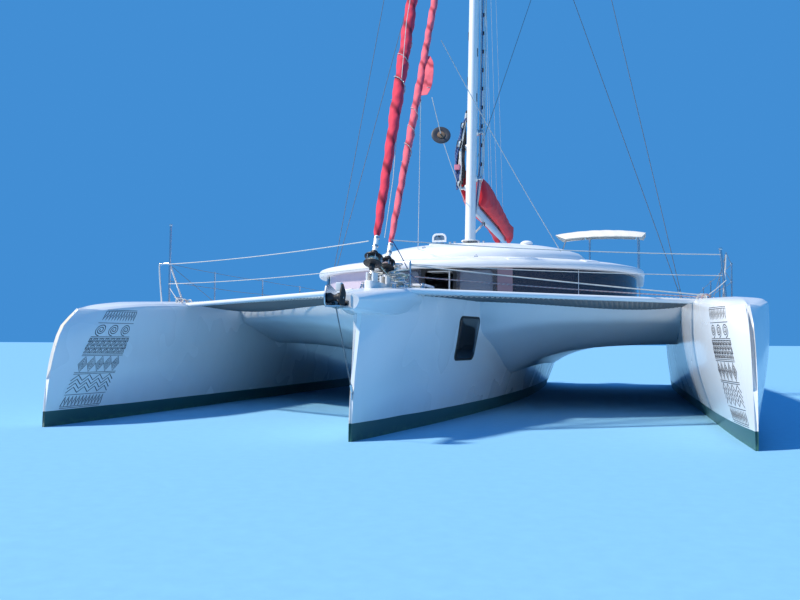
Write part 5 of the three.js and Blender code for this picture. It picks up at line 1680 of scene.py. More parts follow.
@dataclass
class Deckhouse:
    """The round-fronted deckhouse: its wall, glazing, bulkhead, sliding door and saloon.

    The bands of bonded glass run between angles in degrees from the foremost point, and far stands for
    the place glass_aft, where they end on the straight side. Nothing is bonded over the bare part, and a
    pale strip marks one joint.
    """

    thick: float = 0.05
    sill: float = 1.535
    head: float = 2.028
    corner: float = 0.055
    pane_in: float = 2.622
    pane_out: float = 2.633
    doorway: tuple[float, float] = (0.4, 1.98)
    door: tuple[float, float, float, float, float] = (0.44, 0.956, 2.04, 9.906, 0.032)
    aft_pane: tuple[float, float] = (-2.1, -0.52)
    glass_aft: float = 9.67
    bare: tuple[float, float] = (-59.7, -57.3)
    strip: float = 43.5
    far: float = 999
    bands: tuple[tuple[str, float, float], ...] = (
        ("dark", -far, -90), ("dark", -90, bare[0]), ("pale", bare[1], -27), ("clear", -27, -8.75),
        ("clear", 2.75, 15.5),
        ("rosy", 15.5, 20.5), ("dark", 20.5, strip), ("dark", strip, 69.5), ("dark", 69.5, far),
    )

    def build(self) -> None:
        """Builds the deckhouse from its wall to its furniture."""
        self.wall()
        for window in WINDOWS:
            self.glaze(window)
        self.front_sash()
        self.bulkhead()
        self.sliding_door()
        self.settee()
        self.saloon_table()

    def outline(self, start: float, end: float, grow: float) -> list[tuple[float, float]]:
        """Returns a window's rounded outline as (run, height), grown on every side."""
        return rounded_rectangle(
            start - grow, self.sill - grow, end + grow, self.head + grow, max(0.01, self.corner + grow), 6
        )

    def curved(self, outline: Sequence[tuple[float, float]], radius: float) -> list[Vector]:
        """Returns an outline bent round the wall at a radius."""
        return [house_point(run, radius, z) for run, z in outline]

    def plate(self, form: Form, start: float, end: float, low: float, high: float, grow: float) -> None:
        """Adds a curved plate with a window's outline between two radii."""
        columns = max(4, int((end - start) / 0.09))
        runs = [lerp(start - grow, end + grow, i / columns) for i in range(columns + 1)]
        rings = []
        for run in runs:
            edge = min(run - (start - grow), (end + grow) - run)
            corner = max(0.01, self.corner + grow)
            past = corner - min(edge, corner)
            lift = corner - math.sqrt(max(0.0, corner**2 - past**2))
            bottom, top = self.sill - grow + lift * 0.98, self.head + grow - lift * 0.98
            rings.append(
                [
                    house_point(run, low, bottom), house_point(run, high, bottom),
                    house_point(run, high, top), house_point(run, low, top),
                ]
            )
        form.loft(rings)

    def wall(self) -> None:
        """Builds the wall and cuts its windows."""
        half = straight(HOUSE_AFT)
        runs = [lerp(-half, half, i / 150) for i in range(151)]
        inner = HOUSE_R - self.thick
        low, high = DECK_Z, EAVE_Z
        rings = [
            [
                house_point(t, HOUSE_R, low), house_point(t, HOUSE_R, high), house_point(t, inner, high),
                house_point(t, inner, low),
            ]
            for t in runs
        ]
        wall = Form("cabin_wall_skin", HOUSE_WHITE).loft(rings).object(30.0)
        primer = Form("window_band_primer", RUBBER)
        reach = straight(self.glass_aft)
        for start, end in ((-reach, arc_run(self.bare[0])), (arc_run(self.bare[1]), reach)):
            self.band_plate(primer, start, end, HOUSE_R + 0.0002, HOUSE_R + 0.0016)
        primer_piece = primer.object(30.0)
        for window in WINDOWS:
            outline = self.outline(window.start, window.end, 0.0)
            fine = self.dense(outline)
            tool = Form("tool", RUBBER).loft(
                [self.curved(fine, radius) for radius in (HOUSE_R - 0.09, HOUSE_R + 0.05)]
            )
            cutter = tool.object()
            second = cutter.copy()
            second.data = cutter.data.copy()
            bpy.context.scene.collection.objects.link(second)
            carve(wall, cutter)
            carve(primer_piece, second)
        tidy_mesh(wall, 30.0)
        settle(wall, "gelcoat", "cabin_wall")
        tidy_mesh(primer_piece, 30.0)
        settle(primer_piece, "black_plastic")
        glass = {
            "dark": Form("bonded_glass_dark", BONDED), "clear": Form("bonded_glass_clear", BONDED_CLEAR)
        }
        glass |= {
            "pale": Form("bonded_glass_pale", BONDED_PALE), "rosy": Form("bonded_glass_rosy", BONDED_ROSY)
        }
        for kind, start, end in self.bands:
            low, high = (arc_run(a) if abs(a) < self.far else math.copysign(reach, a) for a in (start, end))
            self.band_plate(glass[kind], low + 0.004, high - 0.004, HOUSE_R + 0.003, HOUSE_R + 0.01)
        light = arc_run(self.strip)
        self.band_plate(
            glass["dark"].use(TUBE_WHITE), light - 0.0038, light + 0.0038, HOUSE_R + 0.003, HOUSE_R + 0.0105
        )
        for form in glass.values():
            settle(form.object(25.0), "smoked_glass")

    def band_plate(self, form: Form, start: float, end: float, low: float, high: float) -> None:
        """Adds a curved strip over the window band, from one run to another and between two radii."""
        count = max(4, int((end - start) / 0.05))
        bottom, top = self.sill - 0.023, self.head + 0.019
        rings = []
        for run in (lerp(start, end, i / count) for i in range(count + 1)):
            corners = ((low, bottom), (high, bottom), (high, top), (low, top))
            rings.append([house_point(run, radius, z) for radius, z in corners])
        form.loft(rings)

    @staticmethod
    def dense(outline: Sequence[tuple[float, float]], step: float = 0.12) -> list[tuple[float, float]]:
        """Returns an outline with points added on its long sides."""
        made: list[tuple[float, float]] = []
        for (a, b), (c, d) in zip(outline, [*outline[1:], outline[0]]):
            count = max(1, int(math.hypot(c - a, d - b) / step))
            made += [(lerp(a, c, i / count), lerp(b, d, i / count)) for i in range(count)]
        return made

    def glaze(self, window: Opening) -> None:
        """Fits a window's rubber and its pane."""
        gasket = Form(f"window_rubber_{window.name}", RUBBER)
        outer = self.dense(self.outline(window.start, window.end, 0.012))
        rings = []
        centre = ((window.start + window.end) / 2, (self.sill + self.head) / 2)
        wide, tall = (window.end - window.start) / 2 + 0.012, (self.head - self.sill) / 2 + 0.012
        crest, inside = HOUSE_R + 0.001, self.pane_in - 0.006
        for share, radius in (
            (0.0, HOUSE_R - 0.004), (0.2, crest), (0.85, crest), (1.0, HOUSE_R), (1.0, inside),
            (0.0, inside),
        ):
            shrink = (1 - share * 0.026 / wide, 1 - share * 0.026 / tall)
            outline = [(lerp(centre[0], t, shrink[0]), lerp(centre[1], z, shrink[1])) for t, z in outer]
            rings.append(self.curved(outline, radius))
        gasket.loft(rings, looped=True)
        settle(gasket.object(), "black_plastic")
        if window.node and window.glass:
            pane = Form(f"{window.node}_glass", window.glass)
            self.plate(pane, window.start, window.end, self.pane_in, self.pane_out, 0.004)
            settle(
                pane.object(25.0), "smoked_glass" if window.glass is SMOKED else "milky_glass", window.node
            )
            if window.glass is not SMOKED:
                blind = Form(
                    f"window_blind_{window.name}", SUN_SCREEN if window.glass is MILKY else PALE_SCREEN
                )
                self.plate(blind, window.start, window.end, HOUSE_R - 0.066, HOUSE_R - 0.062, 0.01)
                settle(blind.object(25.0), "upholstery")

    def front_sash(self) -> None:
        """Builds the open front window's sash, swung in under the ceiling, and its mid stile."""
        start, end = arc_run(-8), arc_run(2)
        bar = 0.011
        foot, top = (house_point(end - 0.075, HOUSE_R - 0.03, z) for z in (self.sill, self.head))
        sash = Form("front_sash", PALE_PLASTIC).rod(foot, top, bar, 10)
        hinge = [
            house_point(lerp(start + 0.03, end - 0.03, i / 8), HOUSE_R - 0.07, self.head - 0.02)
            for i in range(9)
        ]
        swung = [p + Vector((0, 0.44, 0.015)) for p in hinge]
        sash.tube(hinge, bar, 8)
        sash.tube(swung, bar, 8)
        for a, b in ((hinge[0], swung[0]), (hinge[-1], swung[-1])):
            sash.rod(a, b, bar, 8)
        half = UP * 0.004
        sash.use(SMOKED).loft([[a - half, b - half, b + half, a + half] for a, b in zip(hinge, swung)])
        settle(sash.object(), "smoked_glass")

    def bulkhead(self) -> None:
        """Builds the aft bulkhead with its doorway and its window."""
        low, high, start, end = DECK_Z, EAVE_Z, HOUSE_AFT - 0.05, HOUSE_AFT
        half, top = self.doorway
        inner = HOUSE_R - self.thick - 0.0005
        wall = Form("bulkhead_panel", HOUSE_WHITE).block(
            at(-inner, start, low), at(inner, end, high)
        ).object()
        for x0, x1, z0, z1, edge in (
            (-half, half, 0.9, top, 0.0),
            (self.aft_pane[0], self.aft_pane[1], self.sill, self.head - 0.02, 0.05),
        ):
            outline = rounded_rectangle(x0, z0, x1, z1, edge)
            tool = Form("tool", HOUSE_WHITE).slab([at(x, start - 0.05, z) for x, z in outline], AFT * 0.2)
            carve(wall, tool.object())
        tidy_mesh(wall)
        settle(wall, "gelcoat", "cabin_bulkhead")
        x0, x1 = self.aft_pane
        self.flat_window("aft_window", x0, x1, self.sill, self.head - 0.02, start + 0.02, "pane_aft")
        lining = Form("doorway_lining", BLACK)
        for x in (-half, half):
            side = math.copysign(1, x)
            lining.block(
                at(min(x, x - side * 0.012), start - 0.002, COCKPIT_Z + 0.003),
                at(max(x, x - side * 0.012), end + 0.003, top),
            )
        lining.block(at(-half, start - 0.002, top - 0.012), at(half, end + 0.003, top))
        settle(lining.object(), "black_plastic")

    def flat_window(
        self, name: str, x0: float, x1: float, low: float, high: float, place: float, node: str | None
    ) -> None:
        """Adds a flat pane and its rubber across the boat.

        Args:
            name: The pieces' name.
            x0: Its starboard edge.
            x1: Its port edge.
            low: Its lower edge.
            high: Its upper edge.
            place: Where the pane's fore face stands.
            node: The node that it stands for.
        """
        pane = Form(f"{name}_glass", SMOKED)
        outline = rounded_rectangle(x0 - 0.004, low - 0.004, x1 + 0.004, high + 0.004, 0.05)
        pane.slab([at(x, place, z) for x, z in outline], AFT * 0.01)
        settle(pane.object(), "smoked_glass", *([node] if node else []))
        rubber = Form(f"{name}_rubber", RUBBER)
        rings = []
        for grow, depth in ((0.012, -0.02), (0.012, 0.0305), (-0.014, 0.0305), (-0.014, -0.02)):
            ring = rounded_rectangle(x0 - grow, low - grow, x1 + grow, high + grow, 0.05 + grow)
            rings.append([at(x, place + depth, z) for x, z in ring])
        rubber.loft(rings, looped=True)
        settle(rubber.object(), "black_plastic")

    def sliding_door(self) -> None:
        """Builds the framed glass door that slides to starboard, with its handle."""
        half, low, high, start, thick = self.door
        stile = 0.06
        door = Form("saloon_door_frame", BOOM_METAL)
        rings = []
        for grow, depth in (
            (0.0, 0.004), (0.0, thick - 0.004), (0.004, thick), (stile, thick), (stile, 0.0), (0.004, 0.0)
        ):
            ring = rounded_rectangle(
                -half + grow, low + grow, half - grow, high - grow, max(0.012, 0.03 - grow * 0.2), 5
            )
            rings.append([at(x, start + depth, z) for x, z in ring])
        door.loft(rings, looped=True)
        door.block(
            at(-half + stile - 0.005, start + 0.004, 1.42),
            at(half - stile + 0.005, start + thick - 0.004, 1.47), 0.0,
        )
        door.use(STAINLESS)
        grip = half - stile * 0.5
        path = [(0.002, 1.35), (0.03, 1.37), (0.036, 1.44), (0.036, 1.52), (0.03, 1.6), (0.002, 1.62)]
        door.tube(flowing([at(grip, start + thick + d * 0.8, z) for d, z in path], 4), 0.008, 10)
        door.use(SMOKED)
        inner = rounded_rectangle(
            -half + stile - 0.006, low + stile - 0.006, half - stile + 0.006, high - stile + 0.006, 0.02
        )
        door.slab([at(x, start + thick * 0.5 - 0.004, z) for x, z in inner], AFT * 0.008)
        settle(door.object(), "smoked_glass", "saloon_door", body="door")

    def settee(self) -> None:
        """Builds the round saloon settee as a padded seat."""
        reach = math.radians(78)
        seat = Form("saloon_settee_pad", SALOON_VINYL)
        places = [lerp(-reach, reach, i / 64) for i in range(65)]
        rings = []
        for i, angle in enumerate(places):
            end = min(i, 64 - i)
            pull = 0.012 * max(0, 3 - end)
            channel = 0.006 if i % 8 == 0 else 0.0
            rows = [
                (1.27 + pull, 1.062, 0.01),
                (2.33 - pull, 1.062, 0.01),
                (2.33 - pull, 1.165 - channel - pull * 0.5, 0.035),
                (1.8, 1.186 - channel * 2 - pull * 0.6, 0.3),
                (1.26 + pull, 1.165 - channel - pull * 0.5, 0.035),
            ]
            rings.append([house_point(angle * HOUSE_R, r, z) for r, z in rounded_outline(rows, 4)])
        seat.loft(rings)
        piece = seat.object(60.0)
        settle(piece, "upholstery", "saloon_settee")

    def saloon_table(self) -> None:
        """Builds the saloon table on the mast's pillar."""
        table = Form("saloon_table_top", TABLE_TEAK)
        table.block(at(-0.52, 6.15, 1.336), at(0.52, 7.4, 1.368), 0.09, 0.008)
        table.use(STAINLESS).turned(
            at(MAST_X, MAST_FOOT[0], FLOOR_Z + 0.001), UP,
            ((0.11, 0), (0.11, 0.012), (0.048, 0.03), (0.045, 0.05), (0.045, CEILING_Z - FLOOR_Z - 0.002)),
            28,
        )
        settle(table.object(), "teak", "saloon_table")


@dataclass
class Roof:
    """The coachroof with its eave, the crown, the arched hatch and the fittings on them."""

    rows: tuple[tuple[float, float], ...] = (
        (2.745, 2.05), (2.78, 2.053), (2.797, 2.075), (2.8, 2.1), (2.795, 2.135), (2.78, 2.158),
        (2.74, 2.172),
        (2.58, 2.205), (2.3, 2.242), (2.0, 2.27), (1.86, 2.29),
    )
    crown: tuple[tuple[float, float, float], ...] = (
        (1.84, 2.2903, 9.7), (1.838, 2.32, 9.698), (1.832, 2.355, 9.692), (1.815, 2.39, 9.675),
        (1.785, 2.42, 9.64),
        (1.75, 2.45, 9.6), (1.63, 2.49, 9.5), (1.5, 2.525, 9.4), (1.36, 2.552, 9.3), (1.21, 2.575, 9.2),
        (1.05, 2.593, 9.05),
        (0.9, 2.608, 8.9), (0.78, 2.615, 8.7), (0.65, 2.62, 8.5), (0.3, 2.6215, 8.1),
    )
    hatch_x: float = -0.5
    hatch_half: float = 0.12
    hatch_aft: float = 6.2
    hatch_deep: float = 0.15
    hatch_rim: float = 2.584
    lid_height: float = 0.145
    lid_corner: float = 0.075
    hinge: tuple[float, float, float] = (6.212, 2.604, 0.009)
    panel_r: float = 2.68
    rail_x: float = 2.25

    def build(self) -> None:
        """Builds the roof and all that stands on it."""
        self.shell()
        self.dome()
        self.hatch()
        self.fittings()

    def shell(self) -> None:
        """Builds the coachroof's closed shell round the crown's opening."""
        ends = Wave((1.65, 1.86, 2.0, 2.8), (9.45, 9.94, 9.94, 9.95))
        under = (
            (1.65, 2.289, 9.45), (1.65, 2.25, 9.45), (1.84, 2.23, 9.65), (2.51, 2.11, 9.7),
            (2.51, 2.04, 9.7), (2.56, 2.051, 9.8),
        )
        rings = [house_ring(r, ends(r), z, 72, 0.14) for r, z in self.rows]
        rings += [house_ring(r, end, z, 72, 0.14) for r, z, end in under]
        roof = Form("coachroof_skin", DECK_WHITE).loft(rings, looped=True).object(32.0)
        settle(roof, "gelcoat", "coachroof")

    def dome(self) -> None:
        """Builds the crown's closed shell and the hatch's well in it."""
        under = ((0.95, 2.53, 8.8), (1.3, 2.48, 9.1), (1.56, 2.39, 9.35), (1.645, 2.2903, 9.45))
        rings = [house_ring(r, end, z, 72, 0.12) for r, z, end in (*under, *self.crown)]
        crown = Form("roof_crown_skin", DECK_WHITE).loft(rings).object(32.0)
        x, half, aft, deep = self.hatch_x, self.hatch_half, self.hatch_aft, self.hatch_deep
        tool = Form("tool", DECK_WHITE).block(
            at(x - half + 0.015, aft - deep + 0.015, 2.56), at(x + half - 0.015, aft - 0.015, 2.8), 0.03
        )
        carve(crown, tool.object())
        tidy_mesh(crown, 32.0)
        settle(crown, "gelcoat", "roof_crown")
        curb = Form("roof_hatch_curb", HOUSE_WHITE)
        rings = []
        for grow, z in (
            (0.02, 2.5), (0.02, self.hatch_rim - 0.006), (0.012, self.hatch_rim), (-0.012, self.hatch_rim),
            (-0.015, 2.5),
        ):
            ring = rounded_rectangle(
                x - half - grow, aft - deep - grow, x + half + grow, aft + min(grow, 0.004),
                0.03 + grow * 0.5,
            )
            rings.append([at(a, b, z) for a, b in ring])
        curb.loft(rings, looped=True)
        settle(curb.object(), "gelcoat")

    def arch(self, inset: float, place: float) -> list[Vector]:
        """Returns the hatch lid's arched outline, drawn in on every side, at a place along the boat."""
        half, tall, bend = self.hatch_half, self.lid_height, self.lid_corner
        left = [(-half, 0.0), (-half, tall - bend)]
        for angle in (math.pi / 2 * i / 8 for i in range(1, 9)):
            left.append((-half + bend - bend * math.cos(angle), tall - bend + bend * math.sin(angle)))
        outline = [*left, *((-u, v) for u, v in reversed(left))]
        scale_x, scale_z = 1 - inset / half, 1 - 2 * inset / tall
        low = self.hinge[1] + 0.02
        return [
            at(self.hatch_x + u * scale_x, place, low + tall / 2 + (v - tall / 2) * scale_z)
            for u, v in outline
        ]

    def hatch(self) -> None:
        """Builds the arched hatch lid, standing open on its hinge."""
        aft, z, radius = self.hinge
        x = self.hatch_x
        low = z + 0.02
        lid = Form("roof_hatch_lid", HOUSE_WHITE)
        width = 0.03
        rows = ((0.0, 0.004), (0.0, 0.022), (0.004, 0.026), (width, 0.026), (width, 0.0), (0.004, 0.0))
        lid.loft([self.arch(inset, aft - 0.013 + depth) for inset, depth in rows], looped=True)
        lid.use(CLEAR_GREY).slab(self.arch(width - 0.006, aft - 0.004), AFT * 0.008)
        lid.use(STAINLESS).rod(at(x - 0.0606, aft, z), at(x + 0.0606, aft, z), radius, 16)
        for side in (-0.04, 0.04):
            lid.block(at(x + side - 0.012, aft - 0.006, z), at(x + side + 0.012, aft + 0.006, low + 0.012))
        lid.use(BLACK).block(
            at(x - 0.018, aft - 0.024, low + self.lid_height - 0.06),
            at(x + 0.018, aft - 0.003, low + self.lid_height - 0.045), 0.004,
        )
        settle(lid.object(), "gelcoat", "roof_hatch", body="hatch")
        lugs = Form("roof_hatch_lugs", STAINLESS)
        for side in (-0.071, 0.071):
            lugs.block(
                at(x + side - 0.009, aft - 0.013, 2.55), at(x + side + 0.009, aft + 0.013, z + 0.012), 0.004
            )
        settle(lugs.object(), "stainless")

    def surface(self, x: float, distance: float) -> float:
        """Returns the roof's height above a place on deck."""
        rows = [(r, z) for r, z, _ in reversed(self.crown)] + [(r, z) for r, z in reversed(self.rows)]
        r = math.hypot(x, distance - HOUSE_CENTRE) if distance < HOUSE_CENTRE else abs(x)
        for (r0, z0), (r1, z1) in zip(rows, rows[1:]):
            if r0 <= r <= r1:
                return lerp(z0, z1, (r - r0) / max(1e-6, r1 - r0))
        return rows[0][1] if r < rows[0][0] else rows[-1][1]

    def fittings(self) -> None:
        """Adds the vent, the grab rails, the low panels on the eave and the gear by the mast."""
        vent = Form("roof_vent", HOUSE_WHITE)
        foot = at(0.94, 6.3, self.surface(0.94, 6.3) - 0.01)
        vent.turned(foot, UP, ((0.09, 0), (0.1, 0.02), (0.1, 0.035), (0.07, 0.06), (0.03, 0.07)), 28)
        settle(vent.object(), "gelcoat")
        panels = Form("eave_panels", HOUSE_WHITE)
        for start, end in ((18.5, 28.0), (45.0, 51.0)):
            rings = []
            for grow, lift in ((0.0, -0.01), (0.0, 0.012), (0.012, 0.017)):
                left, right = (math.radians(angle) * self.panel_r for angle in (start, end))
                outline = rounded_rectangle(left + grow, 2.6 + grow, right - grow, 2.755 - grow, 0.03)
                ring = []
                for run, r in Deckhouse.dense(outline, 0.06):
                    angle = run / self.panel_r
                    x, s = r * math.sin(angle), HOUSE_CENTRE - r * math.cos(angle)
                    ring.append(at(x, s, self.surface(x, s) + lift))
                rings.append(ring)
            panels.loft(rings)
        settle(panels.object(), "gelcoat")
        rails = Form("roof_grab_rails", STAINLESS)
        for sign in (-1, 1):
            path = []
            for i in range(15):
                s = lerp(7.6, 9.3, i / 14)
                x = sign * self.rail_x
                lift = 0.055 if 0 < i < 14 else -0.012
                path.append(at(x, s, self.surface(x, s) + lift))
            rails.tube(flowing(path, 3), 0.011, 10)
            for s in (8.17, 8.74):
                z = self.surface(self.rail_x, s)
                rails.rod(
                    at(sign * self.rail_x, s, z - 0.01), at(sign * self.rail_x, s, z + 0.055), 0.009, 10
                )
        settle(rails.object(), "stainless")
        gear = Form("mast_foot_gear", STAINLESS)
        for x, s in ((-0.2, 6.02), (-0.28, 6.02), (0.2, 6.02), (0.28, 6.02)):
            z = self.surface(x, s)
            gear.turned(
                at(x, s, z - 0.004), Vector((0, -0.2, 1)),
                ((0.012, 0), (0.012, 0.014), (0.022, 0.018), (0.022, 0.032), (0.01, 0.036)), 20,
            )
        for x, s in ((-0.62, 5.62), (0.3, 5.2)):
            z = self.surface(x, s)
            gear.block(at(x - 0.03, s - 0.02, z - 0.01), at(x + 0.03, s + 0.02, z + 0.006), 0.008)
            bow = [math.pi * k / 10 for k in range(11)]
            gear.tube(
                [at(x + 0.02 * math.cos(a), s, z + 0.004 + 0.026 * math.sin(a)) for a in bow], 0.005, 8
            )
        settle(gear.object(), "stainless")


def on_mast(z: float, side: float = 0.0, ahead: float = 0.0) -> Vector:
    """Returns a point by the mast's axis at a height, set off to port and forward."""
    return at(side, MAST_FOOT[0] + MAST_RAKE * (z - MAST_FOOT[1]) - ahead, z)


def on_boom(x: float, run: float, lift: float) -> Vector:
    """Returns a point in the boom's own frame: across it, along it from the pin, and above its axis."""
    turn = Vector(
        (
            x * math.cos(BOOM_YAW) - run * math.sin(BOOM_YAW),
            x * math.sin(BOOM_YAW) + run * math.cos(BOOM_YAW), 0,
        )
    )
    return at(0, GOOSENECK[0], GOOSENECK[1] + BOOM_RISE * run + lift) + turn


def line(
    name: str, points: Sequence[Vector], radius: float, finish: Finish, body: str = BODY, slot: str = "rope"
) -> None:
    """Makes one rope or wire as its own piece."""
    settle(Form(name, finish).tube(points, radius, 8).object(60.0), slot, body=body)


def block(form: Form, centre: Vector, along: Vector, size: float) -> None:
    """Adds a pulley block: two black cheeks round a sheave, with its strap."""
    up = along.normalized()
    side = up.cross(AFT).normalized() if abs(up.y) < 0.9 else PORT
    for sign in (-1, 1):
        form.use(BLACK).turned(
            centre + side * (sign * size * 0.22 - size * 0.06), side,
            (
                (size * 0.4, 0), (size * 0.5, size * 0.03), (size * 0.5, size * 0.09),
                (size * 0.4, size * 0.12),
            ),
            20,
        )
    form.use(PALE_PLASTIC).turned(
        centre - side * size * 0.16, side,
        ((size * 0.4, 0), (size * 0.36, size * 0.16), (size * 0.4, size * 0.32)), 20,
    )
    form.use(STAINLESS).rod(centre - up * size * 0.62, centre + up * size * 0.62, size * 0.07, 10)


@dataclass
class Furler:
    """A furled headsail: its stay, its drum and its spirally wound cloth."""

    name: str
    tack: float
    head_z: float
    drum: float
    girth: tuple[float, ...]
    cloth: FurledCloth
    rope: Finish
    tack_z: float = TACK_Z
    sail_low: float = 0.44

    def __post_init__(self) -> None:
        """Works out the stay's line."""
        self.low = at(0, self.tack, self.tack_z)
        self.high = on_mast(self.head_z, ahead=STAY_AHEAD)
        self.total = (self.high - self.low).length
        self.along = (self.high - self.low).normalized()
        self.side = PORT
        self.back = self.along.cross(self.side)

    def spot(self, run: float) -> Vector:
        """Returns the point of the stay at a distance from its tack."""
        return self.low + self.along * run

    def level(self, z: float) -> Vector:
        """Returns the point of the stay at a height."""
        return self.spot(self.total * (z - self.tack_z) / (self.head_z - self.tack_z))

    def out(self, turn: float) -> Vector:
        """Returns the direction away from the stay after a number of turns round it."""
        return self.side * math.cos(TAU * turn) + self.back * math.sin(TAU * turn)

    def build(self) -> None:
        """Builds the drum and the sail."""
        self.gear()
        self.sail()

    def gear(self) -> None:
        """Builds the drum, the torque tube and the furling line on it."""
        form = Form(f"furler_{self.name}_drum", BLACK)
        edge, core = self.drum + 0.04, self.drum * 0.72
        profile = [
            (0.024, 0.0205), (0.03, 0.03), (0.03, 0.084), (edge - 0.01, 0.09), (edge, 0.096), (edge, 0.104),
            (edge - 0.012, 0.108),
        ]
        profile += [
            (core, 0.112), (core, 0.168), (edge - 0.012, 0.172), (edge, 0.177), (edge, 0.186),
            (edge - 0.01, 0.19),
        ]
        profile += [(0.042, 0.196), (0.04, 0.24), (0.03, 0.25)]
        form.turned(self.low, self.along, profile, 40)
        form.use(SPAR).turned(self.low, self.along, ((0.026, 0.245), (0.026, 0.436), (0.02, 0.442)), 28)
        form.use(STAINLESS)
        for turn in range(6):
            bar = self.out(turn / 6) * (edge - 0.014)
            form.rod(self.spot(0.1) + bar, self.spot(0.182) + bar, 0.004, 8)
        for share in (0.3, 0.4):
            form.turned(
                self.spot(share), self.along, ((0.026, 0), (0.034, 0.004), (0.034, 0.02), (0.026, 0.024)),
                20,
            )
        form.use(self.rope)
        turns = 7
        path = []
        for i in range(turns * 16 + 1):
            t = i / 16
            path.append(self.spot(0.115 + 0.0068 * t) + self.out(t) * (core + 0.006))
        form.tube(path, 0.0055, 8)
        settle(form.object(), "black_plastic", f"furler_{self.name}", body=f"{self.name}_furler")

    def sail(self) -> None:
        """Builds the wound cloth, with the overlap's spiral ridge and the folds between its turns."""
        form = Form(f"furled_sail_{self.name}_cloth", self.cloth)
        start, end = self.sail_low + 0.001, self.total - 0.7
        width = Wave((0, 0.04, 0.18, 0.75, 1), self.girth)
        count, sides = int((end - start) / 0.05), 28
        rings = []
        for i in range(count + 1):
            share = i / count
            run = lerp(start, end, share)
            size = width(share)
            ring = []
            for k in range(sides):
                turn = k / sides
                wound = (turn + (run - start) / self.cloth.pitch) % 1.0
                ridge = math.sin(math.pi * wound) ** 0.7
                folds = math.sin(TAU * (3 * turn - run / 0.21) + 2.5 * math.sin(run * 1.3))
                reach = size * (
                    0.66 + 0.2 * ridge + 0.04 * folds + 0.035 * math.sin(
                        run * 7.3 + 2 * math.sin(run * 2.1)
                    )
                )
                if share in (0.0, 1.0):
                    reach *= 0.75
                ring.append(self.spot(run) + self.out(turn) * reach)
            rings.append(ring)
        form.loft(rings)
        form.use(ROPE_RED)
        pitch, laps, first = (0.95, 3.5, 2.75) if self.name == "inner" else (1.1, 2.5, 3.2)
        path = []
        for i in range(int(laps * 20) + 1):
            t = i / 20
            run = first - pitch * 0.32 * t
            size = width((run - start) / (end - start)) * 0.86 + 0.004
            path.append(self.spot(run) + self.out(t) * size)
        form.tube(path, 0.006, 8)
        form.use(WIRE).tube([self.spot(end - 0.02), self.spot(self.total - 0.018)], 0.008, 12)
        form.use(STAINLESS).turned(
            self.spot(end + 0.06), self.along, ((0.03, 0), (0.036, 0.01), (0.036, 0.1), (0.02, 0.12)), 20
        )
        if self.name == "inner":
            self.clew(form)
        settle(form.object(60.0), "red_canvas", f"furled_sail_{self.name}", body=f"{self.name}_furler")

    def clew(self, form: Form) -> None:
        """Adds the clew's flap, which hangs out of the last turn."""
        rings = []
        for i in range(15):
            z = lerp(4.1, 4.73, i / 14)
            centre = self.level(z)
            reach = Wave((4.1, 4.2, 4.42, 4.6, 4.73), (0.135, 0.16, 0.165, 0.14, 0.075))(z)
            wave = 0.014 * math.sin(z * 15)
            rows = [
                (0.01, -0.012, 0.004), (reach * 0.6, wave - 0.01, 0.01), (reach, wave * 1.4 - 0.006, 0.004),
                (reach, wave * 1.4 + 0.006, 0.004), (reach * 0.6, wave + 0.012, 0.01), (0.01, 0.014, 0.004),
            ]
            rings.append([centre + Vector((x, y, 0)) for x, y in rounded_outline(rows, 3)])
        form.use(self.cloth).loft(rings)
        form.use(STAINLESS)
        form.tube(hoop(self.level(4.2) + PORT * 0.13, 0.018, 0.018, 16), 0.005, 8, looped=True)


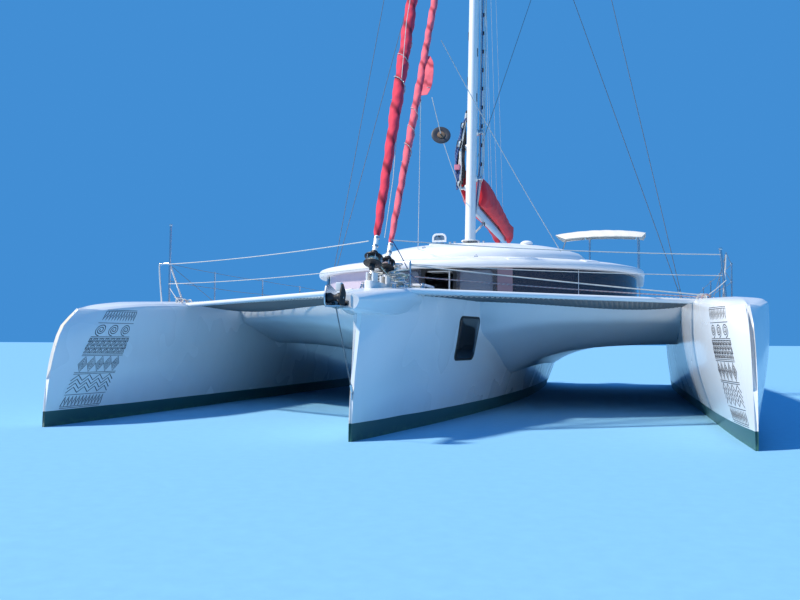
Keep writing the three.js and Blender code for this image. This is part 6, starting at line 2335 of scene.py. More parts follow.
@dataclass
class Rig:
    """The mast, its stays, the boom under its sail bag, and the lines between them."""

    mast_wide: float = 0.085
    mast_deep: float = 0.135
    track_low: float = 3.75
    spreader_z: float = 12.1
    cap_z: float = 17.55
    top_z: float = 19.3
    lower_z: float = 11.8
    bag: tuple[tuple[float, float, float], ...] = (
        (0.15, 0.19, 0.54), (0.9, 0.25, 0.57), (2.3, 0.25, 0.5), (4.3, 0.225, 0.4), (5.3, 0.24, 0.3),
        (5.45, 0.215, 0.27),
    )
    boom_wide: float = 0.07
    boom_deep: float = 0.115

    def build(self) -> None:
        """Builds the rig from the mast outwards."""
        self.mast()
        self.spreaders()
        self.shrouds()
        self.boom()
        self.sail_bag()
        self.vang()
        Furler(
            "outer", *FORESTAYS["outer"], 0.06, (0.048, 0.062, 0.085, 0.08, 0.05), SAIL_RED, ROPE_GREEN
        ).build()
        Furler(
            "inner", *FORESTAYS["inner"], 0.05, (0.036, 0.046, 0.057, 0.054, 0.038), SAIL_PINK, ROPE_RED
        ).build()
        self.running_rigging()
        self.rope_bundle()

    def section(self, z: float, scale: float, sides: int = 36) -> list[Vector]:
        """Returns the mast's oval section."""
        return [
            on_mast(z, self.mast_wide * scale * math.cos(a), -self.mast_deep * scale * math.sin(a))
            for a in angles(sides)
        ]

    def mast(self) -> None:
        """Builds the mast with its track, its exits, winches, lugs and gooseneck."""
        form = Form("mast_tube", SPAR)
        heights = (
            (2.633, 1.0), (2.66, 1.0), (6, 1), (10, 1), (15.5, 1), (17.4, 0.89), (self.top_z - 0.03, 0.78),
            (self.top_z, 0.74),
        )
        form.loft([self.section(z, scale) for z, scale in heights])
        form.turned(
            on_mast(2.6335), Vector((0, MAST_RAKE, 1)),
            ((0.15, 0), (0.15, 0.006), (0.142, 0.01), (0.13, 0.012)), 36,
        )
        track = [
            on_mast(z, ahead=-self.mast_deep * scale - 0.004)
            for z, scale in ((self.track_low, 1), (15.5, 1), (19.1, 0.8))
        ]
        form.use(BOOM_METAL).loft(
            [
                [
                    p + Vector((a, b, 0))
                    for a, b in ((-0.017, -0.012), (0.017, -0.012), (0.017, 0.016), (-0.017, 0.016))
                ]
                for p in track
            ]
        )
        form.use(STAINLESS)
        for _, z in FORESTAYS.values():
            form.rod(on_mast(z), on_mast(z, ahead=STAY_AHEAD), 0.0138, 14)
            for side in (-1, 1):
                form.block(
                    on_mast(z, side * 0.02 - 0.004, 0.15) - UP * 0.05,
                    on_mast(z, side * 0.02 + 0.004, 0.125) + UP * 0.05, 0.0,
                )
        pin_top, pin_low = (at(0, GOOSENECK[0], GOOSENECK[1] + rise) for rise in (0.062, -0.062))
        form.rod(pin_low, pin_top, 0.0198, 24)
        form.turned(pin_top - UP * 0.001, UP, ((0.026, 0), (0.026, 0.012), (0.02, 0.016)), 20)
        for low, high in ((0.05, 0.062), (-0.062, -0.05)):
            form.block(
                at(-0.026, GOOSENECK[0] - 0.12, GOOSENECK[1] + low),
                at(0.026, GOOSENECK[0] + 0.026, GOOSENECK[1] + high), 0.022, 0.002,
            )
        form.block(
            at(-0.05, GOOSENECK[0] - 0.14, GOOSENECK[1] - 0.12),
            at(0.05, GOOSENECK[0] - 0.115, GOOSENECK[1] + 0.12), 0.006,
        )
        for side, z in ((-1, 3.55), (1, 3.7), (-1, 4.25), (1, 4.5)):
            foot = on_mast(z, side * (self.mast_wide - 0.012), -0.01)
            form.use(SPAR).turned(foot, Vector((side, 0.2, 0)), ((0.055, 0), (0.055, 0.022)), 24)
            drum = (
                (0.052, 0.02), (0.052, 0.034), (0.036, 0.046), (0.033, 0.07), (0.038, 0.09), (0.05, 0.1),
                (0.05, 0.112), (0.02, 0.116),
            )
            form.use(STAINLESS).turned(foot, Vector((side, 0.2, 0)), drum, 32)
        for side, z in ((1, 5.1), (-1, 5.4), (1, 5.9), (-1, 6.2)):
            spot = on_mast(z, side * (self.mast_wide * 0.93), 0.05)
            form.use(BLACK).block(
                spot - Vector((0.006, 0.012, 0.07)), spot + Vector((0.006, 0.012, 0.07)), 0.004
            )
        top = on_mast(self.top_z)
        form.use(SPAR).block(
            top + Vector((-0.05, -0.16, -0.004)), top + Vector((0.05, 0.2, 0.03)), 0.02, 0.006
        )
        form.use(BLACK).rod(top + Vector((0.02, 0.15, 0.02)), top + Vector((0.02, 0.15, 0.34)), 0.004, 8)
        form.rod(top + Vector((-0.02, -0.12, 0.02)), top + Vector((-0.02, -0.3, 0.16)), 0.005, 8)
        form.use(PALE_PLASTIC).turned(
            top + Vector((0, 0.04, 0.028)), UP, ((0.035, 0), (0.035, 0.05), (0.03, 0.07), (0.012, 0.078)),
            20,
        )
        settle(form.object(40.0), "spar", "mast")

    def cap_point(self, sign: int, z: float) -> Vector:
        """Returns the cap shroud's point at a height."""
        x, s, low = CHAINPLATE
        return at(sign * x, s + 0.03, low).lerp(
            on_mast(self.cap_z, sign * 0.02), (z - low) / (self.cap_z - low)
        )

    def spreaders(self) -> None:
        """Builds the swept spreaders on their collar."""
        z = self.spreader_z
        form = Form("spreader_pair", SPAR)
        collar = [(-0.045, 1.09), (-0.04, 1.17), (0.04, 1.17), (0.045, 1.09)]
        form.loft([self.section(z + dz, scale) for dz, scale in collar])
        for sign in (-1, 1):
            root, tip = on_mast(z, sign * 0.06, -0.03), self.cap_point(sign, z)
            run = (tip - root).normalized()
            across = Vector((-run.y, run.x, 0)) * sign
            rings = []
            for i in range(9):
                t = i / 8
                wide, tall = lerp(0.06, 0.034, t), lerp(0.024, 0.014, t)
                centre = root.lerp(tip - run * 0.012, t)
                rings.append(
                    [
                        centre + across * wide * math.cos(a) + UP * (
                            tall * math.sin(a) * (1.0 - 0.3 * math.cos(a))
                        )
                        for a in angles(20)
                    ]
                )
            form.use(SPAR).loft(rings)
            form.use(BLACK).turned(
                tip - UP * 0.03, UP, ((0.013, 0), (0.022, 0.012), (0.022, 0.048), (0.013, 0.06)), 16
            )
        settle(form.object(), "spar", "spreaders")

    def shrouds(self) -> None:
        """Builds the four shrouds with their turnbuckles and chainplates."""
        for side, sign in SIDES.items():
            x, s, low = CHAINPLATE
            plates = Form(f"chainplates_{side}", STAINLESS)
            for name, top_z, spread in (("cap", self.cap_z, 0.03), ("lower", self.lower_z, -0.03)):
                foot, top = at(sign * x, s + spread, low), on_mast(top_z, sign * 0.02)
                run = (top - foot).normalized()
                end = top - run * 0.05
                form = Form(f"{name}_shroud_{side}_wire", WIRE).tube([foot + run * 0.3, end], 0.006, 12)
                form.use(STAINLESS)
                form.turned(
                    foot, run,
                    (
                        (0.007, -0.02), (0.011, 0.0), (0.011, 0.04), (0.007, 0.05), (0.007, 0.09),
                        (0.015, 0.1), (0.015, 0.24), (0.008, 0.25), (0.008, 0.29), (0.011, 0.3),
                        (0.011, 0.37), (0.007, 0.38),
                    ),
                    20,
                )
                settle(form.object(), "wire", f"{name}_shroud_{side}")
                deck = FLOATS[side].lines["deck"](s + spread) - 0.02
                plates.block(
                    at(sign * x - 0.006, s + spread - 0.022, deck),
                    at(sign * x + 0.006, s + spread + 0.022, low + 0.02), 0.0,
                )
                plates.rod(foot - PORT * 0.018, foot + PORT * 0.018, 0.006, 12)
            deck = FLOATS[side].side(s, 1.5, -sign).z + 0.055
            plates.block(
                at(sign * x - 0.035, s - 0.075, deck - 0.03), at(sign * x + 0.035, s + 0.075, deck + 0.022),
                0.01, 0.003,
            )
            settle(plates.object(), "stainless")

    def boom(self) -> None:
        """Builds the boom with its grooves, end casting, sheaves and reefing lines."""
        form = Form("boom_tube", BOOM_METAL)
        sides = 28
        rings = []
        for run, scale in (
            (0.06, 0.86), (0.075, 1.0), (1.5, 1.0), (3.5, 0.97), (5.6, 0.9), (5.64, 0.86), (5.65, 0.78)
        ):
            rings.append(
                [
                    on_boom(self.boom_wide * scale * math.cos(a), run, self.boom_deep * scale * math.sin(a))
                    for a in angles(sides)
                ]
            )
        form.loft(rings)
        form.use(STAINLESS)
        for low, high in ((0.026, 0.0375), (-0.0375, -0.026)):
            form.loft(
                [
                    [
                        on_boom(x, run, z)
                        for x, run in ((-0.03, -0.035), (0.03, -0.035), (0.03, 0.09), (-0.03, 0.09))
                    ]
                    for z in (low, high)
                ]
            )
        form.use(BLACK)
        for side in (-1, 1):
            form.turned(
                on_boom(side * 0.052, 5.5, -0.01), on_boom(side, 0, 0) - on_boom(0, 0, 0),
                ((0.04, 0), (0.045, 0.006), (0.045, 0.016), (0.03, 0.02)), 20,
            )
            form.loft(
                [
                    [
                        on_boom(side * (self.boom_wide - 0.004 + a), run, b)
                        for a, b in ((0, -0.006), (0.006, -0.006), (0.006, 0.006), (0, 0.006))
                    ]
                    for run in (0.4, 5.3)
                ]
            )
        form.use(ROPE_BLUE).tube(
            [on_boom(0.06, 5.52, 0.02), on_boom(0.1, 5.3, 0.06), on_boom(0.085, 4.9, 0.11)], 0.006, 8
        )
        settle(form.object(), "spar", "boom", body="boom_and_sail")

    def bag_section(self, run: float) -> list[tuple[float, float]]:
        """Returns the bag's section at a distance along the boom."""
        half, high = (fit(run) for fit in column_lines(self.bag))
        sag = 0.012 * math.sin(run * 5.2) + 0.006 * math.sin(run * 13.7 + 0.6)
        fold = 0.008 * math.sin(run * 9.1) + 0.004 * math.sin(run * 23.0)
        drop = 0.05 * smoothstep(3.2, 4.6, run) + 0.08 * smoothstep(4.9, 5.3, run)
        right = [
            (0.0785, 0.118, 0.0),
            (0.0785, 0.05 - drop, 0.0),
            (0.088, 0.02 - drop, 0.01),
            (half * 0.66, 0.012 - drop - sag * 0.3, 0.05),
            (half * 0.98 + fold, 0.1 - drop + sag, 0.08),
            (half + sag, 0.22, 0.1),
            (half * 0.92 + fold, high * 0.68, 0.1),
            (half * 0.6, high * 0.95 + sag * 0.5, 0.06),
            (0.02, high + sag, 0.012),
            (0.012, high + 0.022 + sag, 0.004),
        ]
        left = [(-x, z, r) for x, z, r in reversed(right)]
        return rounded_outline([*right, *left], 4)

    def sail_bag(self) -> None:
        """Builds the sail bag: a sagging canvas shell along the boom, with its zip."""
        form = Form("sail_bag_canvas", CRIMSON)
        runs = [lerp(0.15, 5.45, i / 130) for i in range(131)]
        rings = []
        for i, run in enumerate(runs):
            pull = 1 - 0.3 * (1 - min(i, 4) / 4) ** 2
            rings.append(
                [
                    on_boom(
                        x * pull if abs(x) > 0.09 else x, run, 0.12 + (z - 0.12) * pull if z > 0.12 else z
                    )
                    for x, z in self.bag_section(run)
                ]
            )
        form.loft(rings)
        form.use(BLACK)
        _, high = column_lines(self.bag)
        ridge = [on_boom(0, run, high(run) + 0.025 + 0.012 * math.sin(run * 5.2)) for run in runs[2:-2:2]]
        form.tube(ridge, 0.006, 6)
        settle(form.object(50.0), "red_canvas", "sail_bag", body="boom_and_sail")

    def crossing(self, name: str, points: Sequence[Vector], radius: float, finish: Finish) -> None:
        """Makes a line between the mast and the boom."""
        piece = Form(name, finish).tube(points, radius, 8).object(60.0)
        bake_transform(piece)
        LOG.info("%s: blended from the mast to the boom", name)

    def vang(self) -> None:
        """Builds the boom's vang tackle and the lazy jacks."""
        foot, top = at(0, 6.53, 2.76), on_boom(0, 1.55, -0.125)
        span = [foot.lerp(top, i / 24) for i in range(25)]
        for i, shift in enumerate((-0.016, 0.0, 0.016)):
            self.crossing(f"vang_part_{i}", [p + Vector((shift, 0, 0)) for p in span], 0.0055, ROPE_WHITE)
        ends = Form("vang_lower_block", STAINLESS)
        ends.block(at(-0.02, 6.45, 2.66), at(0.02, 6.51, 2.74), 0.006)
        block(ends, foot, top - foot, 0.09)
        settle(ends.object(), "stainless")
        lug = Form("vang_upper_block", STAINLESS)
        block(lug, top + (foot - top) * 0.02, top - foot, 0.09)
        lug.rod(top, on_boom(0, 1.6, -0.1), 0.012)
        settle(lug.object(), "stainless", body="boom_and_sail")
        for side, sign in SIDES.items():
            for i, (run, height) in enumerate(((1.35, 9.6), (2.75, 11.6), (4.15, 13.2))):
                half, high = (fit(run) for fit in column_lines(self.bag))
                start, end = on_mast(height, sign * 0.08, -0.04), on_boom(
                    sign * half * 0.5, run, high * 0.9
                )
                self.crossing(
                    f"lazy_jack_{side}_{i}", [start.lerp(end, k / 32) for k in range(33)], 0.0032,
                    ROPE_WHITE,
                )

    def running_rigging(self) -> None:
        """Builds the halyards, the sheets and the sheet's disc."""
        clew = at(0.115, 2.95, 4.18)
        disc = at(0.0, 4.06, 3.91)
        line("inner_sheet_fore", [clew + (disc - clew) * 0.06, disc], 0.0055, ROPE_WHITE)
        line("inner_sheet_aft", slack(disc, on_mast(3.3, -0.095, 0.02), 0.03), 0.0055, ROPE_WHITE)
        axis = (disc - at(-0.09, 6.16, 3.23)).normalized()
        form = Form("sheet_disc", Moulding("disc_plastic", paint(0.05, 0.05, 0.055), 0.35))
        tilt = Vector((0.28, -0.9, 0.32)).normalized()
        form.turned(
            disc - tilt * 0.03, tilt,
            (
                (0.05, 0), (0.118, 0.012), (0.137, 0.024), (0.137, 0.034), (0.118, 0.044), (0.08, 0.04),
                (0.05, 0.03),
            ),
            44,
        )
        form.use(Moulding("disc_hub", paint(0.2, 0.12, 0.07), 0.5)).turned(
            disc - tilt * 0.03, tilt, ((0.056, 0.026), (0.052, 0.046), (0.03, 0.052)), 28
        )
        form.use(STAINLESS).rod(disc - axis * 0.06, disc + axis * 0.06, 0.012)
        settle(form.object(), "black_plastic")
        line(
            "sheet_to_roof", slack(at(0.145, 3.4, 5.05), at(1.52, 5.95, 2.395), 0.05, 32), 0.0055,
            ROPE_WHITE,
        )
        line("clew_downhaul", slack(at(0.0, 2.84, 4.07), at(-0.72, 5.62, 2.44), 0.02), 0.0045, ROPE_WHITE)
        line(
            "spare_halyard",
            [at(0.03, 1.08, 2.1), at(0.03, 1.41, 2.8), at(0.03, 1.98, 4.81), on_mast(15.3, 0.05, 0.16)],
            0.0045, ROPE_WHITE,
        )
        for i, (side, ahead, finish) in enumerate(
            (
                (0.125, -0.02, ROPE_WHITE), (0.15, 0.0, ROPE_BLUE), (0.178, -0.02, ROPE_WHITE),
                (0.2, -0.06, ROPE_WHITE),
            )
        ):
            line(
                f"halyard_{i}",
                [
                    on_mast(3.1, 0.08, ahead), on_mast(3.95, side, ahead), on_mast(9.0, side, ahead),
                    on_mast(17.8, 0.07, -0.1),
                ],
                0.009, finish,
            )
        cars = Form("halyard_cars", BLACK)
        for i in range(26):
            spot = on_mast(3.95 + 0.33 * i, 0.163, -0.02)
            cars.block(spot - Vector((0.016, 0.02, 0.03)), spot + Vector((0.016, 0.02, 0.03)), 0.008)
        settle(cars.object(), "black_plastic")
        line(
            "port_check_stay", [on_mast(4.1, 0.09, -0.08), self.cap_point(1, 10.0)], 0.005, WIRE,
            slot="wire",
        )

    def rope_bundle(self) -> None:
        """Builds the bundle of halyard tails, blocks and the red flap on the mast's starboard side."""
        ropes = (ROPE_BLACK, ROPE_BLACK, ROPE_WHITE, ROPE_WHITE, ROPE_BLACK, ROPE_BLUE, ROPE_BLUE)
        for i, finish in enumerate(ropes):
            ahead = 0.03 * (i % 3) - 0.02
            reach = 0.015 + 0.025 * i
            points = [on_mast(4.9 - 0.03 * i, -0.1, ahead)]
            for k in range(1, 8):
                out = 0.115 + reach * math.sin(0.68 * math.pi * k / 7) + 0.01 * math.sin(k * 1.7 + i * 1.3)
                z = lerp(4.8, 3.72 - 0.1 * (i % 3), k / 7)
                points.append(on_mast(z, -out, ahead + 0.012 * math.cos(k + i)))
            line(f"halyard_tail_{i}", flowing(points, 5), 0.017, finish)
        coils = Form("halyard_coils", ROPE_BLUE)
        for z, out, finish, size in (
            (4.22, 0.15, ROPE_BLACK, 0.12), (4.15, 0.2, ROPE_WHITE, 0.11), (3.82, 0.22, ROPE_BLUE, 0.1)
        ):
            coils.use(finish)
            path = []
            for i in range(5 * 20 + 1):
                t = i / 20
                spread = 1 + 0.05 * math.sin(t * 2.2)
                path.append(
                    on_mast(
                        z, -out - 0.016 * math.sin(TAU * t + z) - 0.006 * (t - 2.5),
                        size * 0.45 * spread * math.cos(TAU * t),
                    ) + Vector((0, 0, size * 1.5 * spread * math.sin(TAU * t) - size))
                )
            coils.tube(path, 0.014, 8)
        settle(coils.object(60.0), "rope")
        gear = Form("halyard_blocks", BLACK)
        for z, out, size in ((4.62, 0.15, 0.1), (4.3, 0.2, 0.13), (3.62, 0.2, 0.1)):
            block(gear, on_mast(z, -out, 0.07), Vector((0.2, 0, 1)), size)
        gear.use(Moulding("faded_block", paint(0.66, 0.2, 0.26), 0.5)).block(
            on_mast(3.86, -0.275, 0.1), on_mast(3.94, -0.18, 0.05), 0.014
        )
        settle(gear.object(), "black_plastic")
        flap = Form("mast_red_flap", CRIMSON)
        rings = []
        for i in range(17):
            z = lerp(3.32, 3.86, i / 16)
            wide = Wave((3.32, 3.5, 3.7, 3.86), (0.05, 0.1, 0.125, 0.06))(z)
            ring = []
            for share, out in ((0, 0.0), (0.5, 0.02), (1, 0.01), (1, 0.004), (0.5, 0.014), (0, -0.006)):
                wave = 0.012 * math.sin(z * 17 + share * 3)
                ring.append(on_mast(z, -self.mast_wide + 0.004 - wide * share, -0.045 - out - wave))
            rings.append(ring)
        flap.loft(rings)
        settle(flap.object(60.0), "red_canvas")


@dataclass
class BowGear:
    """The gear on the centre bow: anchor roller, stay plates, windlass, locker lid, cleats and ropes."""

    roller: tuple[float, float] = (-0.395, 1.375)
    tall_cheek: tuple[tuple[float, float], ...] = (
        (-0.47, 1.31), (-0.08, 1.275), (-0.08, 1.43), (-0.33, 1.5), (-0.43, 1.5), (-0.475, 1.4)
    )
    low_cheek: tuple[tuple[float, float], ...] = (
        (-0.47, 1.31), (-0.34, 1.3), (-0.29, 1.42), (-0.37, 1.505), (-0.395, 1.505), (-0.475, 1.38)
    )
    windlass: tuple[tuple[float, float], ...] = (
        (0.11, 0.0), (0.112, 0.1), (0.104, 0.126), (0.074, 0.142), (0.06, 0.165), (0.057, 0.2),
        (0.06, 0.245), (0.066, 0.27),
        (0.086, 0.288), (0.088, 0.3), (0.08, 0.308), (0.03, 0.312),
    )
    lid: tuple[float, float, float, float] = (1.855, 1.626, 0.028, 0.012)
    post: tuple[float, float] = (0.16, 1.7)

    def build(self) -> None:
        """Builds everything on the centre bow."""
        self.anchor_roller()
        self.stay_plates()
        self.windlass_drum()
        self.locker_lid()
        self.ropes()

    def anchor_roller(self) -> None:
        """Builds the roller between its cheeks, with the bobstay down to the stem."""
        form = Form("anchor_roller_cheeks", STAINLESS)
        for x, outline, finish in ((-0.104, self.tall_cheek, STAINLESS), (0.04, self.low_cheek, RUBBER)):
            corners = rounded_outline([(s, z, 0.025) for s, z in outline], 5)
            form.use(finish).slab([at(x, s, z) for s, z in corners], PORT * 0.012)
        form.use(PALE_PLASTIC).block(at(-0.03, -0.37, 1.44), at(0.03, -0.31, 1.52), 0.012, 0.008)
        form.use(STAINLESS).block(at(-0.1, -0.47, 1.29), at(0.05, -0.08, 1.302), 0.02)
        form.use(TUBE_WHITE).block(at(-0.104, -0.087, 1.285), at(0.03, -0.0755, 1.42), 0.0)
        form.use(STAINLESS)
        s, z = self.roller
        form.rod(at(-0.115, s, z), at(0.062, s, z), 0.011, 16)
        form.use(BLACK).turned(
            at(-0.088, s, z), PORT,
            (
                (0.046, 0), (0.048, 0.006), (0.048, 0.022), (0.034, 0.045), (0.028, 0.062), (0.034, 0.08),
                (0.048, 0.102), (0.048, 0.118), (0.046, 0.124),
            ),
            32,
        )
        form.turned(
            at(-0.07, -0.16, 1.335), PORT, ((0.024, 0), (0.026, 0.04), (0.026, 0.06), (0.024, 0.1)), 24
        )
        form.use(WIRE).tube([at(0, 0.075, 0.46), at(0, -0.44, 1.3)], 0.006, 10)
        form.use(STAINLESS).turned(
            at(0, 0.085, 0.44), at(0, -0.44, 1.3) - at(0, 0.075, 0.43),
            ((0.009, 0), (0.013, 0.01), (0.013, 0.12), (0.008, 0.13)), 16,
        )
        form.block(at(-0.007, 0.05, 0.405), at(0.007, 0.16, 0.47), 0.0)
        settle(form.object(), "stainless", "anchor_roller")

    def stay_plates(self) -> None:
        """Builds the deck plate under both forestays, with toggles and pins."""
        form = Form("stay_deck_fittings", SPAR)
        form.block(at(-0.04, 0.56, 1.44), at(0.04, 1.33, 1.6), 0.02, 0.006)
        for tack, _ in FORESTAYS.values():
            for x in (-0.04, 0.024):
                form.block(at(x, tack - 0.07, 1.59), at(x + 0.016, tack + 0.1, 1.688), 0.0)
        form.use(STAINLESS)
        for tack, head in FORESTAYS.values():
            low = at(0, tack, TACK_Z)
            run = (on_mast(head, ahead=STAY_AHEAD) - low).normalized()
            for side in (-1, 1):
                across = Vector((side * 0.013, 0, 0))
                form.loft(
                    [
                        [
                            low + across + run * h + Vector((a, b, 0))
                            for a, b in ((-0.003, -0.02), (0.003, -0.02), (0.003, 0.02), (-0.003, 0.02))
                        ]
                        for h in (-0.02, 0.012)
                    ]
                )
            form.turned(
                low - run * 0.03, run, ((0.01, 0), (0.016, 0.006), (0.016, 0.044), (0.013, 0.05)), 20
            )
            form.rod(low - Vector((0.028, 0, 0.002)), low + Vector((0.028, 0, -0.002)), 0.007, 14)
            for x in (-0.03, 0.03):
                form.turned(at(x, tack + 0.13, 1.686), UP, ((0.009, 0), (0.009, 0.005), (0.004, 0.007)), 12)
        for x, s in ((-0.16, 1.0), (0.16, 1.0), (-0.2, 1.35), (0.2, 1.35)):
            cleat(form, at(x, s, CENTRE.lines["deck"](s) + 0.012), Vector((0.1, 0.99, 0)), 0.2)
        settle(form.object(), "stainless", "stay_fittings")
        pads = Form("bow_fairleads", STAINLESS)
        for sign in (-1, 1):
            foot = at(sign * 0.36, 1.52, 1.575)
            for side in (-1, 1):
                pads.tube(
                    flowing(
                        [
                            foot + Vector((0, side * 0.06, -0.012)), foot + Vector((0, side * 0.055, 0.03)),
                            foot + Vector((0, side * 0.016, 0.045)), foot + Vector((0, side * 0.012, 0.02)),
                        ],
                        5,
                    ),
                    0.009, 10,
                )
            pads.block(foot - Vector((0.02, 0.075, 0.016)), foot + Vector((0.02, 0.075, 0.004)), 0.01)
        settle(pads.object(), "stainless")

    def windlass_drum(self) -> None:
        """Builds the upright windlass with its gypsy, its capstan and its clutch."""
        form = Form("windlass_drum", STAINLESS)
        middle = 1.64
        form.turned(at(0, middle, 1.561), UP, self.windlass, 48)
        form.use(BLACK).turned(at(0, middle, 1.871), UP, ((0.028, 0), (0.028, 0.003), (0.02, 0.006)), 24)
        form.use(BRONZE)
        for a in angles(9):
            spot = at(0, middle, 1.62) + Vector((math.cos(a), math.sin(a), 0)) * 0.106
            form.turned(spot, UP, ((0.014, 0), (0.018, 0.01), (0.018, 0.03), (0.014, 0.04)), 12)
        settle(form.object(), "stainless", "windlass")

    def locker_lid(self) -> None:
        """Builds the chain locker's raised rim, and its lid on two hinges."""
        hinge, z, thick, radius = self.lid
        rim = Form("chain_locker_rim", DECK_WHITE)
        rings = []
        for grow, height in ((0.025, 1.5), (0.025, 1.604), (0.018, 1.612), (0.002, 1.612), (0.0, 1.16)):
            ring = rounded_rectangle(-0.24 - grow, 1.9 - grow, 0.24 + grow, 2.4 + grow, 0.03 + grow)
            rings.append([at(x, s, height) for x, s in ring])
        rim.loft(rings, looped=True)
        settle(rim.object(), "gelcoat")
        lid = Form("chain_locker_lid", DECK_WHITE)
        lid.block(at(-0.285, 1.88, z - 0.006), at(0.285, 2.45, z - 0.006 + thick), 0.05, 0.012)
        lid.use(STAINLESS).rod(at(-0.15, hinge, z), at(0.15, hinge, z), radius, 16)
        for x in (-0.1, 0.1):
            lid.block(at(x - 0.03, hinge - 0.006, z + 0.002), at(x + 0.03, 1.96, z + thick), 0.006)
        lid.turned(
            at(0, 2.36, z - 0.006 + thick - 0.002), UP, ((0.035, 0), (0.035, 0.004), (0.02, 0.005)), 28
        )
        settle(lid.object(), "gelcoat", "locker_lid", body="lid")

    def ropes(self) -> None:
        """Builds the forward lifelines, the lashings and the rope flaked by the furlers."""
        star, port = -FLOAT_X, FLOAT_X
        runs = {
            "lifeline_upper_starboard": (
                at(star, 3.07, 2.05), at(-0.02, 0.66, 2.02), 0.03, ROPE_WHITE, 0.006
            ),
            "lifeline_lower_starboard": (
                at(star, 3.07, 1.77), at(-0.02, 0.86, 1.76), 0.03, ROPE_WHITE, 0.005
            ),
            "lifeline_upper_port": (
                at(port - 0.06, 3.09, 2.03), at(0.04, 1.32, 2.1), 0.03, ROPE_WHITE, 0.006
            ),
            "lifeline_lower_port": (
                at(port - 0.03, 3.09, 1.775), at(*self.post, 1.86), 0.02, ROPE_WHITE, 0.005
            ),
            "net_rope_white": (at(*self.post, 1.85), at(3.42, 2.8, 1.53), 0.01, ROPE_WHITE, 0.0075),
            "net_rope_red": (at(0.2, 1.75, 1.72), at(3.43, 2.8, 1.505), 0.015, ROPE_RED, 0.0065),
        }
        for name, (start, end, sag, finish, radius) in runs.items():
            line(name, slack(start, end, sag, 28), radius, finish)
        light = [at(0.06, 1.25, 2.1), at(0.12, 1.4, 1.95), at(0.2, 1.62, 1.72), at(0.3, 1.8, 1.6)]
        line("furling_line_blue", flowing(light, 8), 0.0055, ROPE_BLUE)
        lead = [
            at(0.05, 0.72, 1.82), at(0.09, 0.95, 1.7), at(0.16, 1.4, 1.6), at(0.5, 2.2, 1.59),
            at(0.9, 3.0, 1.6), at(1.5, 4.3, 1.56), at(2.5, 6.4, 1.54),
        ]
        line("furling_line_green", flowing(lead, 8), 0.005, ROPE_GREEN)
        post = Form("lifeline_post", STAINLESS)
        post.rod(at(*self.post, 1.56), at(*self.post, 1.9), 0.011, 14)
        post.turned(at(*self.post, 1.574), UP, ((0.035, 0), (0.035, 0.008), (0.014, 0.02)), 20)
        settle(post.object(), "stainless")
        heap = Form("rope_heap", ROPE_WHITE)
        for k, (x, s, size, finish) in enumerate(
            (
                (0.1, 1.33, 0.12, ROPE_WHITE), (0.13, 1.45, 0.1, ROPE_GREEN),
                (0.02, 1.42, 0.09, ROPE_WHITE), (-0.12, 1.3, 0.1, ROPE_WHITE),
            )
        ):
            heap.use(finish)
            path = []
            for i in range(4 * 22 + 1):
                t = i / 22
                spread = size * (0.75 + 0.12 * math.sin(t * 1.9 + k))
                path.append(
                    at(
                        x + spread * math.cos(TAU * t), s + spread * 0.75 * math.sin(TAU * t),
                        1.59 + 0.045 * t + 0.012 * math.sin(TAU * t * 0.5 + k),
                    )
                )
            heap.tube(path, 0.008, 8)
        settle(heap.object(60.0), "rope")


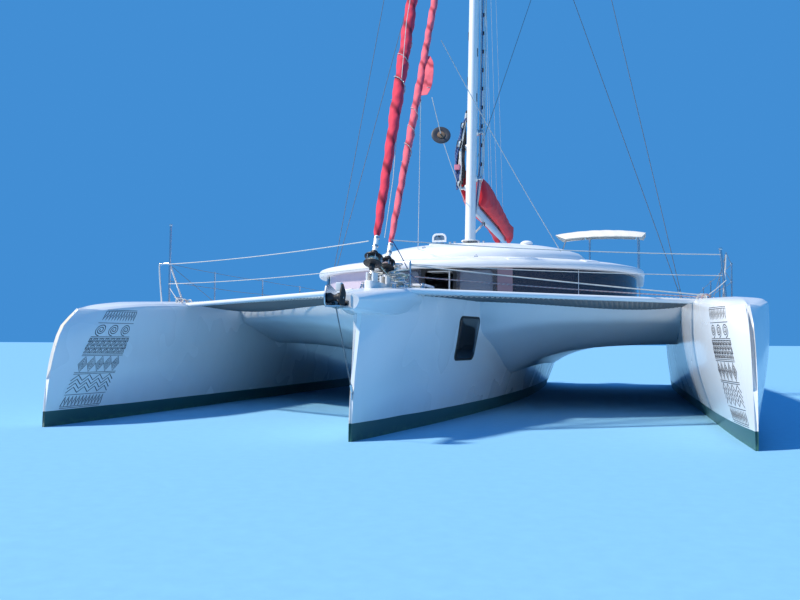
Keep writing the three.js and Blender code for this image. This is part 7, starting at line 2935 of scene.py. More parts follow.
@dataclass
class Rails:
    """The stanchions, guard wires and pulpits on the floats."""

    rail_x: float = 3.96
    wires: tuple[float, float] = (0.012, 0.262)
    stanchions: tuple[tuple[float, float, float], ...] = (
        (4.95, 1.44, 2.08), (6.85, 1.44, 2.08), (8.7, 1.44, 2.08), (10.6, 1.44, 2.07),
        (12.45, 1.4, 2.04),
    )
    posts: dict[str, float] = field(default_factory=lambda: {"port": 2.1, "starboard": 2.61})

    def build(self) -> None:
        """Builds the rails on both floats."""
        for side, sign in SIDES.items():
            self.rail(side, sign)
            self.bow_gear(side, sign)

    def rail(self, side: str, sign: int) -> None:
        """Builds one float's guard rail."""
        form = Form(f"guard_rail_tubes_{side}", STAINLESS)
        place = partial(at, sign * self.rail_x)
        for s, foot, top in self.stanchions:
            deck = FLOATS[side].side(s, min(foot + 0.03, FLOATS[side].lines["deck"](s) - 0.11), sign)
            form.rod(place(s, foot - 0.01), place(s, top), 0.0125, 16, 0.0115)
            form.turned(place(s, top - 0.001), UP, ((0.0115, 0), (0.012, 0.004), (0.006, 0.01)), 16)
            form.turned(
                Vector((sign * self.rail_x, deck.y, foot - 0.02)), UP,
                ((0.034, 0), (0.034, 0.018), (0.019, 0.03), (0.019, 0.11), (0.013, 0.118)), 20,
            )
            for drop in self.wires:
                form.tube(hoop(place(s, top - drop), 0.016, 0.008, 12), 0.003, 6, looped=True)
        form.use(WIRE)
        for drop in self.wires:
            for (s0, _, z0), (s1, _, z1) in zip(self.stanchions, self.stanchions[1:]):
                form.tube(slack(place(s0, z0 - drop), place(s1, z1 - drop), 0.008, 12), 0.0035, 8)
            first = self.stanchions[0]
            bow = at(sign * FLOAT_X, 3.1, 2.06 - (0.0 if drop < 0.1 else 0.25))
            form.tube(slack(place(first[0], first[2] - drop), bow, 0.008, 12), 0.0035, 8)
        form.use(STAINLESS)
        lean = 0.06 if sign > 0 else 0.0
        low, high = at(sign * FLOAT_X, 3.08, 1.42), at(sign * (FLOAT_X - lean), 3.1, self.posts[side])
        form.rod(low, high, 0.0158, 18, 0.0145)
        form.turned(high - UP * 0.012, UP, ((0.019, 0), (0.021, 0.006), (0.021, 0.02), (0.012, 0.028)), 18)
        leg = [
            at(sign * FLOAT_X, 3.56, 1.43), at(sign * FLOAT_X, 3.2, 1.9), at(sign * FLOAT_X, 3.125, 2.0),
            at(sign * FLOAT_X, 3.1, 2.035),
        ]
        form.tube(flowing(leg, 6), 0.013, 14)
        outer = [
            at(sign * (FLOAT_X + 0.26), 3.35, 1.4), at(sign * (FLOAT_X + 0.19), 3.13, 2.0),
            at(sign * (FLOAT_X + 0.13), 3.1, 2.055), at(sign * FLOAT_X, 3.09, 2.06),
        ]
        feet = [at(sign * FLOAT_X, 3.08, 1.46), at(sign * FLOAT_X, 3.55, 1.475)]
        if side == "starboard":
            form.tube(flowing(outer, 8), 0.0125, 14)
            feet.append(at(sign * (FLOAT_X + 0.256), 3.345, 1.42))
        for spot in feet:
            form.turned(spot - UP * 0.02, UP, ((0.036, 0), (0.036, 0.01), (0.02, 0.026), (0.017, 0.03)), 20)
        settle(form.object(), "stainless", f"guard_rail_{side}")

    def bow_gear(self, side: str, sign: int) -> None:
        """Adds the netting lashings, the ropes on the float's fore deck and the brace of its post."""
        heap = Form(f"float_lashings_{side}", ROPE_WHITE)
        for k in range(5):
            heap.use(ROPE_RED if k % 2 else ROPE_WHITE)
            centre = at(sign * (3.43 + 0.05 * (k % 2)), 2.86 + 0.07 * k, 1.5)
            path = [
                centre + Vector(
                    (
                        0.05 * math.cos(TAU * t / 14), 0.025 * math.sin(TAU * t / 7 + k),
                        0.04 * math.sin(TAU * t / 14) + 0.006,
                    )
                )
                for t in range(14 * 3 + 1)
            ]
            heap.tube(path, 0.0075, 8)
        heap.use(ROPE_WHITE).tube(
            slack(at(sign * 3.45, 2.9, 1.5), at(sign * FLOAT_X, 3.09, 1.72), 0.01, 10), 0.0055, 8
        )
        settle(heap.object(60.0), "rope")
        wire = Form(f"post_brace_{side}", WIRE)
        wire.tube(
            slack(at(sign * FLOAT_X, 3.1, 2.04), at(sign * (FLOAT_X - 0.05), 4.4, 1.56), 0.0, 6), 0.0035, 8
        )
        wire.use(STAINLESS).turned(
            at(sign * (FLOAT_X - 0.05), 4.42, 1.54), Vector((0, -1.3, 0.5)),
            ((0.006, 0), (0.01, 0.01), (0.01, 0.11), (0.006, 0.12)), 14,
        )
        settle(wire.object(), "wire")


def inflate(piece: bpy.types.Object, voxel: float, cap: float, pressure: float = 4.0) -> None:
    """Swells a closed pad with a cloth simulation, keeps each point near its start, and applies it.

    Args:
        piece: The pad, a little smaller than its finished size.
        voxel: The size of the remeshed cells.
        cap: The furthest that a point may move.
        pressure: The air pressure inside.
    """
    remesh = piece.modifiers.new("remesh", "REMESH")
    remesh.mode = "VOXEL"
    remesh.voxel_size = voxel
    apply_modifiers(piece)
    start = [v.co.copy() for v in piece.data.vertices]
    cloth = piece.modifiers.new("cloth", "CLOTH")
    cloth.settings.quality = 4
    cloth.settings.mass = 0.3
    cloth.settings.tension_stiffness = 40
    cloth.settings.compression_stiffness = 20
    cloth.settings.bending_stiffness = 2
    cloth.settings.use_pressure = True
    cloth.settings.uniform_pressure_force = pressure
    cloth.settings.effector_weights.gravity = 0.0
    cloth.point_cache.frame_end = 20
    scene = bpy.context.scene
    for number in range(1, 21):
        scene.frame_set(number)
    apply_modifiers(piece)
    scene.frame_set(1)
    for vertex, first in zip(piece.data.vertices, start):
        move = vertex.co - first
        if move.length > cap:
            vertex.co = first + move * (cap / move.length)
    smooth = piece.modifiers.new("smooth", "SUBSURF")
    smooth.levels = smooth.render_levels = 1
    apply_modifiers(piece)
    piece.data.shade_smooth()


def cushion(
    name: str, low: Vector, high: Vector, node: str | None, finish: Finish, thin: str = "z",
    cap: float = 0.026,
) -> None:
    """Makes a stuffed pad with a welt round its seam.

    Args:
        name: The piece's name.
        low: Its lowest corner.
        high: Its highest corner.
        node: The node that it stands for, if any.
        finish: Its cover.
        thin: The axis that it is thin along, z or y.
        cap: The furthest that its cover may swell.
    """
    inset = Vector((0.012, 0.012, 0.012))
    low, high = low + inset, high - inset
    pad = Form(name, finish)
    if thin == "z":
        pad.block(low, high, 0.05, 0.025)
    else:
        outline = rounded_rectangle(low.x, low.z, high.x, high.z, 0.06)
        depth = high.y - low.y
        rings = []
        for inset_by, share in ((0.02, 0.0), (0.0, 0.25), (0.0, 0.75), (0.02, 1.0)):
            wide, tall = (high.x - low.x) / 2, (high.z - low.z) / 2
            ring = [
                Vector(
                    (
                        low.x + wide + (x - low.x - wide) * (1 - inset_by / wide), low.y + depth * share,
                        low.z + tall + (z - low.z - tall) * (1 - inset_by / tall),
                    )
                )
                for x, z in outline
            ]
            rings.append(ring)
        pad.loft(rings)
    piece = pad.object(60.0)
    inflate(piece, 0.016, cap)
    piece.data.materials.clear()
    piece.data.materials.append(finish.material())
    settle(piece, "upholstery", *([node] if node else []))
    if thin == "z":
        outline = rounded_rectangle(low.x, low.y, high.x, high.y, 0.05, 4)
        wished = [Vector((x, y, high.z - 0.012)) for x, y in Deckhouse.dense(outline, 0.05)]
    else:
        outline = rounded_rectangle(low.x, low.z, high.x, high.z, 0.06, 4)
        wished = [Vector((x, low.y, z)) for x, z in Deckhouse.dense(outline, 0.05)]
    found = [piece.closest_point_on_mesh(p)[1] for p in wished]
    line(f"{name}_welt", [*found, found[0]], 0.0045, finish, slot="upholstery")


@dataclass
class Cockpit:
    """The cockpit: bench, pads, table, hardtop, door tracks and helm."""

    bench_x: tuple[float, float] = (-2.345, -1.8)
    bench_s: tuple[float, float, float] = (10.15, 11.65, 12.195)
    bench_wing: float = -0.5
    bench_z: float = 1.37
    hardtop: tuple[tuple[float, float], ...] = (
        (-2.78, 9.9503), (1.47, 9.9503), (1.47, 11.8), (1.22, 12.05), (-2.28, 12.05), (-2.65, 11.83),
    )
    wheel: tuple[float, float, float, float] = (2.1, 10.42, 1.83, 0.38)

    def build(self) -> None:
        """Builds the cockpit from its bench to its wheel."""
        self.bench()
        self.table()
        self.hardtop_roof()
        self.door_track()
        self.console()
        self.steering_wheel()
        self.helm_seat()

    def bench(self) -> None:
        """Builds the L-shaped bench and its pads."""
        (x0, x1), (s0, s1, s2) = self.bench_x, self.bench_s
        outline = [
            (x0, s0, 0.04), (x1, s0, 0.06), (x1, s1, 0.06), (self.bench_wing, s1, 0.06),
            (self.bench_wing, s2, 0.04), (x0, s2, 0.04),
        ]
        form = Form("cockpit_bench_moulding", HOUSE_WHITE)
        corners = rounded_outline(outline, 6)
        rings = [
            [at(x, s, COCKPIT_Z + 0.001) for x, s in corners],
            [at(x, s, self.bench_z - 0.02) for x, s in corners],
        ]
        middle = Vector(
            (sum(x for x, _ in corners) / len(corners), sum(s for _, s in corners) / len(corners))
        )
        for inset, z in ((0.004, self.bench_z - 0.008), (0.012, self.bench_z)):
            ring = []
            for x, s in corners:
                ring.append(
                    at(
                        x + math.copysign(inset, middle.x - x) * 0.5,
                        s + math.copysign(inset, middle.y - s) * 0.5, z,
                    )
                )
            rings.append(ring)
        form.loft(rings)
        form.use(BLACK)
        for s in (10.55, 11.25):
            form.block(at(x1 - 0.002, s - 0.19, 1.06), at(x1 + 0.004, s + 0.19, 1.29))
        settle(form.object(), "gelcoat", "cockpit_bench")
        gap, top = 0.008, self.bench_z + 0.09
        pads = [
            (x0 + 0.02, s0 + 0.02, x1 - 0.02, 10.89), (x0 + 0.02, 10.89, x1 - 0.02, s1),
            (x0 + 0.02, s1, x1 - 0.02, s2 - 0.02),
        ]
        middle_x = (x1 + self.bench_wing) / 2
        pads += [
            (x1 - 0.02, s1 + 0.02, middle_x, s2 - 0.02),
            (middle_x, s1 + 0.02, self.bench_wing - 0.02, s2 - 0.02),
        ]
        for i, (a, b, c, d) in enumerate(pads):
            low, high = at(
                a + gap / 2, b + gap / 2, self.bench_z + 0.001
            ), at(c - gap / 2, d - gap / 2, top)
            cushion(f"cockpit_pad_{i}", low, high, "cockpit_cushion" if i == 0 else None, UPHOLSTERY)

    def table(self) -> None:
        """Builds the cockpit table on its pillar."""
        form = Form("cockpit_table_top", TEAK)
        form.block(at(-1.62, 10.48, 1.641), at(-0.86, 11.38, 1.675), 0.07, 0.008)
        form.use(BLACK).block(at(-1.2435, 10.5, 1.674), at(-1.2365, 11.36, 1.6755))
        form.use(STAINLESS).turned(
            at(-1.24, 10.93, COCKPIT_Z + 0.001), UP,
            (
                (0.17, 0), (0.17, 0.012), (0.06, 0.026), (0.048, 0.05), (0.048, 0.66), (0.12, 0.685),
                (0.12, 0.692),
            ),
            32,
        )
        settle(form.object(), "teak", "cockpit_table")

    def hardtop_roof(self) -> None:
        """Builds the cockpit's hardtop with its gutter, its posts and its lamp."""
        middle = Vector((-0.65, 11.0))
        form = Form("hardtop_shell", DECK_WHITE)
        corners = rounded_outline([(x, s, 0.01 if s < 10 else 0.16) for x, s in self.hardtop], 6)
        rings = []
        for inset, z in (
            (0.03, 2.11), (0.008, 2.114), (0.0, 2.13), (0.0, 2.165), (0.01, 2.183), (0.035, 2.19),
            (0.1, 2.19), (0.115, 2.186), (0.13, 2.186), (0.15, 2.191), (0.6, 2.196),
        ):
            rings.append(
                [
                    at(
                        x + (middle.x - x) * inset / 2.0,
                        s + ((middle.y - s) * inset / 1.05 if s > 10 else 0.0), z,
                    )
                    for x, s in corners
                ]
            )
        form.loft(rings)
        form.use(SMOKED).block(at(-0.95, 10.6, 2.19), at(-0.35, 11.2, 2.2), 0.06, 0.003)
        form.use(BLACK)
        for x in (-1.9, 0.9):
            form.turned(at(x, 11.6, 2.194), UP, ((0.03, 0), (0.03, 0.012), (0.01, 0.02)), 20)
        settle(form.object(), "gelcoat", "cockpit_hardtop")
        posts = Form("hardtop_posts", SPAR)
        for x in (1.425, -2.45):
            foot = self.post_foot(x, COCKPIT_Z if x < 0 else DECK_Z)
            posts.block(at(x - 0.025, 11.855, foot), at(x + 0.025, 11.905, 2.109), 0.016)
            posts.block(at(x - 0.05, 11.83, foot), at(x + 0.05, 11.93, foot + 0.012), 0.02)
        posts.block(at(-2.45, 11.86, 2.0697), at(1.425, 11.9, 2.1095), 0.012)
        settle(posts.object(), "spar", "hardtop_frame")

    @staticmethod
    def post_foot(x: float, wished: float) -> float:
        """Returns where a hardtop post stands."""
        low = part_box("hardtop_frame")[0][2]
        return max(low, min(wished, DECK_Z)) if x < 0 else low

    def door_track(self) -> None:
        """Builds the sliding door's upper and lower tracks."""
        form = Form("door_tracks", BOOM_METAL)
        form.block(at(-1.38, HOUSE_AFT + 0.003, 2.043), at(0.46, HOUSE_AFT + 0.045, 2.052))
        form.block(
            at(-0.4, HOUSE_AFT + 0.012, COCKPIT_Z + 0.0005), at(0.4, HOUSE_AFT + 0.03, COCKPIT_Z + 0.003)
        )
        settle(form.object(), "spar")

    def console(self) -> None:
        """Builds the helm console with its instruments, engine lever and compass."""
        x0, x1, s0, s1 = 1.7, 2.5, 10.065, 10.34
        rows = [
            (s0, 1.151, 0.01), (s1, 1.151, 0.01), (s1, 1.99, 0.05), (s0 + 0.09, 2.12, 0.03),
            (s0, 2.12, 0.02),
        ]
        outline = rounded_outline(rows, 6)
        form = Form("helm_console_moulding", HOUSE_WHITE)
        rings = []
        for x, shrink in (
            (x0, 0.975), (x0 + 0.012, 0.995), (x0 + 0.03, 1.0), (x1 - 0.03, 1.0), (x1 - 0.012, 0.995),
            (x1, 0.975),
        ):
            rings.append(
                [
                    at(
                        x, lerp((s0 + s1) / 2, s, shrink),
                        lerp(1.151, z, 1.0 if z < 1.2 else lerp(0.5, 1, shrink)),
                    )
                    for s, z in outline
                ]
            )
        form.loft(rings)
        wx, ws, wz, _ = self.wheel
        form.use(STAINLESS).rod(at(wx, s1 - 0.01, wz), at(wx, ws + 0.035, wz), 0.0138, 20)
        form.turned(
            at(wx, s1 - 0.004, wz), AFT, ((0.07, 0), (0.07, 0.008), (0.04, 0.018), (0.024, 0.022)), 32
        )
        slope = Vector((0, s0 + 0.09 - s1, 2.12 - 1.99))
        normal = Vector((0, -slope.z, slope.y)).normalized()
        if normal.z < 0:
            normal = -normal
        for x, size in ((1.86, 0.055), (2.1, 0.065), (2.34, 0.055)):
            centre = at(x, (s1 + s0 + 0.09) / 2, (1.99 + 2.12) / 2)
            form.use(BLACK).turned(
                centre - normal * 0.012, normal,
                ((size, 0), (size, 0.018), (size - 0.006, 0.022), (size - 0.01, 0.018)), 32,
            )
            form.use(DIAL_FACE).turned(
                centre - normal * 0.01, normal,
                ((size - 0.011, 0), (size - 0.011, 0.024), (size - 0.013, 0.0245)), 32,
            )
        lever = at(2.4, s1, 1.75)
        form.use(STAINLESS).turned(lever - AFT * 0.003, AFT, ((0.05, 0), (0.05, 0.014), (0.02, 0.03)), 24)
        form.rod(lever + AFT * 0.02, lever + Vector((0, 0.045, 0.16)), 0.007, 10)
        form.use(BLACK).turned(
            lever + Vector((0, 0.043, 0.15)), Vector((0, 0.1, 1)),
            ((0.009, 0), (0.016, 0.012), (0.016, 0.03), (0.008, 0.04)), 18,
        )
        form.turned(at(2.1, s0 + 0.045, 2.118), UP, ((0.055, 0), (0.055, 0.02), (0.05, 0.026)), 28)
        form.use(SMOKED).turned(
            at(2.1, s0 + 0.045, 2.14), UP,
            ((0.048, 0), (0.046, 0.018), (0.035, 0.036), (0.018, 0.047), (0.006, 0.05)), 28,
        )
        settle(form.object(), "gelcoat", "helm_console")

    def steering_wheel(self) -> None:
        """Builds the wheel: a wrapped rim, five spokes and a hub."""
        x, s, z, reach = self.wheel
        centre = at(x, s, z)
        form = Form("helm_wheel", STAINLESS)
        form.tube(hoop(centre, reach, reach, 72), 0.0148, 14, looped=True)
        for a in angles(5):
            angle = a + math.pi / 2
            out = Vector((math.cos(angle), 0, math.sin(angle)))
            path = [centre + out * 0.035, centre + out * 0.2, centre + out * (reach - 0.004)]
            form.tube(path, lambda t: lerp(0.0115, 0.0085, t), 12)
        profile = (
            (0.0165, -0.024), (0.044, -0.025), (0.048, -0.018), (0.048, 0.016), (0.04, 0.025),
            (0.0165, 0.026),
        )
        form.loft(
            [hoop(centre + AFT * height, radius, radius, 32) for radius, height in profile], looped=True
        )
        form.use(BLACK)
        wrap = []
        for i in range(30 * 40 + 1):
            t = i / (30 * 40)
            a, b = TAU * t, TAU * 120 * t
            out = Vector((math.cos(a), 0, math.sin(a)))
            wrap.append(
                centre + out * (reach + 0.0155 * math.cos(b)) + Vector((0, 0.0155 * math.sin(b), 0))
            )
        form.tube(wrap[:-1], 0.0022, 4, looped=True)
        settle(form.object(), "stainless", "steering_wheel", body="wheel")

    def helm_seat(self) -> None:
        """Builds the helm seat's box, pad and back."""
        form = Form("helm_seat_box", HOUSE_WHITE)
        form.block(at(1.65, 11.08, 1.151), at(2.55, 11.59, 1.6), 0.05, 0.012)
        form.block(at(1.66, 11.52, 1.58), at(2.54, 11.59, 2.05), 0.02, 0.02)
        form.use(BLACK).block(at(1.8, 11.078, 1.22), at(2.4, 11.083, 1.52))
        settle(form.object(), "gelcoat")
        cushion("helm_seat_pad", at(1.655, 11.085, 1.601), at(2.545, 11.505, 1.69), "helm_seat", UPHOLSTERY)
        cushion(
            "helm_seat_back", at(1.655, 11.44, 1.7), at(2.545, 11.519, 2.115), None, UPHOLSTERY, thin="y",
            cap=0.012,
        )


@dataclass
class Bimini:
    """The arched canvas over the helm, on its tube frame."""

    rows: tuple[tuple[float, float, float, float, float], ...] = (
        (9.0, 1.36, 2.76, 2.94, 2.975), (9.35, 1.17, 2.83, 3.05, 3.13), (9.95, 1.1, 2.84, 3.125, 3.19),
        (10.55, 1.1, 2.84, 3.13, 3.19), (10.95, 1.16, 2.8, 3.1, 3.15),
    )
    bows: tuple[float, float, float] = (9.32, 10.07, 10.82)
    ends: tuple[float, float] = (9.0, 10.95)
    posts: tuple[tuple[float, float, float], ...] = (
        (1.79, bows[0], 2.3), (2.7, bows[0], 2.14), (1.72, bows[2], 1.15), (2.72, bows[2], 1.15),
    )

    def __post_init__(self) -> None:
        """Fits smooth lines to the rows."""
        self.lines = column_lines(self.rows)

    def spot(self, s: float, share: float, lift: float = 0.0) -> Vector:
        """Returns a point of the canvas at a place along the boat and a share across it."""
        x0, x1, edge, crown = (fit(s) for fit in self.lines)
        bars = 0.012 * math.sin(math.pi * clamp((s - self.bows[0]) / 1.5)) ** 2
        rise = (crown - edge) * math.sin(math.pi * share) ** 0.7
        crease = 0.003 * math.sin(share * 40 + s * 9) * math.sin(math.pi * share)
        return at(lerp(x0, x1, share), s, edge + rise - bars + crease + lift)

    def build(self) -> None:
        """Builds the frame and the canvas."""
        self.frame()
        self.canvas()

    def canvas(self) -> None:
        """Builds the canvas as one curved sheet with hemmed edges."""
        form = Form("bimini_cloth", BIMINI_CLOTH)
        first, last = self.ends
        places = [lerp(first, last, i / 48) for i in range(49)]
        shares = [i / 44 for i in range(45)]
        rings = []
        for s in places:
            top = [self.spot(s, share, 0.0015) for share in shares]
            under = [self.spot(s, share, -0.0015) for share in reversed(shares)]
            rings.append([*top, *under])
        form.loft(rings)
        area = 0.0
        for a, b in zip(rings, rings[1:]):
            for i in range(44):
                area += ((b[i] - a[i]).cross(a[i + 1] - a[i])).length
        piece = form.object(60.0)
        settle(piece, "bimini_canvas", "bimini_top")
        across = sum((self.spot(9.95, a) - self.spot(9.95, b)).length for a, b in zip(shares, shares[1:]))
        along = sum((self.spot(a, 0.5) - self.spot(b, 0.5)).length for a, b in zip(places, places[1:]))
        hem = Form("bimini_hem", BIMINI_CLOTH)
        edge = [self.spot(first, t) for t in shares] + [self.spot(s, 1.0) for s in places[1:]]
        edge += [self.spot(last, t) for t in reversed(shares[:-1])] + [
            self.spot(s, 0.0) for s in reversed(places[1:-1])
        ]
        hem.tube(edge, 0.007, 8, looped=True, flat=1.3)
        for s in (9.6, 10.45):
            hem.tube([self.spot(s, t, -0.006) for t in shares], 0.006, 6)
        settle(hem.object(60.0), "bimini_canvas")
        LOG.info("bimini cloth %.2f by %.2f m, %.3f square metres", across, along, area)

    def frame(self) -> None:
        """Builds the bows, the posts and the fore strut."""
        form = Form("bimini_tubes", STAINLESS)
        shares = [0.06 + 0.88 * i / 24 for i in range(25)]
        for s in self.bows:
            form.tube([self.spot(s, t, -0.024) for t in shares], 0.013, 12)
        for t in (0.3, 0.9):
            form.tube(
                [self.spot(lerp(self.bows[0], self.bows[2], i / 12), t, -0.036) for i in range(13)], 0.0125,
                12,
            )
        for x, s, foot in self.posts:
            x0, x1 = self.lines[0](s), self.lines[1](s)
            top = self.spot(s, (x - x0) / (x1 - x0), -0.03)
            form.rod(Vector((x, top.y, foot)), top, 0.0155, 16)
            form.turned(
                Vector((x, top.y, foot)), UP, ((0.04, 0), (0.04, 0.008), (0.022, 0.02), (0.018, 0.05)), 20
            )
        form.tube([self.spot(self.bows[0], 0.12, -0.03), at(1.27, 8.75, 2.565)], 0.0125, 14)
        settle(form.object(), "stainless", "bimini_frame")


def dress(node: str, finish: Finish) -> None:
    """Gives a carried-over node a procedural finish."""
    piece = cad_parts[node]
    if piece.material_slots:
        piece.material_slots[0].material = finish.material()
    else:
        piece.data.materials.append(finish.material())


@dataclass
class Underwater:
    """The keel, rudder, drive, propeller, engine and the stern's boarding ladder."""

    foil: tuple[tuple[float, float], ...] = (
        (0.0, 0.0), (0.008, 0.13), (0.03, 0.27), (0.07, 0.37), (0.12, 0.44), (0.2, 0.485), (0.32, 0.5),
        (0.45, 0.45), (0.6, 0.36),
        (0.75, 0.23), (0.88, 0.11), (1.0, 0.012),
    )
    drive_z: float = -0.74
    screw_s: float = 9.8505

    def build(self) -> None:
        """Builds everything below the waterline."""
        self.keel()
        self.rudder()
        self.drive()
        self.propeller()
        self.ladder()
        dress("engine", ENGINE_GREEN)

    def ring(self, z: float, nose: float, chord: float, thick: float) -> list[Vector]:
        """Returns a foil section at a height."""
        right = [at(y * thick, nose + x * chord, z) for x, y in self.foil]
        left = [at(-y * thick, nose + x * chord, z) for x, y in reversed(self.foil[1:])]
        return [*right, *left]

    def keel(self) -> None:
        """Builds the low-aspect keel."""
        rows = (
            (-0.46, 4.26, 3.95, 0.235), (-0.559, 4.3, 3.9, 0.23), (-0.74, 4.4, 3.7, 0.225),
            (-0.9, 4.5, 3.5, 0.22), (-1.1, 4.72, 3.13, 0.208), (-1.18, 4.79, 3.02, 0.19),
            (-1.2, 4.86, 2.88, 0.12),
        )
        form = Form("keel_fin", ANTIFOULING).loft([self.ring(*row) for row in rows])
        settle(form.object(50.0), "antifouling", "keel")

    def rudder(self) -> None:
        """Builds the rudder blade on its stock."""
        rows = (
            (-0.33, 11.975, 0.59, 0.07), (-0.335, 11.96, 0.62, 0.09), (-0.7, 11.99, 0.55, 0.078),
            (-1.06, 12.018, 0.474, 0.062), (-1.078, 12.03, 0.45, 0.045), (-1.08, 12.05, 0.41, 0.02),
        )
        form = Form("rudder_foil", ANTIFOULING).loft([self.ring(*row) for row in rows])
        form.use(STAINLESS).rod(at(0, 12.15, -0.4), at(0, 12.15, 0.28), 0.0318, 28)
        settle(form.object(50.0), "antifouling", "rudder", body="rudder_blade")

    def drive(self) -> None:
        """Builds the drive leg and its gear housing."""
        rows = ((-0.33, 9.46, 0.36, 0.09), (-0.5, 9.472, 0.34, 0.084), (-0.74, 9.5, 0.3, 0.07))
        form = Form("drive_leg", ALLOY).loft([self.ring(*row) for row in rows])
        profile = (
            (0.004, 0), (0.02, 0.006), (0.034, 0.022), (0.047, 0.055), (0.055, 0.1), (0.056, 0.2),
            (0.055, 0.32), (0.05, 0.39), (0.046, 0.42),
        )
        form.turned(at(0, 9.43, self.drive_z), AFT, profile, 36)
        form.loft(
            [
                [at(a, s, z) for a, z in ((-0.006, -0.78), (0.006, -0.78), (0.006, -0.9), (-0.006, -0.9))]
                for s in (9.55, 9.72)
            ]
        )
        settle(form.object(), "spar", "sail_drive")

    def propeller(self) -> None:
        """Builds the three-bladed propeller with its boss."""
        form = Form("propeller_bronze", BRONZE)
        foot = at(0, self.screw_s, self.drive_z)
        form.turned(
            foot, AFT,
            ((0.043, 0), (0.044, 0.01), (0.042, 0.05), (0.036, 0.085), (0.027, 0.108), (0.012, 0.118)), 36,
        )
        blade = (
            (0.025, 0.06, 58, 0.016), (0.06, 0.084, 49, 0.014), (0.09, 0.1, 42, 0.012),
            (0.13, 0.112, 34, 0.01), (0.165, 0.11, 28, 0.008), (0.2, 0.088, 24, 0.005),
            (0.22, 0.05, 22, 0.003), (0.225, 0.018, 22, 0.002),
        )
        outline = [
            (-0.5, 0.0), (-0.38, 0.3), (-0.15, 0.48), (0.1, 0.46), (0.34, 0.26), (0.5, 0.0), (0.34, -0.2),
            (0.1, -0.34), (-0.15, -0.36), (-0.38, -0.22),
        ]
        for spin in angles(3):
            out, around = Vector((math.cos(spin), 0, math.sin(spin))), Vector(
                (-math.sin(spin), 0, math.cos(spin))
            )
            rings = []
            for reach, chord, pitch, thick in blade:
                a = math.radians(pitch)
                ring = []
                for c, t in outline:
                    turn = c * chord * math.cos(a) - t * thick * math.sin(a)
                    back = c * chord * math.sin(a) + t * thick * math.cos(a)
                    ring.append(foot + Vector((0, 0.0495 + back, 0)) + out * reach + around * turn)
                rings.append(ring)
            form.loft(rings)
        settle(form.object(50.0), "bronze", "propeller", body="screw")

    def ladder(self) -> None:
        """Builds the folding boarding ladder and its lugs on the transom."""
        x, hinge, z, radius = 0.18, 13.29, 0.36, 0.0125
        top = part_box("swim_ladder")[1][2] - radius
        form = Form("boarding_ladder", STAINLESS)
        for sign in (-1, 1):
            form.tube([at(sign * x, hinge, height) for height in (z, z + 0.4, top)], radius, 14)
        form.rod(at(-x, hinge, top), at(x, hinge, top), radius, 14)
        form.rod(at(-0.2155, hinge, z), at(0.2155, hinge, z), 0.0118, 14)
        for share in (0.3, 0.62, 0.94):
            height = z + 0.82 * share
            form.use(TEAK).block(
                at(-x + 0.012, hinge - 0.02, height - 0.012), at(x - 0.012, hinge + 0.02, height + 0.012),
                0.008, 0.003,
            )
        settle(form.object(), "stainless", "swim_ladder", body="ladder")
        lugs = Form("ladder_lugs", STAINLESS)
        for sign in (-1, 1):
            outer = sign * 0.222
            lugs.block(
                at(min(outer, outer + sign * 0.008), hinge - 0.06, z - 0.03),
                at(max(outer, outer + sign * 0.008), hinge + 0.018, z + 0.02), 0.0,
            )
        settle(lugs.object(), "stainless")


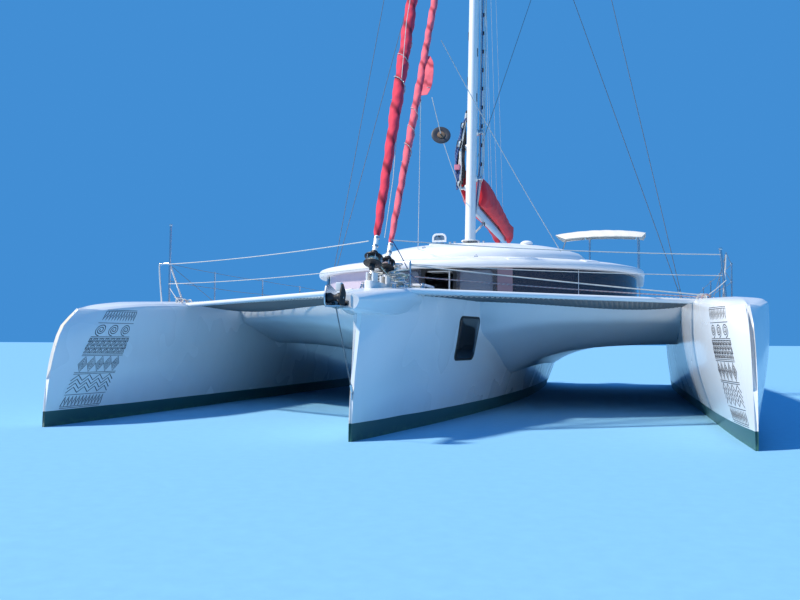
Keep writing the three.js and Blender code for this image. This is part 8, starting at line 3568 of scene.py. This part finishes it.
@dataclass
class Studio:
    """The camera at the photograph's place, a pale floor at the waterline and soft lights."""

    eye: Vector = field(default_factory=lambda: Vector((2.7074, -14.9109, 0.9746)))
    yaw: float = 0.26297
    pitch: float = 0.04616
    roll: float = 0.00405
    lens: float = 40.008
    sensor: float = 36.0

    def camera(self) -> None:
        """Makes the camera."""
        data = bpy.data.cameras.new("camera")
        data.sensor_width = self.sensor
        data.lens = self.lens
        data.clip_end = 1000.0
        camera = bpy.data.objects.new("camera", data)
        bpy.context.scene.collection.objects.link(camera)
        ahead = Vector(
            (
                -math.sin(self.yaw) * math.cos(self.pitch), math.cos(self.yaw) * math.cos(self.pitch),
                math.sin(self.pitch),
            )
        )
        right = Vector((math.cos(self.yaw), math.sin(self.yaw), 0))
        up = right.cross(ahead)
        across = right * math.cos(self.roll) + up * math.sin(self.roll)
        upward = up * math.cos(self.roll) - right * math.sin(self.roll)
        turn = Matrix((across, upward, -ahead)).transposed()
        camera.matrix_world = Matrix.Translation(self.eye) @ turn.to_4x4()
        bpy.context.scene.camera = camera

    def sun(self, direction: Vector, strength: float, angle: float) -> None:
        """Makes a soft distant key light that shines along a direction."""
        data = bpy.data.lights.new("key", "SUN")
        data.energy = strength
        data.angle = math.radians(angle)
        data.color = (1.0, 0.93, 0.8)
        lamp = bpy.data.objects.new("key", data)
        bpy.context.scene.collection.objects.link(lamp)
        lamp.rotation_mode = "QUATERNION"
        lamp.rotation_quaternion = direction.to_track_quat("-Z", "Y")

    def floor(self) -> None:
        """Makes the pale floor at the waterline."""
        form = Form("floor", Moulding("floor_paper", paint(0.19, 0.43, 0.64), 0.7, 40.0))
        reach = 260.0
        form.points = [
            Vector((x, y, 0.0))
            for x, y in ((-reach, -reach), (reach, -reach), (reach, reach), (-reach, reach))
        ]
        form.face((0, 1, 2, 3))
        form.object()

    def world(self) -> None:
        """Makes a sky-toned surround of one even colour."""
        world = bpy.data.worlds.new("surround")
        bpy.context.scene.world = world
        world.use_nodes = True
        background = world.node_tree.nodes["Background"]
        background.inputs["Color"].default_value = (0.055, 0.27, 0.66, 1.0)
        background.inputs["Strength"].default_value = 1.0
        bpy.context.scene.view_settings.view_transform = "Standard"

    def build(self) -> None:
        """Sets up the whole studio."""
        self.camera()
        self.floor()
        self.world()
        self.sun(Vector((0.72, 0.42, -1.0)), 4.9, 5.0)


def main() -> None:
    """Builds every sub-assembly in order."""
    Studio().build()
    for assembly in (
        Hulls(), Platform(), BowBands(), Deckhouse(), Roof(), Rig(), BowGear(), Rails(), Cockpit(),
        Bimini(), Underwater(),
    ):
        LOG.info("building %s", type(assembly).__name__)
        assembly.build()


if __name__ == "__main__":
    main()
